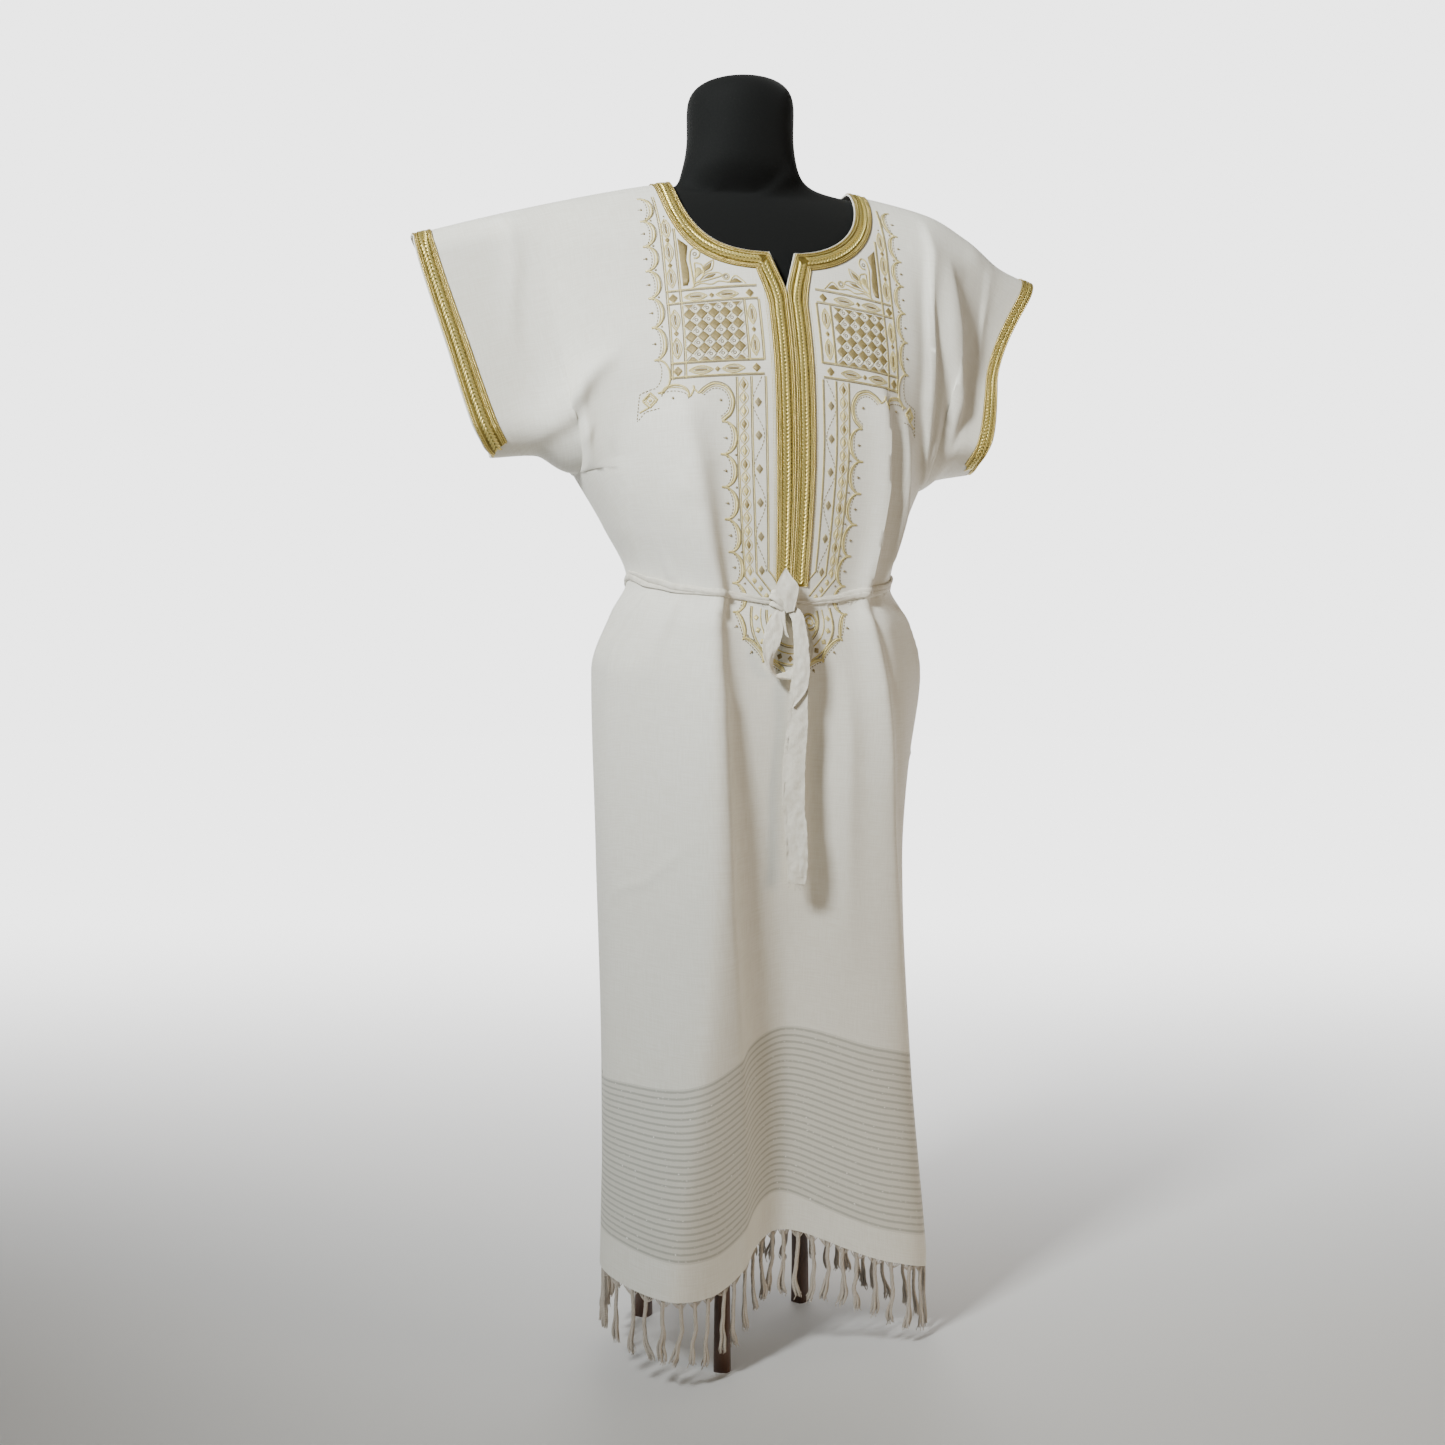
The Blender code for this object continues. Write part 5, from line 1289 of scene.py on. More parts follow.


# Metal thread, wound round a core: fine slanting ridges, with a painted highlight on their crests and painted
# shade between them
thread = group(
    "wound_metal_thread",
    [("Ridge", "NodeSocketFloat", 0.0011), ("Slant", "NodeSocketFloat", 1.0)],
    [("Height", "NodeSocketFloat"), ("Worn", "NodeSocketFloat")],
)
thread_in, thread_out = thread.nodes["Group Input"].outputs, thread.nodes["Group Output"].inputs
run_read, around_read = (thread.nodes.new("ShaderNodeAttribute") for _ in range(2))
run_read.attribute_name, around_read.attribute_name = "run", "around"
phase = sum_up(thread, "DIVIDE", run_read.outputs["Fac"], thread_in["Ridge"])
slanted = sum_up(thread, "MULTIPLY", around_read.outputs["Fac"], thread_in["Slant"])
phase = sum_up(thread, "ADD", phase, slanted)
ridge = sum_up(thread, "SINE", sum_up(thread, "MULTIPLY", phase, 2 * math.pi))
thread.links.new(sum_up(thread, "MULTIPLY_ADD", ridge, 0.5, 0.5), thread_out["Height"])
place = thread.nodes.new("ShaderNodeTexCoord")
thread.links.new(noise(thread, place.outputs["Object"], 260.0, 2.0), thread_out["Worn"])


def metal_thread(name, dark, bright, ridge, slant, metallic=0.75, roughness=0.38, strength=0.6):
    """A metal thread material: painted shade between the ridges, a painted highlight on them."""
    made, shader = plain(name, bright, roughness)
    shader.inputs["Metallic"].default_value = metallic
    tree = made.node_tree
    wound = grouped(tree, thread, Ridge=ridge, Slant=slant)
    # Painted light: brighter on the ridges' crests, darker between them, varied by a noise
    lit = sum_up(tree, "MULTIPLY", sum_up(tree, "ADD", wound.outputs["Height"], wound.outputs["Worn"]), 0.6)
    tree.links.new(mix_color(tree, lit, dark, bright), shader.inputs["Base Color"])
    bump(tree, shader, wound.outputs["Height"], strength, 0.0004)
    return made


# Painted shade between each thread's ridges and a painted highlight on them; the tape's darker gold is partly
# painted shade for its place under the cords and plait
GOLD_TAPE, GOLD_CORD, GOLD_ROPE = (
    metal_thread(f"gold_braid_{kind}", dark, bright, ridge, slant, strength=strength)
    for kind, dark, bright, ridge, slant, strength in (
        ("tape", (0.070, 0.046, 0.008), (0.42, 0.31, 0.070), 0.0013, 0.0, 0.6),
        ("cord", (0.26, 0.18, 0.035), (0.95, 0.78, 0.29), 0.0017, 1.0, 0.9),
        ("rope", (0.13, 0.086, 0.014), (0.92, 0.73, 0.26), 0.0030, 2.0, 1.0),
    )
)

# Share of the braid's width where each cord lies, its half width and its material
CORDS = [
    (0.055, 0.00095, GOLD_ROPE),
    (0.150, 0.00060, GOLD_CORD),
    (0.215, 0.00045, GOLD_TAPE),
    (0.715, 0.00045, GOLD_TAPE),
    (0.775, 0.00055, GOLD_CORD),
    (0.845, 0.00055, GOLD_CORD),
    (0.940, 0.00090, GOLD_ROPE),
]
PLAIT_AT = 0.47
PLAIT_PITCH = 0.0040
PLAIT_HALF = 0.0021         # from the plait's middle to the middle of its petals
PETAL = (0.0084, 0.0033, 0.0020)
PETAL_TURN = math.radians(36)


def ring_faces(rows, sides, first=0):
    """Four-sided faces between rings of points that follow each other."""
    faces = []
    for r in range(rows):
        for k in range(sides):
            a, b = first + r * sides + k, first + r * sides + (k + 1) % sides
            faces.append((a, a + sides, b + sides, b))
    return faces


def petal_piece():
    """A long drop, one stitch of the plait: 1 long, 1 wide and 1 high before it is scaled."""
    rows, sides = 6, 6
    points = []
    for i in range(rows + 1):
        u = i / rows
        x = u - 0.5
        half = 0.5 * math.sin(math.pi * min(max(u, 0.03), 0.97)) ** 0.7
        for k in range(sides):
            angle = 2 * math.pi * k / sides
            points.append((x, half * math.cos(angle), half * math.sin(angle)))
    faces = ring_faces(rows, sides)
    faces.append(tuple(range(sides)))
    faces.append(tuple(rows * sides + k for k in reversed(range(sides))))
    made = mesh_object("plait_stitch", points, faces, None)
    with_vectors(made, "grain", np.array(points) * (1.0, 1.0, 0.0))
    return made


PETAL_PIECE = petal_piece()
GOLD_PLAIT, plait_shader = plain("gold_braid_plait", (0.80, 0.66, 0.32), 0.34)
plait_shader.inputs["Metallic"].default_value = 0.75
tree = GOLD_PLAIT.node_tree
grain = tree.nodes.new("ShaderNodeAttribute")
grain.attribute_name = "grain"
parts_of = tree.nodes.new("ShaderNodeSeparateXYZ")
tree.links.new(grain.outputs["Vector"], parts_of.inputs[0])
# Painted light on the plait: each stitch's fibres lighter and darker with their relief, and painted shade at
# both ends of each stitch
fibre = sum_up(tree, "SINE", sum_up(tree, "MULTIPLY", parts_of.outputs[1], 24.0))
fibre = sum_up(tree, "MULTIPLY_ADD", fibre, 0.5, 0.5)
ends = soft_range(tree, sum_up(tree, "ABSOLUTE", parts_of.outputs[0]), 0.25, 0.5)
painted_fibre_light = mix_color(tree, fibre, (0.46, 0.35, 0.075), (1.0, 0.86, 0.34))
tree.links.new(mix_color(tree, ends, painted_fibre_light, (0.12, 0.088, 0.014)), plait_shader.inputs["Base Color"])
bump(tree, plait_shader, fibre, 0.6, 0.0003)


def band(name, lines, heights, low, material, closed=False):
    """A woven band: lines of points along it side by side, each with its directions and height."""
    points = np.stack([p for p, _ in lines], axis=1)
    ups = np.stack([n for _, n in lines], axis=1)
    top = points + ups * np.asarray(heights)[None, :, None]
    under = points + ups * low
    rows, columns = points.shape[:2]
    faces = []
    for r in range(rows if closed else rows - 1):
        for c in range(columns - 1):
            a, b = r * columns + c, ((r + 1) % rows) * columns + c
            faces.append((a, a + 1, b + 1, b))
    count = rows * columns
    sides = {(f[i - 1], f[i]) for f in faces for i in range(4)}
    rim = sorted((a, b) for a, b in sides if (b, a) not in sides)
    corner = points[[0, 1, 0]][:, [0, 0, 1]]
    way = np.cross(corner[0, 2] - corner[0, 0], corner[1, 0] - corner[0, 0])
    polygons = faces + [tuple(k + count for k in reversed(f)) for f in faces]
    polygons += [(b, a, a + count, b + count) for a, b in rim]
    if way @ ups[0, 0] < 0:
        polygons = [tuple(reversed(f)) for f in polygons]
    both = np.concatenate([top.reshape(-1, 3), under.reshape(-1, 3)])
    made = mesh_object(name, both, polygons, material)
    made.data.set_sharp_from_angle(angle=math.radians(50))
    middle = points[:, columns // 2]
    run = run_along(middle)
    with_values(made, "run", np.tile(np.repeat(run, columns), 2))
    with_values(made, "around", np.tile(np.linspace(0, 1, columns), 2 * rows))
    return made


def braid(name, line_at, closed=False, way=1.0):
    """One length of the gold braid. line_at gives places on the hung cloth at a share of its width.

    The plait's stitches part along the run, or meet along it where way is -1.
    """
    tape_lines = [line_at(q) for q in np.linspace(0.0, 1.0, 9)]
    heights = [TAPE_TOP * 0.7] + [TAPE_TOP] * 7 + [TAPE_TOP * 0.7]
    parts = [band(name, tape_lines, heights, TAPE_UNDER, GOLD_TAPE, closed)]
    for n, (q, half, material) in enumerate(CORDS):
        points, ups = line_at(q)
        lift = TAPE_TOP + half * 0.45
        parts.append(swept(f"{name}_cord_{n}", [(points + ups * lift, ups, half)], material, 0.85, 8, closed))
    points, ups = line_at(PLAIT_AT)
    run = run_along(points)
    stations = np.arange(PLAIT_PITCH, run[-1] - PLAIT_PITCH, PLAIT_PITCH)
    centre, up, tangent = (
        np.stack([np.interp(stations, run, values[:, k]) for k in range(3)], axis=-1)
        for values in (points, ups, np.gradient(points, axis=0))
    )
    up, tangent = unit(up), unit(tangent)
    beside = np.cross(up, tangent)
    places, alongs = [], []
    for side in (-1, 1):
        places.append(centre + beside * side * PLAIT_HALF + up * (TAPE_TOP + 0.0004))
        alongs.append(tangent * math.cos(PETAL_TURN) + beside * side * way * math.sin(PETAL_TURN))
    sizes = np.tile(PETAL, (2 * len(stations), 1))
    parts.append(placed(
        f"{name}_plait", PETAL_PIECE, np.concatenate(places), np.concatenate([up, up]),
        np.concatenate(alongs), sizes, GOLD_PLAIT,
    ))
    return joined(name, parts)


def neck_line(q):
    """Line round the neckline at a share of the braid's width, mitre to mitre over both shoulders."""
    offset = LIP + (BRAID - LIP) * q
    least = NOTCH_HALF + LIP + (MITRE_OUT - NOTCH_HALF - LIP) * q
    left = mirrored(up_to(neck_edge(offset), least))[::-1]
    right = up_to(neck_edge(offset, square=NECK_ROUND_RIGHT), least)
    behind = neck_edge(offset, back=True) * (1.0, -1.0)
    behind = np.concatenate([mirrored(behind), behind[-2::-1]])
    flat = np.concatenate([
        resampled(left, count=76),
        resampled(behind, count=130)[1:],
        resampled(right, count=76)[1:],
    ])
    return on_cloth(flat[:, 0], flat[:, 1], ON_CLOTH)


neck_braid = braid("neck_braid_gold", neck_line)
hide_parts("neck_braid")

# Opening braids
# The same braid, two lengths side by side from the mitres at the notch down to the waist.
PLACKET = 0.0225
PLACKET_END = 0.452
MITRE_GAP = 0.0005
CENTRE_GAP = 0.0004
MITRE_DOWN = 0.012


def opening_line(side, q):
    """Line down one opening braid at a share of its width, which starts at the middle."""
    square = NECK_ROUND_RIGHT if side > 0 else NECK_ROUND
    inner = up_to(neck_edge(LIP, square=square), NOTCH_HALF + LIP)[-1]
    outer = up_to(neck_edge(BRAID, square=square), MITRE_OUT)[-1]
    start = inner + (outer - inner) * q
    corner = np.array((CENTRE_GAP + (PLACKET - CENTRE_GAP) * q, notch[1] + MITRE_DOWN * q))
    path = [start + (0.0, MITRE_GAP)]
    bend = corner + (corner - start) * 0.12
    near = corner + (start - corner) * 0.35
    low = np.array((corner[0], corner[1] + 0.014))
    for u in np.linspace(0.0, 1.0, 9):
        path.append((1 - u) ** 2 * near + 2 * u * (1 - u) * bend + u * u * low)
    path.append((corner[0], PLACKET_END))
    flat = np.concatenate([resampled(path[:10], count=24), resampled(path[9:], count=170)[1:]])
    return on_cloth(flat[:, 0] * side, flat[:, 1], ON_CLOTH)


opening_braids = []
for side, old in ((-1, "placket_braid_left"), (1, "placket_braid_right")):
    made = braid(f"gold_{old}", lambda q: opening_line(side, q), way=-1.0)
    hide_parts(old)
    opening_braids.append(made)

# Cuff braids
# The same braid as a ring round each cuff, a millimetre in from the sleeve's edge.
CUFF_LIP = 0.0010


def cuff_line(side, q):
    """Line round one cuff at a share of the braid's width, which starts at the sleeve's edge."""
    inset = CUFF_LIP + BRAID * q
    down = np.linspace(0.0, 1.0, 110)
    across, depth = flat_of(np.full_like(down, 2.0), down)
    ahead = on_cloth((across - inset) * side, depth, ON_CLOTH, FRONT)
    behind = on_cloth((across - inset) * side, depth, ON_CLOTH, BACK)
    return tuple(np.concatenate([a, b[-2:0:-1]]) for a, b in zip(ahead, behind))


cuff_braids = []
for side, old in ((-1, "cuff_braid_left"), (1, "cuff_braid_right")):
    made = braid(f"gold_{old}", lambda q: cuff_line(side, q), closed=True)
    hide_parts(old)
    cuff_braids.append(made)
bpy.data.objects.remove(PETAL_PIECE)
for made in (neck_braid, *opening_braids, *cuff_braids):
    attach(made, "root")

# Embroidery
# Machine embroidery in pale gold metal thread on the front, mirrored about the opening: a yoke of
# bordered squares, scallops round it, and two strips beside the opening that meet below the tie.
# Flat places are given for one side as distance from the middle, and down.
THREAD_STEP = 0.0018
STITCHED = {"gold": [], "cream": [], "taupe": [], "brown": []}
DOTS = []
FILLED = []


def draw(line, kind="gold", half=0.00070):
    """Note a stitched line on both sides."""
    line = np.asarray(line, float)
    for side in (1, -1):
        STITCHED[kind].append((line * (side, 1.0), half))


def double_line(a, b):
    """A taupe line with a pale gold one beside it."""
    a, b = np.asarray(a, float), np.asarray(b, float)
    ahead = (b - a) / np.linalg.norm(b - a)
    beside = np.array((-ahead[1], ahead[0])) * 0.0017
    draw([a, b], "taupe", 0.00065)
    draw([a + beside, b + beside], "gold", 0.00085)


def ring_line(x, down, radius, count=12):
    """A small closed ring."""
    angle = np.linspace(0, 2 * math.pi, count + 1)
    return np.stack([x + radius * np.cos(angle), down + radius * np.sin(angle)], axis=-1)


def lens(x, down, half_across, half_down):
    """A pointed oval: double outline with a brown core along its longer way."""
    long_down = half_down > half_across
    long, wide = max(half_down, half_across), min(half_down, half_across)
    u = np.linspace(-1, 1, 15)
    for share, kind, half in ((1.0, "gold", 0.00075), (0.58, "gold", 0.00060)):
        bulge = wide * share * (1 - u * u)
        reach = long * (1.0 if share == 1.0 else 0.80)
        for way in (1, -1):
            side = np.stack([way * bulge, u * reach], axis=-1)
            draw((side if long_down else side[:, ::-1]) + (x, down), kind, half)
    core = np.stack([0.16 * wide * (1 - u * u), u * long * 0.50], axis=-1)
    for way in (1, -1):
        side = core * (way, 1)
        draw((side if long_down else side[:, ::-1]) + (x, down), "brown", 0.00065)


def fill(corners, kind="brown"):
    """Note a patch of satin stitch on both sides."""
    corners = np.asarray(corners, float)
    for side in (1, -1):
        FILLED.append((corners * (side, 1.0), kind))


def diamond(x, down, half_across, half_down, kind="brown", outline=True):
    """A filled diamond with a stitched edge."""
    corners = np.array([
        (x, down - half_down), (x + half_across, down), (x, down + half_down), (x - half_across, down),
    ])
    fill(corners, kind)
    if outline:
        draw([*corners, corners[0]], "gold", 0.00055)


def dot(x, down, half):
    """Note a round knot of thread on both sides."""
    for side in (1, -1):
        DOTS.append((x * side, down, half))


def dashes(line, long=0.0026, gap=0.0017, kind="taupe", half=0.00058):
    """A running stitch."""
    line = resampled(line, 0.0004)
    run = run_along(line)
    start = 0.0
    while start < run[-1]:
        at = np.linspace(start, min(start + long, run[-1]), 3)
        draw(np.stack([np.interp(at, run, line[:, k]) for k in (0, 1)], axis=-1), kind, half)
        start += long + gap


def arc_between(a, b, bulge, count=15):
    """A round arc from a to b that stands bulge off the straight line, left of the way."""
    a, b = np.asarray(a, float), np.asarray(b, float)
    ahead = b - a
    beside = np.array((ahead[1], -ahead[0])) / np.linalg.norm(ahead)
    u = np.linspace(0, math.pi, count)
    return a + ahead * ((1 - np.cos(u)) / 2)[:, None] + beside * bulge * np.sin(u)[:, None] ** 0.8


def rounded(path, count):
    """A smooth flat line through a few places."""
    path = np.asarray(path, float)
    u = np.linspace(0, len(path) - 1, count)
    return np.stack([smooth_curve(u, np.arange(len(path)), path[:, k]) for k in (0, 1)], axis=-1)


def directions(turn):
    """The way out at a turn and the way across it, in the flat cut."""
    return np.array((math.cos(turn), math.sin(turn))), np.array((-math.sin(turn), math.cos(turn)))


def scallops(cusps, bulge, hollow, inner):
    """A row of scallops: a satin band, a running stitch on its hollow side, knots."""
    for a, b in zip(cusps, cusps[1:]):
        a, b = np.asarray(a, float), np.asarray(b, float)
        draw(arc_between(a, b, bulge), "gold", 0.00125)
        draw(arc_between(a, b, bulge - 0.0019), "taupe", 0.00050)
        draw(arc_between(a, b, bulge + 0.0026), "gold", 0.00065)
        dashes(arc_between(a, b, bulge + 0.0050), 0.0022, 0.0014)
        middle = (a + b) / 2
        ahead = (b - a) / np.linalg.norm(b - a)
        beside = np.array((ahead[1], -ahead[0]))
        dot(*(middle + beside * hollow), 0.0015)
        draw([middle + beside * hollow, middle + beside * (hollow + 0.0030)], "taupe", 0.0005)
    for a, cusp, b in zip(cusps, cusps[1:], cusps[2:]):
        ahead = np.asarray(b, float) - np.asarray(a, float)
        ahead /= np.linalg.norm(ahead)
        dot(*(np.asarray(cusp) - np.array((ahead[1], -ahead[0])) * inner), 0.0013)


# The yoke's border lines: columns, rows, and lines on beside the opening
COLUMNS_AT = ((0.131, 0.019, 0.234), (0.1176, 0.062, 0.234))
ROWS_AT = (0.136, 0.1505, 0.2175, 0.233)
SIDE_AT = 0.1243        # middle of the yoke's side column
for a, top, low in COLUMNS_AT:
    double_line((a, top), (a, low))
for down in ROWS_AT:
    double_line((0.131, down), (0.0335, down))
for a in (0.050, 0.034):
    double_line((a, 0.1505), (a, 0.2175))
for down in (0.061, 0.0895, 0.1195, 0.168, 0.200):
    lens(SIDE_AT, down, 0.0046, 0.0118)
for down in (0.075, 0.105, 0.1835):
    diamond(SIDE_AT, down, 0.0024, 0.0030)
dot(SIDE_AT, 0.046, 0.0011)
for down in (0.1433, 0.2252):
    diamond(SIDE_AT, down, 0.0046, 0.0052)
    lens(0.101, down, 0.0125, 0.0044)
    diamond(0.084, down, 0.0028, 0.0026)
    lens(0.067, down, 0.0125, 0.0044)
    diamond(0.042, down, 0.0046, 0.0046)
for down in (0.167, 0.201):
    lens(0.042, down, 0.0046, 0.0115)
diamond(0.042, 0.184, 0.0024, 0.0030)

# Lattice: filled diamonds with outlined ones between, each with a small ring
LATTICE_A = (0.0580, 0.0709, 0.0837, 0.0966, 0.1093)
LATTICE_D = (0.1634, 0.1762, 0.1890, 0.2019)
HALF = 0.00640
BROWN_SHARE = 0.97
PALE_SHARE = 0.82
for down in LATTICE_D:
    for a in LATTICE_A:
        diamond(a, down, HALF * BROWN_SHARE, HALF * BROWN_SHARE, outline=False)
for a in LATTICE_A:
    for down, way in ((0.1522, 1), (0.2158, -1)):
        reach = HALF * BROWN_SHARE
        fill([(a - reach, down), (a, down + way * reach * 0.95), (a + reach, down)])
for k, down in enumerate((0.1570, *LATTICE_D)):
    middle = down if k == 0 else down + HALF
    for a in (0.0516, 0.0645, 0.0773, 0.0901, 0.1029, 0.1158):
        reach = HALF * PALE_SHARE
        if a < 0.052 or a > 0.115:
            inward = reach if a < 0.052 else -reach
            draw([(a, middle - reach), (a + inward, middle), (a, middle + reach)], "cream", 0.00100)
            continue
        corners = [(a, middle - reach), (a + reach, middle), (a, middle + reach), (a - reach, middle)]
        draw([*corners, corners[0]], "cream", 0.00105)
        draw(ring_line(a, middle, 0.0017, 10), "taupe", 0.00060)

# Corner ornament between the column, the braid and the upper row: a wedge, a curl and leaves
fill([
    (0.1140, 0.0740), (0.1030, 0.0850), (0.1078, 0.0960), (0.1052, 0.1120), (0.1058, 0.1290), (0.1130, 0.1320),
])
for path, half in (
    ([(0.1015, 0.1320), (0.1025, 0.1150), (0.1035, 0.1010), (0.1010, 0.0895), (0.0955, 0.0875), (0.0920, 0.0935),
      (0.0945, 0.0990), (0.0990, 0.0995)], 0.0011),
    ([(0.1010, 0.1290), (0.0990, 0.1150), (0.0990, 0.1045), (0.0915, 0.1075), (0.0895, 0.1160), (0.0940, 0.1240),
      (0.1010, 0.1290)], 0.0010),
    ([(0.0975, 0.1275), (0.0860, 0.1185), (0.0760, 0.1180), (0.0700, 0.1215), (0.0800, 0.1245),
      (0.0975, 0.1275)], 0.0009),
    ([(0.1040, 0.1330), (0.0930, 0.1290), (0.0830, 0.1310), (0.0740, 0.1280), (0.0640, 0.1300), (0.0560, 0.1230),
      (0.0450, 0.1325)], 0.0009),
    ([(0.0920, 0.1180), (0.0885, 0.1090), (0.0775, 0.1030), (0.0805, 0.1135), (0.0920, 0.1180)], 0.0008),
):
    draw(rounded(path, 8 * len(path)), "gold", half)
fill([(0.0995, 0.1230), (0.0975, 0.1100), (0.0925, 0.1110), (0.0915, 0.1170)], "gold")
fill([(0.0905, 0.1165), (0.0880, 0.1100), (0.0800, 0.1055), (0.0820, 0.1125)])
fill([(0.0920, 0.1245), (0.0850, 0.1200), (0.0765, 0.1195), (0.0810, 0.1230)])
fill([(0.0630, 0.1310), (0.0560, 0.1252), (0.0480, 0.1315)])
draw(ring_line(0.0975, 0.0945, 0.0019), "taupe", 0.0007)
draw(ring_line(0.0660, 0.1235, 0.0021), "taupe", 0.0007)
draw(ring_line(0.0660, 0.1235, 0.0036), "gold", 0.0007)

# Scallops down the outer side, round the corner and down beside the strips
upper = [(0.1450, 0.0190), (0.1475, 0.0485), (0.1485, 0.0791), (0.1485, 0.1081), (0.1480, 0.1400)]
upper += [(0.1475, 0.1739), (0.1470, 0.2106)]
scallops(upper, -0.0125, -0.0020, 0.0098)
last_arc = arc_between(upper[-1], (0.1440, 0.2470), -0.0135, 21)
draw(last_arc, "gold", 0.00125)
dashes(arc_between(upper[-1], (0.1500, 0.2420), -0.0085), 0.0022, 0.0014)
corner = np.array([(0.1515, 0.2455), (0.1590, 0.2539), (0.1515, 0.2623), (0.1440, 0.2539)])
middle = corner.mean(axis=0)
draw([*corner, corner[0]], "gold", 0.00120)
inner_corner = middle + (corner - middle) * 0.62
draw([*inner_corner, inner_corner[0]], "gold", 0.00065)
fill(middle + (corner - middle) * 0.30, "gold")
draw(resampled([(0.1530, 0.2620), (0.1580, 0.2645), (0.1620, 0.2665)], 0.0012), "gold", 0.0011)
round_corner = [(0.1500, 0.2420), (0.1620, 0.2460), (0.1645, 0.2764), (0.1560, 0.2665), (0.1420, 0.2640)]
dashes(round_corner, 0.0024, 0.0014)
for bulge, kind, half in ((-0.0120, "gold", 0.00125), (-0.0094, "gold", 0.00065)):
    draw(arc_between((0.1404, 0.2488), (0.1140, 0.2542), bulge), kind, half)
dashes(arc_between((0.1404, 0.2510), (0.1140, 0.2560), -0.0072), 0.0022, 0.0014)
draw(arc_between((0.1140, 0.2542), (0.1091, 0.2415), 0.0020), "gold", 0.0011)
draw(arc_between((0.1091, 0.2415), (0.1026, 0.2500), 0.0016), "gold", 0.0011)
big_arc = [(0.1026, 0.2500), (0.0960, 0.2440), (0.0869, 0.2405), (0.0760, 0.2440), (0.0690, 0.2540)]
big_arc += [(0.0675, 0.2614), (0.0700, 0.2720), (0.0799, 0.2813)]
big_arc = rounded(big_arc, 40)
hollow_centre = np.array((0.0860, 0.2620))
for share, kind, half in ((1.0, "gold", 0.00125), (1.09, "taupe", 0.00050), (0.87, "gold", 0.00065)):
    draw(hollow_centre + (big_arc - hollow_centre) * share, kind, half)
dashes(hollow_centre + (big_arc - hollow_centre) * 0.76, 0.0022, 0.0014)
dot(0.129, 0.254, 0.0016)
dot(0.081, 0.2587, 0.0016)
lower = [(0.0800, 0.2813), (0.0825, 0.3163), (0.0835, 0.3511), (0.0835, 0.3853), (0.0825, 0.4200)]
lower += [(0.0805, 0.4530), (0.0786, 0.4840)]
scallops(lower, -0.0165, -0.0055, 0.0165)

# Strips beside the opening
STRIP_END = 0.440
# Middle of the outer and the inner strip, where its waves start and how long half of one is
OUTER_AT, OUTER_START, OUTER_WAVE = 0.0567, 0.2430, 0.0140
INNER_AT, INNER_START, INNER_WAVE = 0.0413, 0.2618, 0.0350
for a, low in ((0.0645, 0.4440), (0.0490, 0.4400), (0.0335, 0.4360)):
    draw([(a, 0.2345), (a, low)], "taupe", 0.00060)
    draw([(a - 0.0016, 0.2345), (a - 0.0016, low)], "gold", 0.00070)
for path in (
    [(0.0645, 0.4440), (0.0490, 0.4580), (0.0380, 0.4670)],
    [(0.0490, 0.4400), (0.0386, 0.4500), (0.0260, 0.4620)],
    [(0.0335, 0.4360), (0.0250, 0.4440), (0.0205, 0.4500)],
):
    path = np.array(path)
    draw(path, "taupe", 0.00060)
    draw(path - (0.0014, 0.0), "gold", 0.00070)
for x, down in ((0.0510, 0.4480), (0.0430, 0.4555), (0.0350, 0.4630)):
    diamond(x, down, 0.0032, 0.0032, kind="gold")
for n, down in enumerate(np.arange(OUTER_START, STRIP_END, OUTER_WAVE)):
    diamond(OUTER_AT, down, 0.0027, 0.0048, kind="gold" if n % 3 else "brown")
u = np.arange(0.2350, STRIP_END, 0.001)
for way in (1, -1):
    wave = OUTER_AT + way * 0.0046 * np.cos((u - OUTER_START) * math.pi / OUTER_WAVE)
    draw(np.stack([wave, u], axis=-1), "gold", 0.00060)
for down in np.arange(INNER_START, STRIP_END, INNER_WAVE):
    diamond(INNER_AT, down, 0.0038, 0.0048, kind="taupe")
wave = INNER_AT + 0.0060 * np.cos((u - INNER_START) * math.pi / INNER_WAVE)
dashes(np.stack([wave, u], axis=-1), 0.0026, 0.0016, "taupe", 0.00055)
for a, top, low in ((0.0255, 0.100, 0.446), (0.0238, 0.100, 0.447)):
    dashes([(a, top), (a, low)], 0.0030, 0.0007, "gold", 0.00028)

# The end below the tie: arcs round the opening's end with a row of petals, and scallops
CENTRE_D = 0.482
FLOWER_AT = (0.0225, 0.4900)
angle = np.linspace(-0.12, math.pi / 2, 30)
for radius, kind, half in (
    (0.0345, "gold", 0.0009), (0.0365, "taupe", 0.0006), (0.0430, "gold", 0.0008),
    (0.0545, "gold", 0.0009), (0.0565, "taupe", 0.0006),
):
    draw(np.stack([radius * np.cos(angle), CENTRE_D + radius * np.sin(angle)], axis=-1), kind, half)
for turn in np.linspace(0.10, math.pi / 2 - 0.08, 6):
    out, side = directions(turn)
    middle = np.array((0.0, CENTRE_D)) + 0.0487 * out
    corners = [middle - out * 0.0038, middle + side * 0.0034, middle + out * 0.0038, middle - side * 0.0034]
    fill(corners, "gold" if turn < 0.9 else "brown")
for radius, kind, half in ((0.0042, "gold", 0.0008), (0.0078, "taupe", 0.0006), (0.0092, "gold", 0.0009)):
    draw(ring_line(*FLOWER_AT, radius, 24), kind, half)
for turn in np.linspace(0.3, 2 * math.pi + 0.3, 5)[:-1]:
    out, side = directions(turn)
    root, tip = (np.array(FLOWER_AT) + radius * out for radius in (0.0016, 0.0070))
    fill([root, root * 0.5 + tip * 0.5 + side * 0.0016, tip, root * 0.5 + tip * 0.5 - side * 0.0016], "gold")
lowest = [(0.0786, 0.4840), (0.0635, 0.5110), (0.0377, 0.5340), (0.0110, 0.5500)]
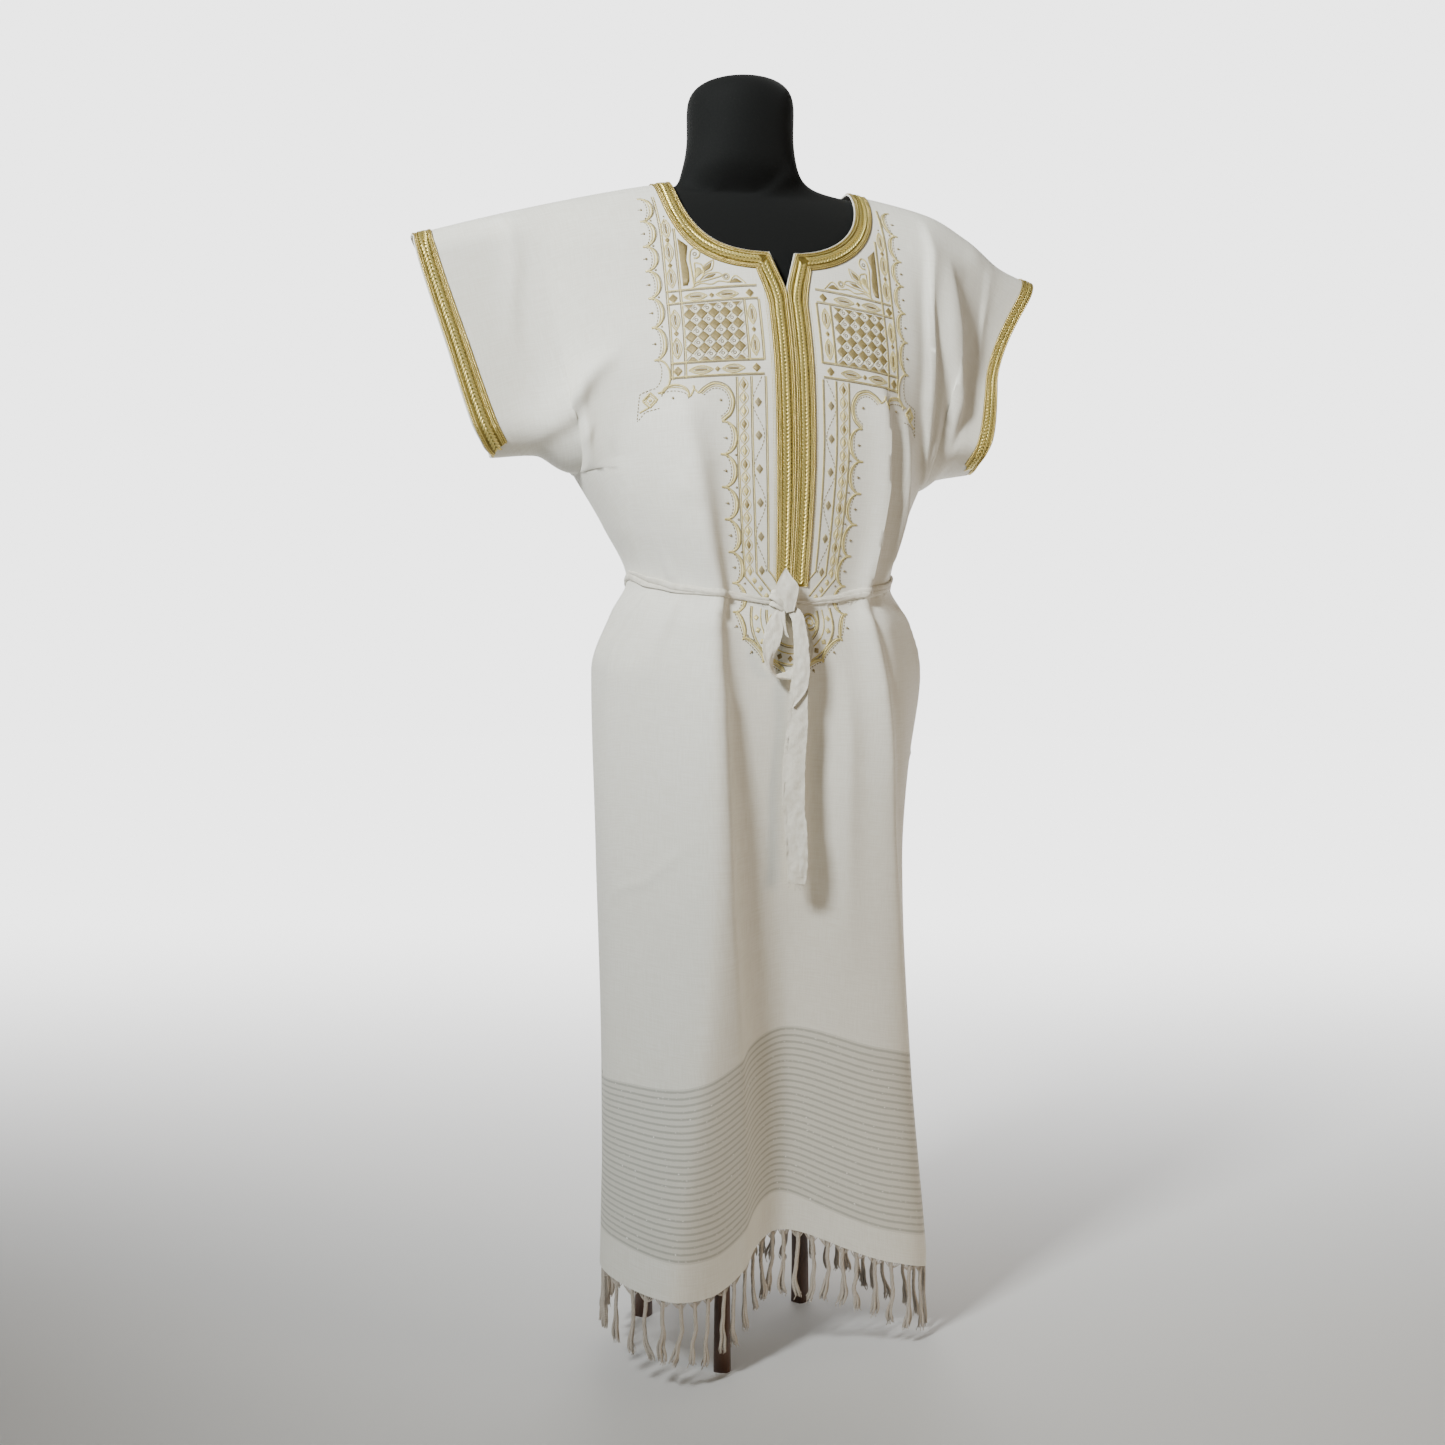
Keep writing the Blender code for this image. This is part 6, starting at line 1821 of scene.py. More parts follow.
scallops(lowest, -0.0080, 0.0010, 0.0075)
draw([(0.0110, 0.5500), (0.0050, 0.5490), (0.0, 0.5560)], "gold", 0.0011)


STITCH_LIFT = CLOTH / 2 + 0.00010


def hung_line(line, half):
    """A flat stitched line on the hung front, for swept."""
    line = resampled(line, THREAD_STEP)
    points, ups = on_cloth(line[:, 0], line[:, 1], STITCH_LIFT)
    return points, ups, half


# Each thread has painted shade between its ridges and a painted highlight on them
THREADS = {
    kind: metal_thread(f"embroidery_{label}", dark, bright, 0.0009, 0.0, metallic, roughness, 0.5)
    for kind, label, dark, bright, metallic, roughness in (
        ("gold", "pale_gold", (0.34, 0.265, 0.090), (0.86, 0.75, 0.37), 0.30, 0.42),
        ("cream", "cream", (0.50, 0.45, 0.30), (0.90, 0.86, 0.68), 0.15, 0.5),
        ("taupe", "taupe", (0.15, 0.120, 0.060), (0.36, 0.30, 0.17), 0.15, 0.5),
        ("brown", "brown", (0.13, 0.095, 0.030), (0.38, 0.295, 0.125), 0.25, 0.45),
    )
}
parts = []
for kind, lines in STITCHED.items():
    laid = [hung_line(line, half) for line, half in lines]
    parts.append(swept(f"stitches_{kind}", laid, THREADS[kind], 0.55, 6))


def satin(name, patches, material):
    """Padded patches of satin stitch, a little domed."""
    points, faces, runs = [], [], []
    for corners, _ in patches:
        corners = np.asarray(corners)
        middle = corners.mean(axis=0)
        rings = []
        for share, lift in ((1.0, -0.0002), (1.0, 0.00035), (0.72, 0.00065), (0.0, 0.00080)):
            outline = resampled([*corners, corners[0]], count=len(corners) * 3 + 1)[:-1]
            ring = middle + (outline - middle) * share
            hung_ring, _ = on_cloth(ring[:, 0], ring[:, 1], CLOTH / 2 + lift)
            rings.append((hung_ring if share else hung_ring[:1], ring if share else ring[:1]))
        first = len(points)
        count = len(rings[0][0])
        for hung_ring, ring in rings:
            points.extend(hung_ring)
            runs.extend(ring[:, 0] + ring[:, 1] * 0.25)
        turn = 0.0
        for (x1, y1), (x2, y2) in zip(corners, np.roll(corners, -1, axis=0)):
            turn += x1 * y2 - x2 * y1
        made = []
        for r in range(2):
            for k in range(count):
                a, b = first + r * count + k, first + r * count + (k + 1) % count
                made.append((a, b, b + count, a + count))
        top = first + 3 * count
        made += [(first + 2 * count + k, first + 2 * count + (k + 1) % count, top) for k in range(count)]
        faces += made if turn < 0 else [tuple(reversed(f)) for f in made]
    made = mesh_object(name, points, faces, material)
    with_values(made, "run", runs)
    with_values(made, "around", np.zeros(len(runs)))
    return made


for kind in THREADS:
    patches = [p for p in FILLED if p[1] == kind]
    if patches:
        parts.append(satin(f"satin_{kind}", patches, THREADS[kind]))


def knot_piece():
    """A small dome, 1 wide and 1 high before it is scaled."""
    points, faces = [(0.0, 0.0, 0.5)], []
    for level in (0.35, 0.75, 1.0):
        for k in range(8):
            angle = 2 * math.pi * k / 8
            z = 0.5 * math.sqrt(max(0.0, 1 - level * level)) if level < 1 else -0.2
            points.append((0.5 * level * math.cos(angle), 0.5 * level * math.sin(angle), z))
    faces += [(0, 1 + k, 1 + (k + 1) % 8) for k in range(8)]
    faces += ring_faces(2, 8, 1)
    return mesh_object("thread_knot", points, faces, None)


KNOT_PIECE = knot_piece()
dots = np.array(DOTS)
dot_points, dot_ups = on_cloth(dots[:, 0], dots[:, 1], CLOTH / 2 + 0.0002)
alongs = np.tile((0.0, 0.0, 1.0), (len(dots), 1))
sizes = np.stack([dots[:, 2] * 2, dots[:, 2] * 2, dots[:, 2] * 1.4], axis=-1)
parts.append(placed("thread_knots", KNOT_PIECE, dot_points, dot_ups, alongs, sizes, THREADS["taupe"]))
bpy.data.objects.remove(KNOT_PIECE)
embroidery = joined("embroidery", parts)
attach(embroidery, "root")

# Tie round the waist
# A narrow tie cut from the dress's own cloth, raw at its edges. Round the waist it is folded and a
# little twisted, so that it shows as two strands beside each other with a narrow one between.
TIE_RISE = 0.0085       # in rows t, how far the tie rises towards the right side
tie_cloth, tie_shader = plain("tie_cotton", (0.74, 0.71, 0.64), 0.85)
tie_shader.inputs["Sheen Weight"].default_value = 0.10
tie_shader.inputs["Specular IOR Level"].default_value = 0.25
tree = tie_cloth.node_tree
tie_place = tree.nodes.new("ShaderNodeTexCoord")
tie_weave = grouped(tree, weave)
tree.links.new(tie_place.outputs["Object"], tie_weave.inputs["Cut"])
# Painted light and shade of small crumples: the noise that lifts the cloth also makes it lighter or darker
crumple = noise(tree, tie_place.outputs["Object"], 150.0, 4.0)
painted_crumple_shade = mix_color(tree, crumple, (0.55, 0.51, 0.42), (0.86, 0.835, 0.76))
tree.links.new(painted_crumple_shade, tie_shader.inputs["Base Color"])
tie_height = sum_up(tree, "MULTIPLY_ADD", crumple, 5.0, tie_weave.outputs["Height"])
bump(tree, tie_shader, tie_height, 0.6, 0.0004)

body = np.linspace(-1.0, 1.0, 210, endpoint=False)


def waist_line(shift, lift):
    """A closed line round the waist, a shift down the cloth from the belt's middle."""
    ahead = hung(FRONT, body, BELT_ROW + shift(body), lift(body))
    behind = hung(BACK, -body, BELT_ROW + shift(2.0 + body), lift(2.0 + body))
    return tuple(np.concatenate([a, b]) for a, b in zip(ahead, behind))


def pulled(run):
    """How wide the tie lies round the waist: the knot pulls it thin."""
    places = (-0.50, -0.35, -0.19, -0.06, 0.02, 0.23, 0.40)
    return np.interp(run, places, (1.0, 0.84, 0.58, 0.55, 0.55, 0.90, 1.0))


def tie_shift(run, side, phase):
    """How far down one strand of the tie lies from the belt's middle, in rows t."""
    rise = -TIE_RISE * ease(0.05, 0.75, run) * (1 - ease(0.95, 1.35, run))
    slow = 0.0012 * np.sin(run * math.pi * 3.0 + phase)
    quick = 0.0006 * np.sin(run * 19.0 * math.pi / 2)
    return rise + pulled(run) * (side * 0.0027 + slow + quick)


strands = []
for phase, side, half in ((0.4, -1.0, 0.0033), (2.3, 1.0, 0.0031), (4.0, 0.15, 0.0022)):
    points, ups = waist_line(
        lambda run: tie_shift(run, side, phase),
        lambda run: CLOTH / 2 + 0.0014 + 0.0006 * np.cos(run * math.pi * 3.0 + phase),
    )
    roll = 0.35 * np.sin(np.linspace(0, 10 * math.pi, len(points)) + phase)
    tangent = unit(np.roll(points, -1, axis=0) - np.roll(points, 1, axis=0))
    rolled = ups * np.cos(roll)[:, None] + np.cross(tangent, ups) * np.sin(roll)[:, None]
    strands.append((points, rolled, half * pulled(np.linspace(-1.0, 3.0, len(points), endpoint=False))))
belt = swept("tie_round_waist", strands, tie_cloth, 0.40, 12, closed=True)
chance = np.random.default_rng(5)
frays = []
for s in np.concatenate([chance.uniform(0.15, 0.98, 46), chance.uniform(-0.98, -0.1, 10)]):
    long = chance.uniform(0.002, 0.006)
    rows = BELT_ROW + 0.0054 * pulled(s) - TIE_RISE * ease(0.05, 0.75, s)
    rows = rows + np.linspace(0, long / (LENGTH - ARMHOLE_DROP[0][1]), 4)
    drift = s + np.linspace(0, chance.uniform(-0.012, 0.012), 4)
    points, ups = hung(FRONT, drift, rows, CLOTH / 2 + np.linspace(0.0018, 0.0010, 4))
    frays.append((points, ups, 0.00016))
belt = joined("tie_round_waist", [belt, swept("tie_frays", frays, tie_cloth, 1.0, 4)])
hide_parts("belt_band")

# Bow of the tie
# The knot, one open loop, a short end that is folded up into a point, and a long end with raw edges.
KNOT_HALF = (0.0120, 0.0060, 0.0115)
knot_flat = (-0.008, float(flat_of(np.array([0.0]), np.array([BELT_ROW]))[1][0]))
knot_base, _ = on_cloth(np.array([knot_flat[0]]), np.array([knot_flat[1]]), ON_CLOTH + 0.0020)
KNOT_AT = np.array((0.0015, knot_base[0][1] - SEAM_GAP - KNOT_HALF[1], knot_base[0][2] + 0.0005))
KNOT_F = MIDDLE_Y - KNOT_AT[1]


def at(x, f, z):
    """A place given as x, forward of the form's middle, and height."""
    return (x, MIDDLE_Y - f, z)


def ribbon(name, stations, fold=0.0, ragged=0.0, seed=1, columns=13, pitch=0.0015):
    """A soft tape through stations: place, half width, turn about its run, cupping across it.

    A turn of 0 lays it flat to the front, 90 shows its edge.
    """
    table = np.array([(*place, half, turn, cup) for place, half, turn, cup in stations], float)
    run = run_along(table[:, :3])
    fine = np.arange(0.0, run[-1] + pitch / 2, pitch)
    rows = np.stack([smooth_curve(fine, run, table[:, k]) for k in range(6)], axis=-1)
    for _ in range(3):
        rows[1:-1] = (rows[:-2] + 2 * rows[1:-1] + rows[2:]) / 4
    places = rows[:, :3]
    ahead = unit(np.gradient(places, axis=0))
    across = unit(np.cross(ahead, (0.0, -1.0, 0.0)))
    up = np.cross(across, ahead)
    angle = np.radians(rows[:, 4])[:, None]
    side = across * np.cos(angle) + up * np.sin(angle)
    out = np.cross(side, ahead)
    chance = np.random.default_rng(seed)
    waves = [
        (chance.uniform(90, 140), -2.4),
        (chance.uniform(190, 260), 4.4),
        (chance.uniform(310, 420), -6.2),
    ]
    starts = chance.uniform(0, 6, len(waves))
    lines = []
    for u in np.linspace(-1.0, 1.0, columns):
        edge = 1.0
        if ragged and abs(u) == 1.0:
            edge = 1.0 + ragged * np.convolve(chance.uniform(-1, 1, len(fine) + 2), (0.25, 0.5, 0.25), "valid")
        lift = rows[:, 5] * (1 - u * u)
        for n, (wave, slope) in enumerate(waves):
            lift = lift + fold * (1 - 0.6 * u * u) / (n + 1) * np.sin(fine * wave + u * slope + starts[n])
        reach = (rows[:, 3] * u * edge)[:, None]
        lines.append((places + side * reach + out * lift[:, None], out))
    rolled = [0.0011, 0.0008] + [0.0004] * (columns - 4) + [0.0008, 0.0011]
    made = band(name, lines, rolled, -0.0005, tie_cloth)
    made.data.set_sharp_from_angle(angle=math.radians(80))
    return made


knot_low = KNOT_AT[2] - KNOT_HALF[2]
knot_face = KNOT_F + KNOT_HALF[1]
loop = [
    (at(-0.0085, KNOT_F + 0.0005, knot_low + 0.0050), 0.0030, -10, 0.0006),
    (at(-0.0120, KNOT_F + 0.0030, 0.7780), 0.0050, -16, 0.0010),
    (at(-0.0150, KNOT_F + 0.0048, 0.7640), 0.0093, -20, 0.0016),
    (at(-0.0186, KNOT_F + 0.0055, 0.7500), 0.0086, -14, 0.0014),
    (at(-0.0216, KNOT_F + 0.0058, 0.7370), 0.0056, 5, 0.0010),
    (at(-0.0190, KNOT_F + 0.0055, 0.7250), 0.0042, 35, 0.0006),
    (at(-0.0110, KNOT_F + 0.0048, 0.7165), 0.0040, 60, 0.0004),
    (at(0.0000, KNOT_F + 0.0035, 0.7170), 0.0052, 45, 0.0004),
    (at(0.0110, KNOT_F + 0.0015, 0.7225), 0.0062, 25, 0.0006),
    (at(0.0215, KNOT_F + 0.0005, 0.7340), 0.0062, 28, 0.0010),
    (at(0.0245, KNOT_F, 0.7480), 0.0058, 22, 0.0010),
    (at(0.0210, KNOT_F - 0.0005, 0.7620), 0.0052, 18, 0.0008),
    (at(0.0120, KNOT_F - 0.0010, 0.7740), 0.0040, 12, 0.0006),
    (at(0.0060, KNOT_F - 0.0010, knot_low + 0.0050), 0.0026, 10, 0.0004),
]
belt_loop = ribbon("tie_loop", loop, 0.00055, 0.05, 21)
inner = [
    (at(-0.0072, KNOT_F + 0.0030, knot_low + 0.0030), 0.0040, -16, 0.0004),
    (at(-0.0064, KNOT_F + 0.0052, 0.7730), 0.0036, -20, 0.0008),
    (at(-0.0040, KNOT_F + 0.0062, 0.7640), 0.0022, -26, 0.0006),
    (at(0.0004, KNOT_F + 0.0066, 0.7570), 0.0006, -34, 0.0002),
]
# The half of the loop that is folded under shows as a second edge behind the first
under = [((x, y + 0.0013, z), 0.86 * half, turn + 7, cup) for (x, y, z), half, turn, cup in loop]
loop_parts = [
    belt_loop,
    ribbon("tie_loop_under", under, 0.0003, 0.05, 23),
    ribbon("tie_loop_inner", inner, 0.0003, 0.05, 22, 7),
]
belt_loop = joined("tie_loop", loop_parts)
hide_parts("belt_loop")
tail = [
    (at(0.0040, KNOT_F + 0.0040, knot_low + 0.0040), 0.0048, -12, 0.0008),
    (at(0.0098, KNOT_F + 0.0085, 0.7764), 0.0066, -16, 0.0014),
    (at(0.0124, KNOT_F + 0.0112, 0.7467), 0.0076, -18, 0.0016),
    (at(0.0126, KNOT_F + 0.0110, 0.7246), 0.0080, -18, 0.0014),
    (at(0.0106, KNOT_F + 0.0100, 0.7060), 0.0091, -20, 0.0010),
    (at(0.0100, KNOT_F + 0.0086, 0.6874), 0.0096, -22, 0.0008),
    (at(0.0100, KNOT_F + 0.0074, 0.6737), 0.0104, -22, 0.0010),
    (at(0.0090, KNOT_F + 0.0057, 0.6523), 0.0111, -20, 0.0014),
    (at(0.0068, KNOT_F + 0.0048, 0.6250), 0.0115, -20, 0.0014),
    (at(0.0064, KNOT_F + 0.0042, 0.5980), 0.0117, -22, 0.0012),
    (at(0.0080, KNOT_F + 0.0036, 0.5734), 0.0108, -24, 0.0010),
    (at(0.0101, KNOT_F + 0.0026, 0.5435), 0.0110, -20, 0.0010),
    (at(0.0114, KNOT_F + 0.0023, 0.5163), 0.0101, -18, 0.0008),
    (at(0.0108, KNOT_F + 0.0022, 0.5040), 0.0088, -16, 0.0008),
]
tail_parts = [ribbon("tie_long_end", tail, 0.00035, 0.05, 31, 15)]
# Where the long end is folded lengthwise its upper layer ends in a slanting edge
upper_layer = [
    (at(0.0098, KNOT_F + 0.0104, 0.7740), 0.0058, -18, 0.0012),
    (at(0.0122, KNOT_F + 0.0134, 0.7467), 0.0072, -20, 0.0014),
    (at(0.0126, KNOT_F + 0.0134, 0.7260), 0.0076, -22, 0.0012),
    (at(0.0104, KNOT_F + 0.0124, 0.7090), 0.0084, -24, 0.0008),
    (at(0.0070, KNOT_F + 0.0112, 0.6970), 0.0056, -26, 0.0006),
    (at(0.0036, KNOT_F + 0.0100, 0.6860), 0.0008, -26, 0.0002),
]
tail_parts.append(ribbon("tie_upper_layer", upper_layer, 0.0004, 0.05, 32))
lower_layer = [
    (at(0.0122, KNOT_F + 0.0058, 0.5800), 0.0012, -22, 0.0002),
    (at(0.0134, KNOT_F + 0.0060, 0.5700), 0.0062, -26, 0.0010),
    (at(0.0150, KNOT_F + 0.0054, 0.5450), 0.0066, -30, 0.0014),
    (at(0.0162, KNOT_F + 0.0046, 0.5230), 0.0056, -30, 0.0012),
    (at(0.0168, KNOT_F + 0.0040, 0.5110), 0.0040, -26, 0.0006),
]
tail_parts.append(ribbon("tie_lower_layer", lower_layer, 0.0004, 0.08, 33))
wisps = []
rows = np.array([(*place, half) for place, half, _, _ in tail])[::-1]
for _ in range(34):
    z = chance.uniform(0.505, 0.70)
    x, y, half = (float(np.interp(z, rows[:, 2], rows[:, k])) for k in (0, 1, 3))
    way = chance.choice((-1, 1))
    start = np.array((x + way * half * 0.96, y, z))
    reach = np.array((
        way * chance.uniform(0.0010, 0.0040), chance.uniform(-0.001, 0.001), -chance.uniform(0.001, 0.006),
    ))
    u = np.linspace(0, 1, 5)[:, None]
    bend = np.array((0.0, 0.0, -1.0)) * chance.uniform(0.0, 0.003)
    wisps.append((start + reach * u + bend * u * u, np.tile((0.0, -1.0, 0.0), (5, 1)), 0.00016))
for _ in range(22):
    x = 0.0108 + chance.uniform(-0.0085, 0.0085)
    start = np.array((x, MIDDLE_Y - KNOT_F - 0.0020, 0.5040))
    u = np.linspace(0, 1, 5)[:, None]
    reach = np.array((chance.uniform(-0.0018, 0.0018), 0.0, -chance.uniform(0.003, 0.008)))
    wisps.append((start + reach * u, np.tile((0.0, -1.0, 0.0), (5, 1)), 0.00018))
tail_parts.append(swept("tie_wisps", wisps, tie_cloth, 1.0, 4))
belt_tail = joined("tie_long_end", tail_parts)
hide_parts("belt_tail")
flap_f = knot_face + SEAM_GAP + 0.0007
flap = [
    (at(0.0020, flap_f, 0.7830), 0.0040, 18, 0.0006),
    (at(0.0000, flap_f + 0.0004, 0.7920), 0.0076, 18, 0.0010),
    (at(-0.0010, flap_f + 0.0008, 0.8000), 0.0102, 18, 0.0014),
    (at(-0.0020, flap_f + 0.0008, 0.8075), 0.0122, 18, 0.0014),
    (at(-0.0030, flap_f + 0.0004, 0.8170), 0.0068, 18, 0.0008),
    (at(-0.0031, flap_f - 0.0008, 0.8276), 0.0004, 18, 0.0002),
]
belt_end = ribbon("tie_short_end", flap, 0.0003, 0.03, 41)
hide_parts("belt_end_short")


def wrap(centre, half_x, depth, tilt, half):
    """One turn of the tie round the knot, as a closed flattened strand."""
    angle = np.linspace(0, 2 * math.pi, 40, endpoint=False)
    across = np.stack([half_x * np.cos(angle), -depth * np.sin(angle)], axis=-1)
    points = np.stack([
        centre[0] + across[:, 0] * math.cos(tilt),
        centre[1] + across[:, 1],
        centre[2] + across[:, 0] * math.sin(tilt),
    ], axis=-1)
    out = np.stack([np.cos(angle) * math.cos(tilt), -np.sin(angle), np.cos(angle) * math.sin(tilt)], axis=-1)
    return points, out, half


knot_strands = [
    wrap(KNOT_AT + (-0.0082, 0.0, 0.0046), 0.0098, 0.0050, -0.62, 0.0030),
    wrap(KNOT_AT + (-0.0104, -0.0008, -0.0006), 0.0100, 0.0052, -0.66, 0.0032),
    wrap(KNOT_AT + (-0.0096, -0.0002, -0.0062), 0.0092, 0.0046, -0.50, 0.0028),
    wrap(KNOT_AT + (0.0010, 0.0016, -0.0010), 0.0086, 0.0044, -0.30, 0.0040),
]
knot = swept("tie_knot", knot_strands, tie_cloth, 0.45, 14, closed=True)
# A rounded core closes the knot behind its turns
core_points, core_faces = [], []
for i in range(1, 12):
    polar = math.pi * i / 12
    for k in range(20):
        angle = 2 * math.pi * k / 20
        core_points.append(KNOT_AT + np.array((
            0.78 * KNOT_HALF[0] * math.sin(polar) * math.cos(angle) - 0.0040,
            0.60 * KNOT_HALF[1] * math.sin(polar) * math.sin(angle),
            -0.76 * KNOT_HALF[2] * math.cos(polar),
        )))
for i in range(10):
    for k in range(20):
        a, b = i * 20 + k, i * 20 + (k + 1) % 20
        core_faces.append((a, b, b + 20, a + 20))
core_faces += [tuple(reversed(range(20))), tuple(200 + k for k in range(20))]
knot = joined("tie_knot", [knot, mesh_object("knot_core", core_points, core_faces, tie_cloth)])
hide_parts("belt_knot")
tie_pieces = (belt, belt_loop, belt_tail, belt_end, knot)
for made in tie_pieces:
    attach(made, "root")

# Fringe
# The cloth's own warp ends below each hem, twisted by hand into strands that open into loose ends.
STRIP_DEEP = 0.0050
FRINGE_LONG = (0.053, 0.063)
SWAY = 0.0036
ROOT_PLACE = (0.35, 0.65)
HEM_CELLS = 30          # strands along each panel's hem

yarn, yarn_shader = plain("warp_yarn", (0.64, 0.59, 0.53), 0.9)
yarn_shader.inputs["Sheen Weight"].default_value = 0.15
yarn_shader.inputs["Specular IOR Level"].default_value = 0.2
tree = yarn.node_tree
yarn_turn = grouped(tree, thread, Ridge=0.0016, Slant=1.0)
yarn_tint = mix_color(tree, yarn_turn.outputs["Worn"], (0.44, 0.39, 0.335), (0.64, 0.585, 0.51))
# Painted shade in the grooves of the twist
yarn_groove_shade = mix_color(tree, yarn_turn.outputs["Height"], (0.37, 0.325, 0.275), yarn_tint)
tree.links.new(yarn_groove_shade, yarn_shader.inputs["Base Color"])
bump(tree, yarn_shader, yarn_turn.outputs["Height"], 0.25, 0.0004)


def hem_frame(face):
    """Places along a hem, with the way out and the way down there."""
    s = np.linspace(-1.0, 1.0, HEM_CELLS + 1)
    hem, out = hung(face, s, np.full_like(s, 2.0))
    above, _ = hung(face, s, np.full_like(s, 1.99))
    return hem, out, unit(hem - above)


def strand_lines(top, along, through, long, lean, chance):
    """Plies of one twisted strand and its loose ends below."""
    lines = []
    turns = chance.uniform(1.6, 3.4)
    start = chance.uniform(0, 2 * math.pi)
    knee = chance.uniform(0.45, 0.75)
    u = np.linspace(0.0, 1.0, 26)
    lean_side = np.interp(u, (0.0, 0.45, 1.0), (0.0, lean[0][0] * 0.45, lean[1][0]))
    lean_out = np.interp(u, (0.0, 0.45, 1.0), (0.0, lean[0][1] * 0.27, lean[1][1] * 0.6))
    slow = 0.0026 * np.sin(u * chance.uniform(4, 8) + chance.uniform(0, 6))
    wobble = u * (slow + 0.0009 * np.sin(u * chance.uniform(12, 20)))
    spine = top + along * (lean_side + wobble)[:, None] + through * lean_out[:, None]
    spine[:, 2] -= long * u
    for ply in range(4):
        turn = start + ply * math.pi / 2 + turns * 2 * math.pi * np.minimum(u, knee)
        open_up = ease(knee - 0.08, 1.0, u)
        spread = 0.00100 + 0.0021 * open_up
        drift = chance.uniform(-0.0020, 0.0020, 2)
        sideways = np.cos(turn) * spread + drift[0] * open_up
        outward = np.sin(turn) * spread * 0.75 + drift[1] * open_up * 0.6
        half = np.interp(u, (0.0, 0.1, knee, 0.90, 1.0), (0.0011, 0.0013, 0.0014, 0.0017, 0.0005))
        line = spine + along * sideways[:, None] + through * outward[:, None]
        lines.append((line, np.tile(through, (len(u), 1)), half))
    for _ in range(9):
        cut_at = chance.uniform(0.50, 0.8)
        v = np.linspace(cut_at, 1.0 + chance.uniform(-0.06, 0.06), 9)
        centre = np.stack([np.interp(v, u, spine[:, k]) for k in range(3)], axis=-1)
        centre[:, 2] = top[2] - long * v
        flare = (v - cut_at)[:, None] / (1 - cut_at)
        way = along * chance.uniform(-0.0040, 0.0040) + through * chance.uniform(-0.0026, 0.0026)
        curl = along * (0.0016 * flare[:, 0] * np.sin(v * 26 + chance.uniform(0, 6)))[:, None]
        lines.append((centre + way * flare + curl, np.tile(through, (9, 1)), 0.00042))
    return lines


for face, seed, old in ((FRONT, 11, "fringe_front"), (BACK, 12, "fringe_back")):
    chance = np.random.default_rng(seed)
    loose = np.random.default_rng(seed + 40)
    hem, out, down = hem_frame(face)
    lines = []
    for k in range(HEM_CELLS):
        middle = chance.uniform(*ROOT_PLACE)
        long = chance.uniform(*FRINGE_LONG)
        lean = chance.uniform(-SWAY, SWAY, (2, 2))
        place, way_out, way_down = (a[k] + (a[k + 1] - a[k]) * middle for a in (hem, out, down))
        along = (hem[k + 1] - hem[k]) * (1, 1, 0)
        along /= np.linalg.norm(along)
        through = way_out * (1, 1, 0)
        through -= along * np.dot(through, along)
        through /= np.linalg.norm(through)
        lines += strand_lines(place + way_down * 0.001, along, through, long + STRIP_DEEP, lean, loose)
        for share in np.linspace(0.06, 0.94, 7):
            root = hem[k] + (hem[k + 1] - hem[k]) * share
            gather = place + way_down * 0.0065 + along * (share - middle) * 0.0012
            v = np.linspace(0, 1, 6)[:, None]
            line = root + (gather - root) * v + way_down * 0.0012 * np.sin(v * math.pi)
            lines.append((line, np.tile(through, (6, 1)), 0.00055))
    fringe = swept(f"yarn_{old}", lines, yarn, 0.9, 5)
    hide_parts(old)
    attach(fringe, "root")

# Dress form
# A limbless padded body under a stretched black jersey cover, matt with a faint knit.
jersey, jersey_shader = plain("black_jersey", (0.004, 0.0044, 0.0044), 0.8)
jersey_shader.inputs["Specular IOR Level"].default_value = 0.12
jersey_shader.inputs["Sheen Weight"].default_value = 0.05
tree = jersey.node_tree
jersey_place = tree.nodes.new("ShaderNodeTexCoord")
rib = tree.nodes.new("ShaderNodeTexWave")
rib.inputs["Scale"].default_value = 260.0
rib.inputs["Distortion"].default_value = 1.5
tree.links.new(jersey_place.outputs["Object"], rib.inputs["Vector"])
pill = noise(tree, jersey_place.outputs["Object"], 900.0, 2.0)
knit = sum_up(tree, "MULTIPLY_ADD", rib.outputs["Fac"], 0.6, pill)
jersey_tint = mix_color(tree, pill, (0.0026, 0.0029, 0.0029), (0.0062, 0.0068, 0.0068))
tree.links.new(jersey_tint, jersey_shader.inputs["Base Color"])
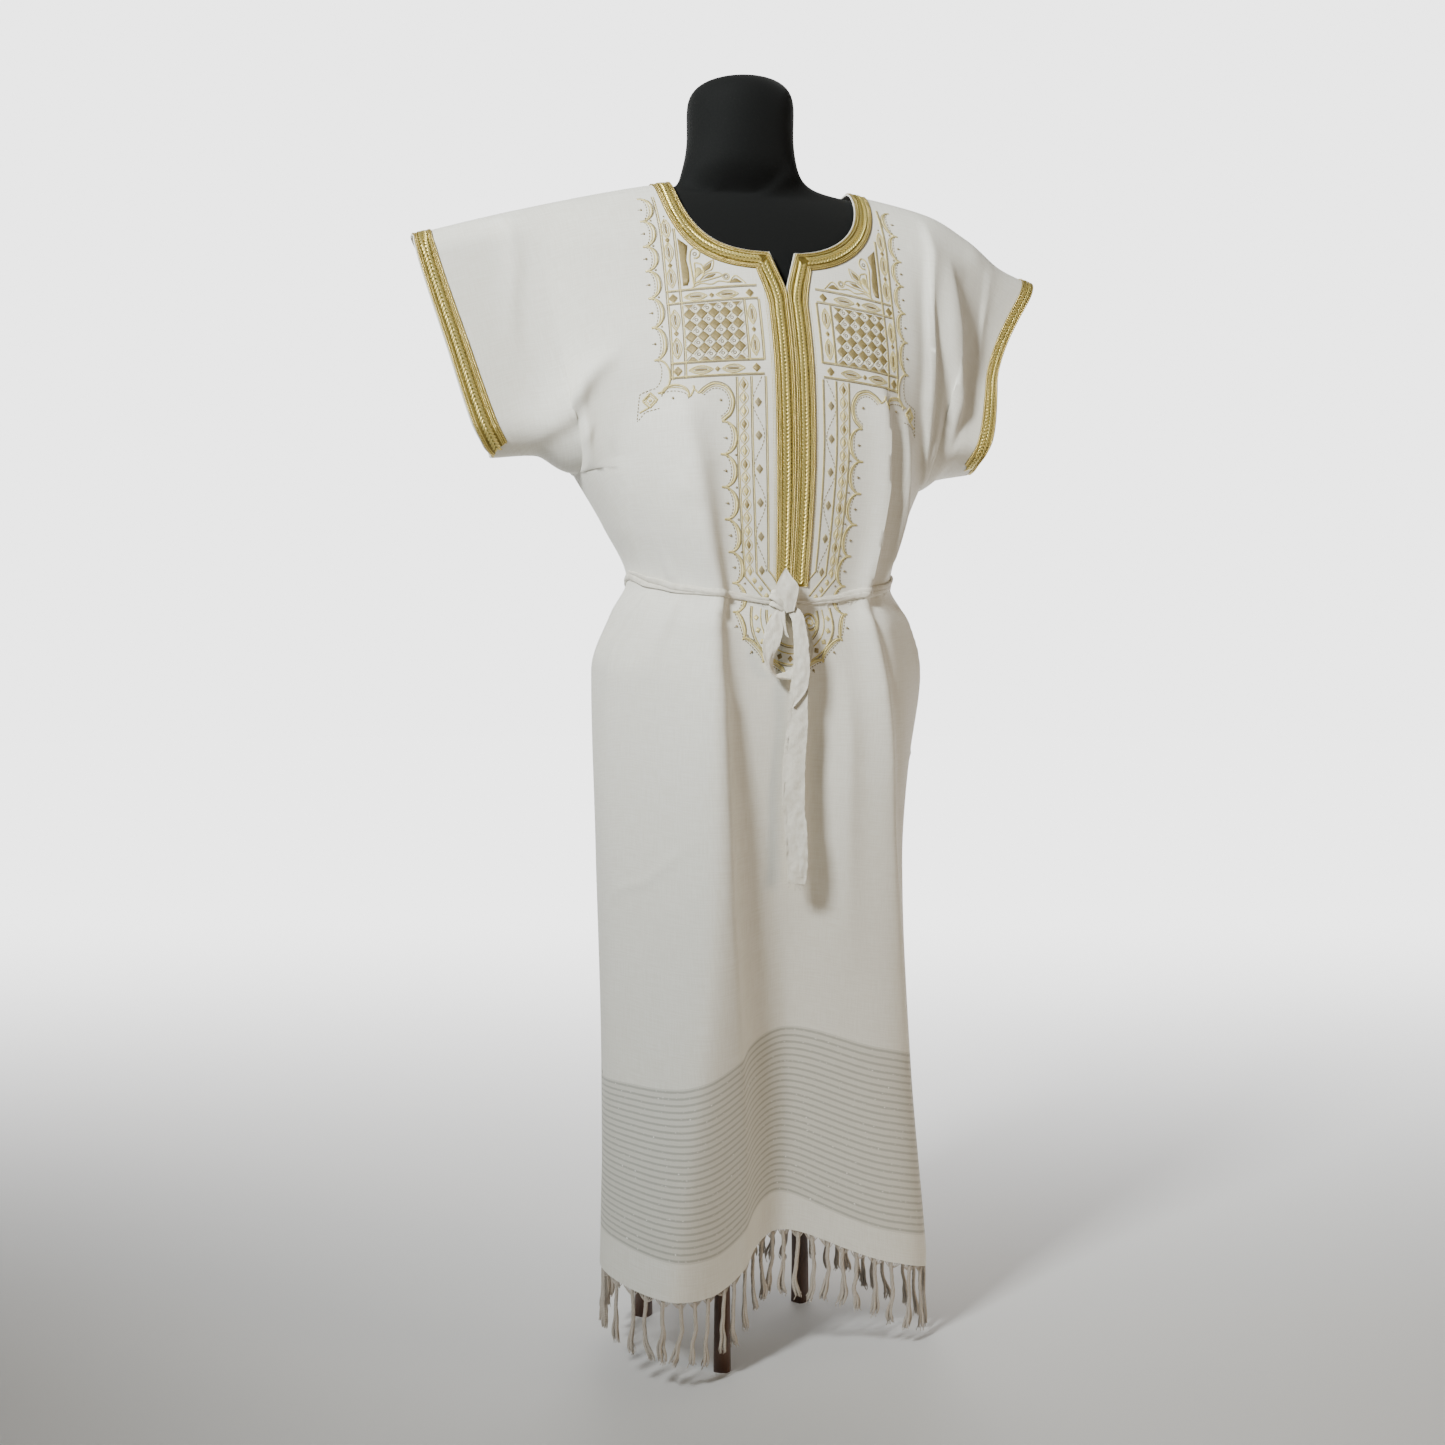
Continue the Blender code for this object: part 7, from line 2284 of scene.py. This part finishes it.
bump(tree, jersey_shader, knit, 0.25, 0.0003)


def smooth_copy(name, old, material, levels, angle):
    """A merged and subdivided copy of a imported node."""
    source = bpy.data.objects[old]
    mesh = source.data.copy()
    made = in_scene(name, mesh)
    made.matrix_world = source.matrix_world
    grown = bmesh.new()
    grown.from_mesh(mesh)
    bmesh.ops.remove_doubles(grown, verts=grown.verts, dist=1e-5)
    bmesh.ops.join_triangles(
        grown, faces=grown.faces, angle_face_threshold=math.radians(40), angle_shape_threshold=math.radians(60)
    )
    grown.to_mesh(mesh)
    grown.free()
    if levels:
        rounder = made.modifiers.new("Rounder", "SUBSURF")
        rounder.levels = rounder.render_levels = levels
        graph = bpy.context.evaluated_depsgraph_get()
        finer = bpy.data.meshes.new_from_object(made.evaluated_get(graph))
        made.modifiers.remove(rounder)
        made.data = finer
        bpy.data.meshes.remove(mesh)
    made.data.materials.clear()
    made.data.materials.append(material)
    made.data.shade_smooth()
    if angle:
        made.data.set_sharp_from_angle(angle=math.radians(angle))
    return made


form = smooth_copy("jersey_form", "form_torso", jersey, 2, 0.0)
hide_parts("form_torso")
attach(form, "root")

# Stand
# A dark stained wooden tripod: pole, turned hub and three bent legs.
wood, wood_shader = plain("dark_wood", (0.07, 0.035, 0.02), 0.42)
tree = wood.node_tree
wood_place = tree.nodes.new("ShaderNodeTexCoord")
lengthwise = tree.nodes.new("ShaderNodeMapping")
lengthwise.inputs["Scale"].default_value = (140.0, 140.0, 7.0)
tree.links.new(wood_place.outputs["Object"], lengthwise.inputs["Vector"])
figure = noise(tree, lengthwise.outputs[0], 1.0, 4.0)
wood_tint = mix_color(tree, figure, (0.035, 0.016, 0.009), (0.13, 0.062, 0.034))
tree.links.new(wood_tint, wood_shader.inputs["Base Color"])
bump(tree, wood_shader, figure, 0.2, 0.0005)
for old in ("stand_pole", "stand_hub", "stand_leg_front", "stand_leg_right", "stand_leg_left"):
    made = smooth_copy(f"wood_{old}", old, wood, 0, 42.0)
    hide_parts(old)
    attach(made, "root")
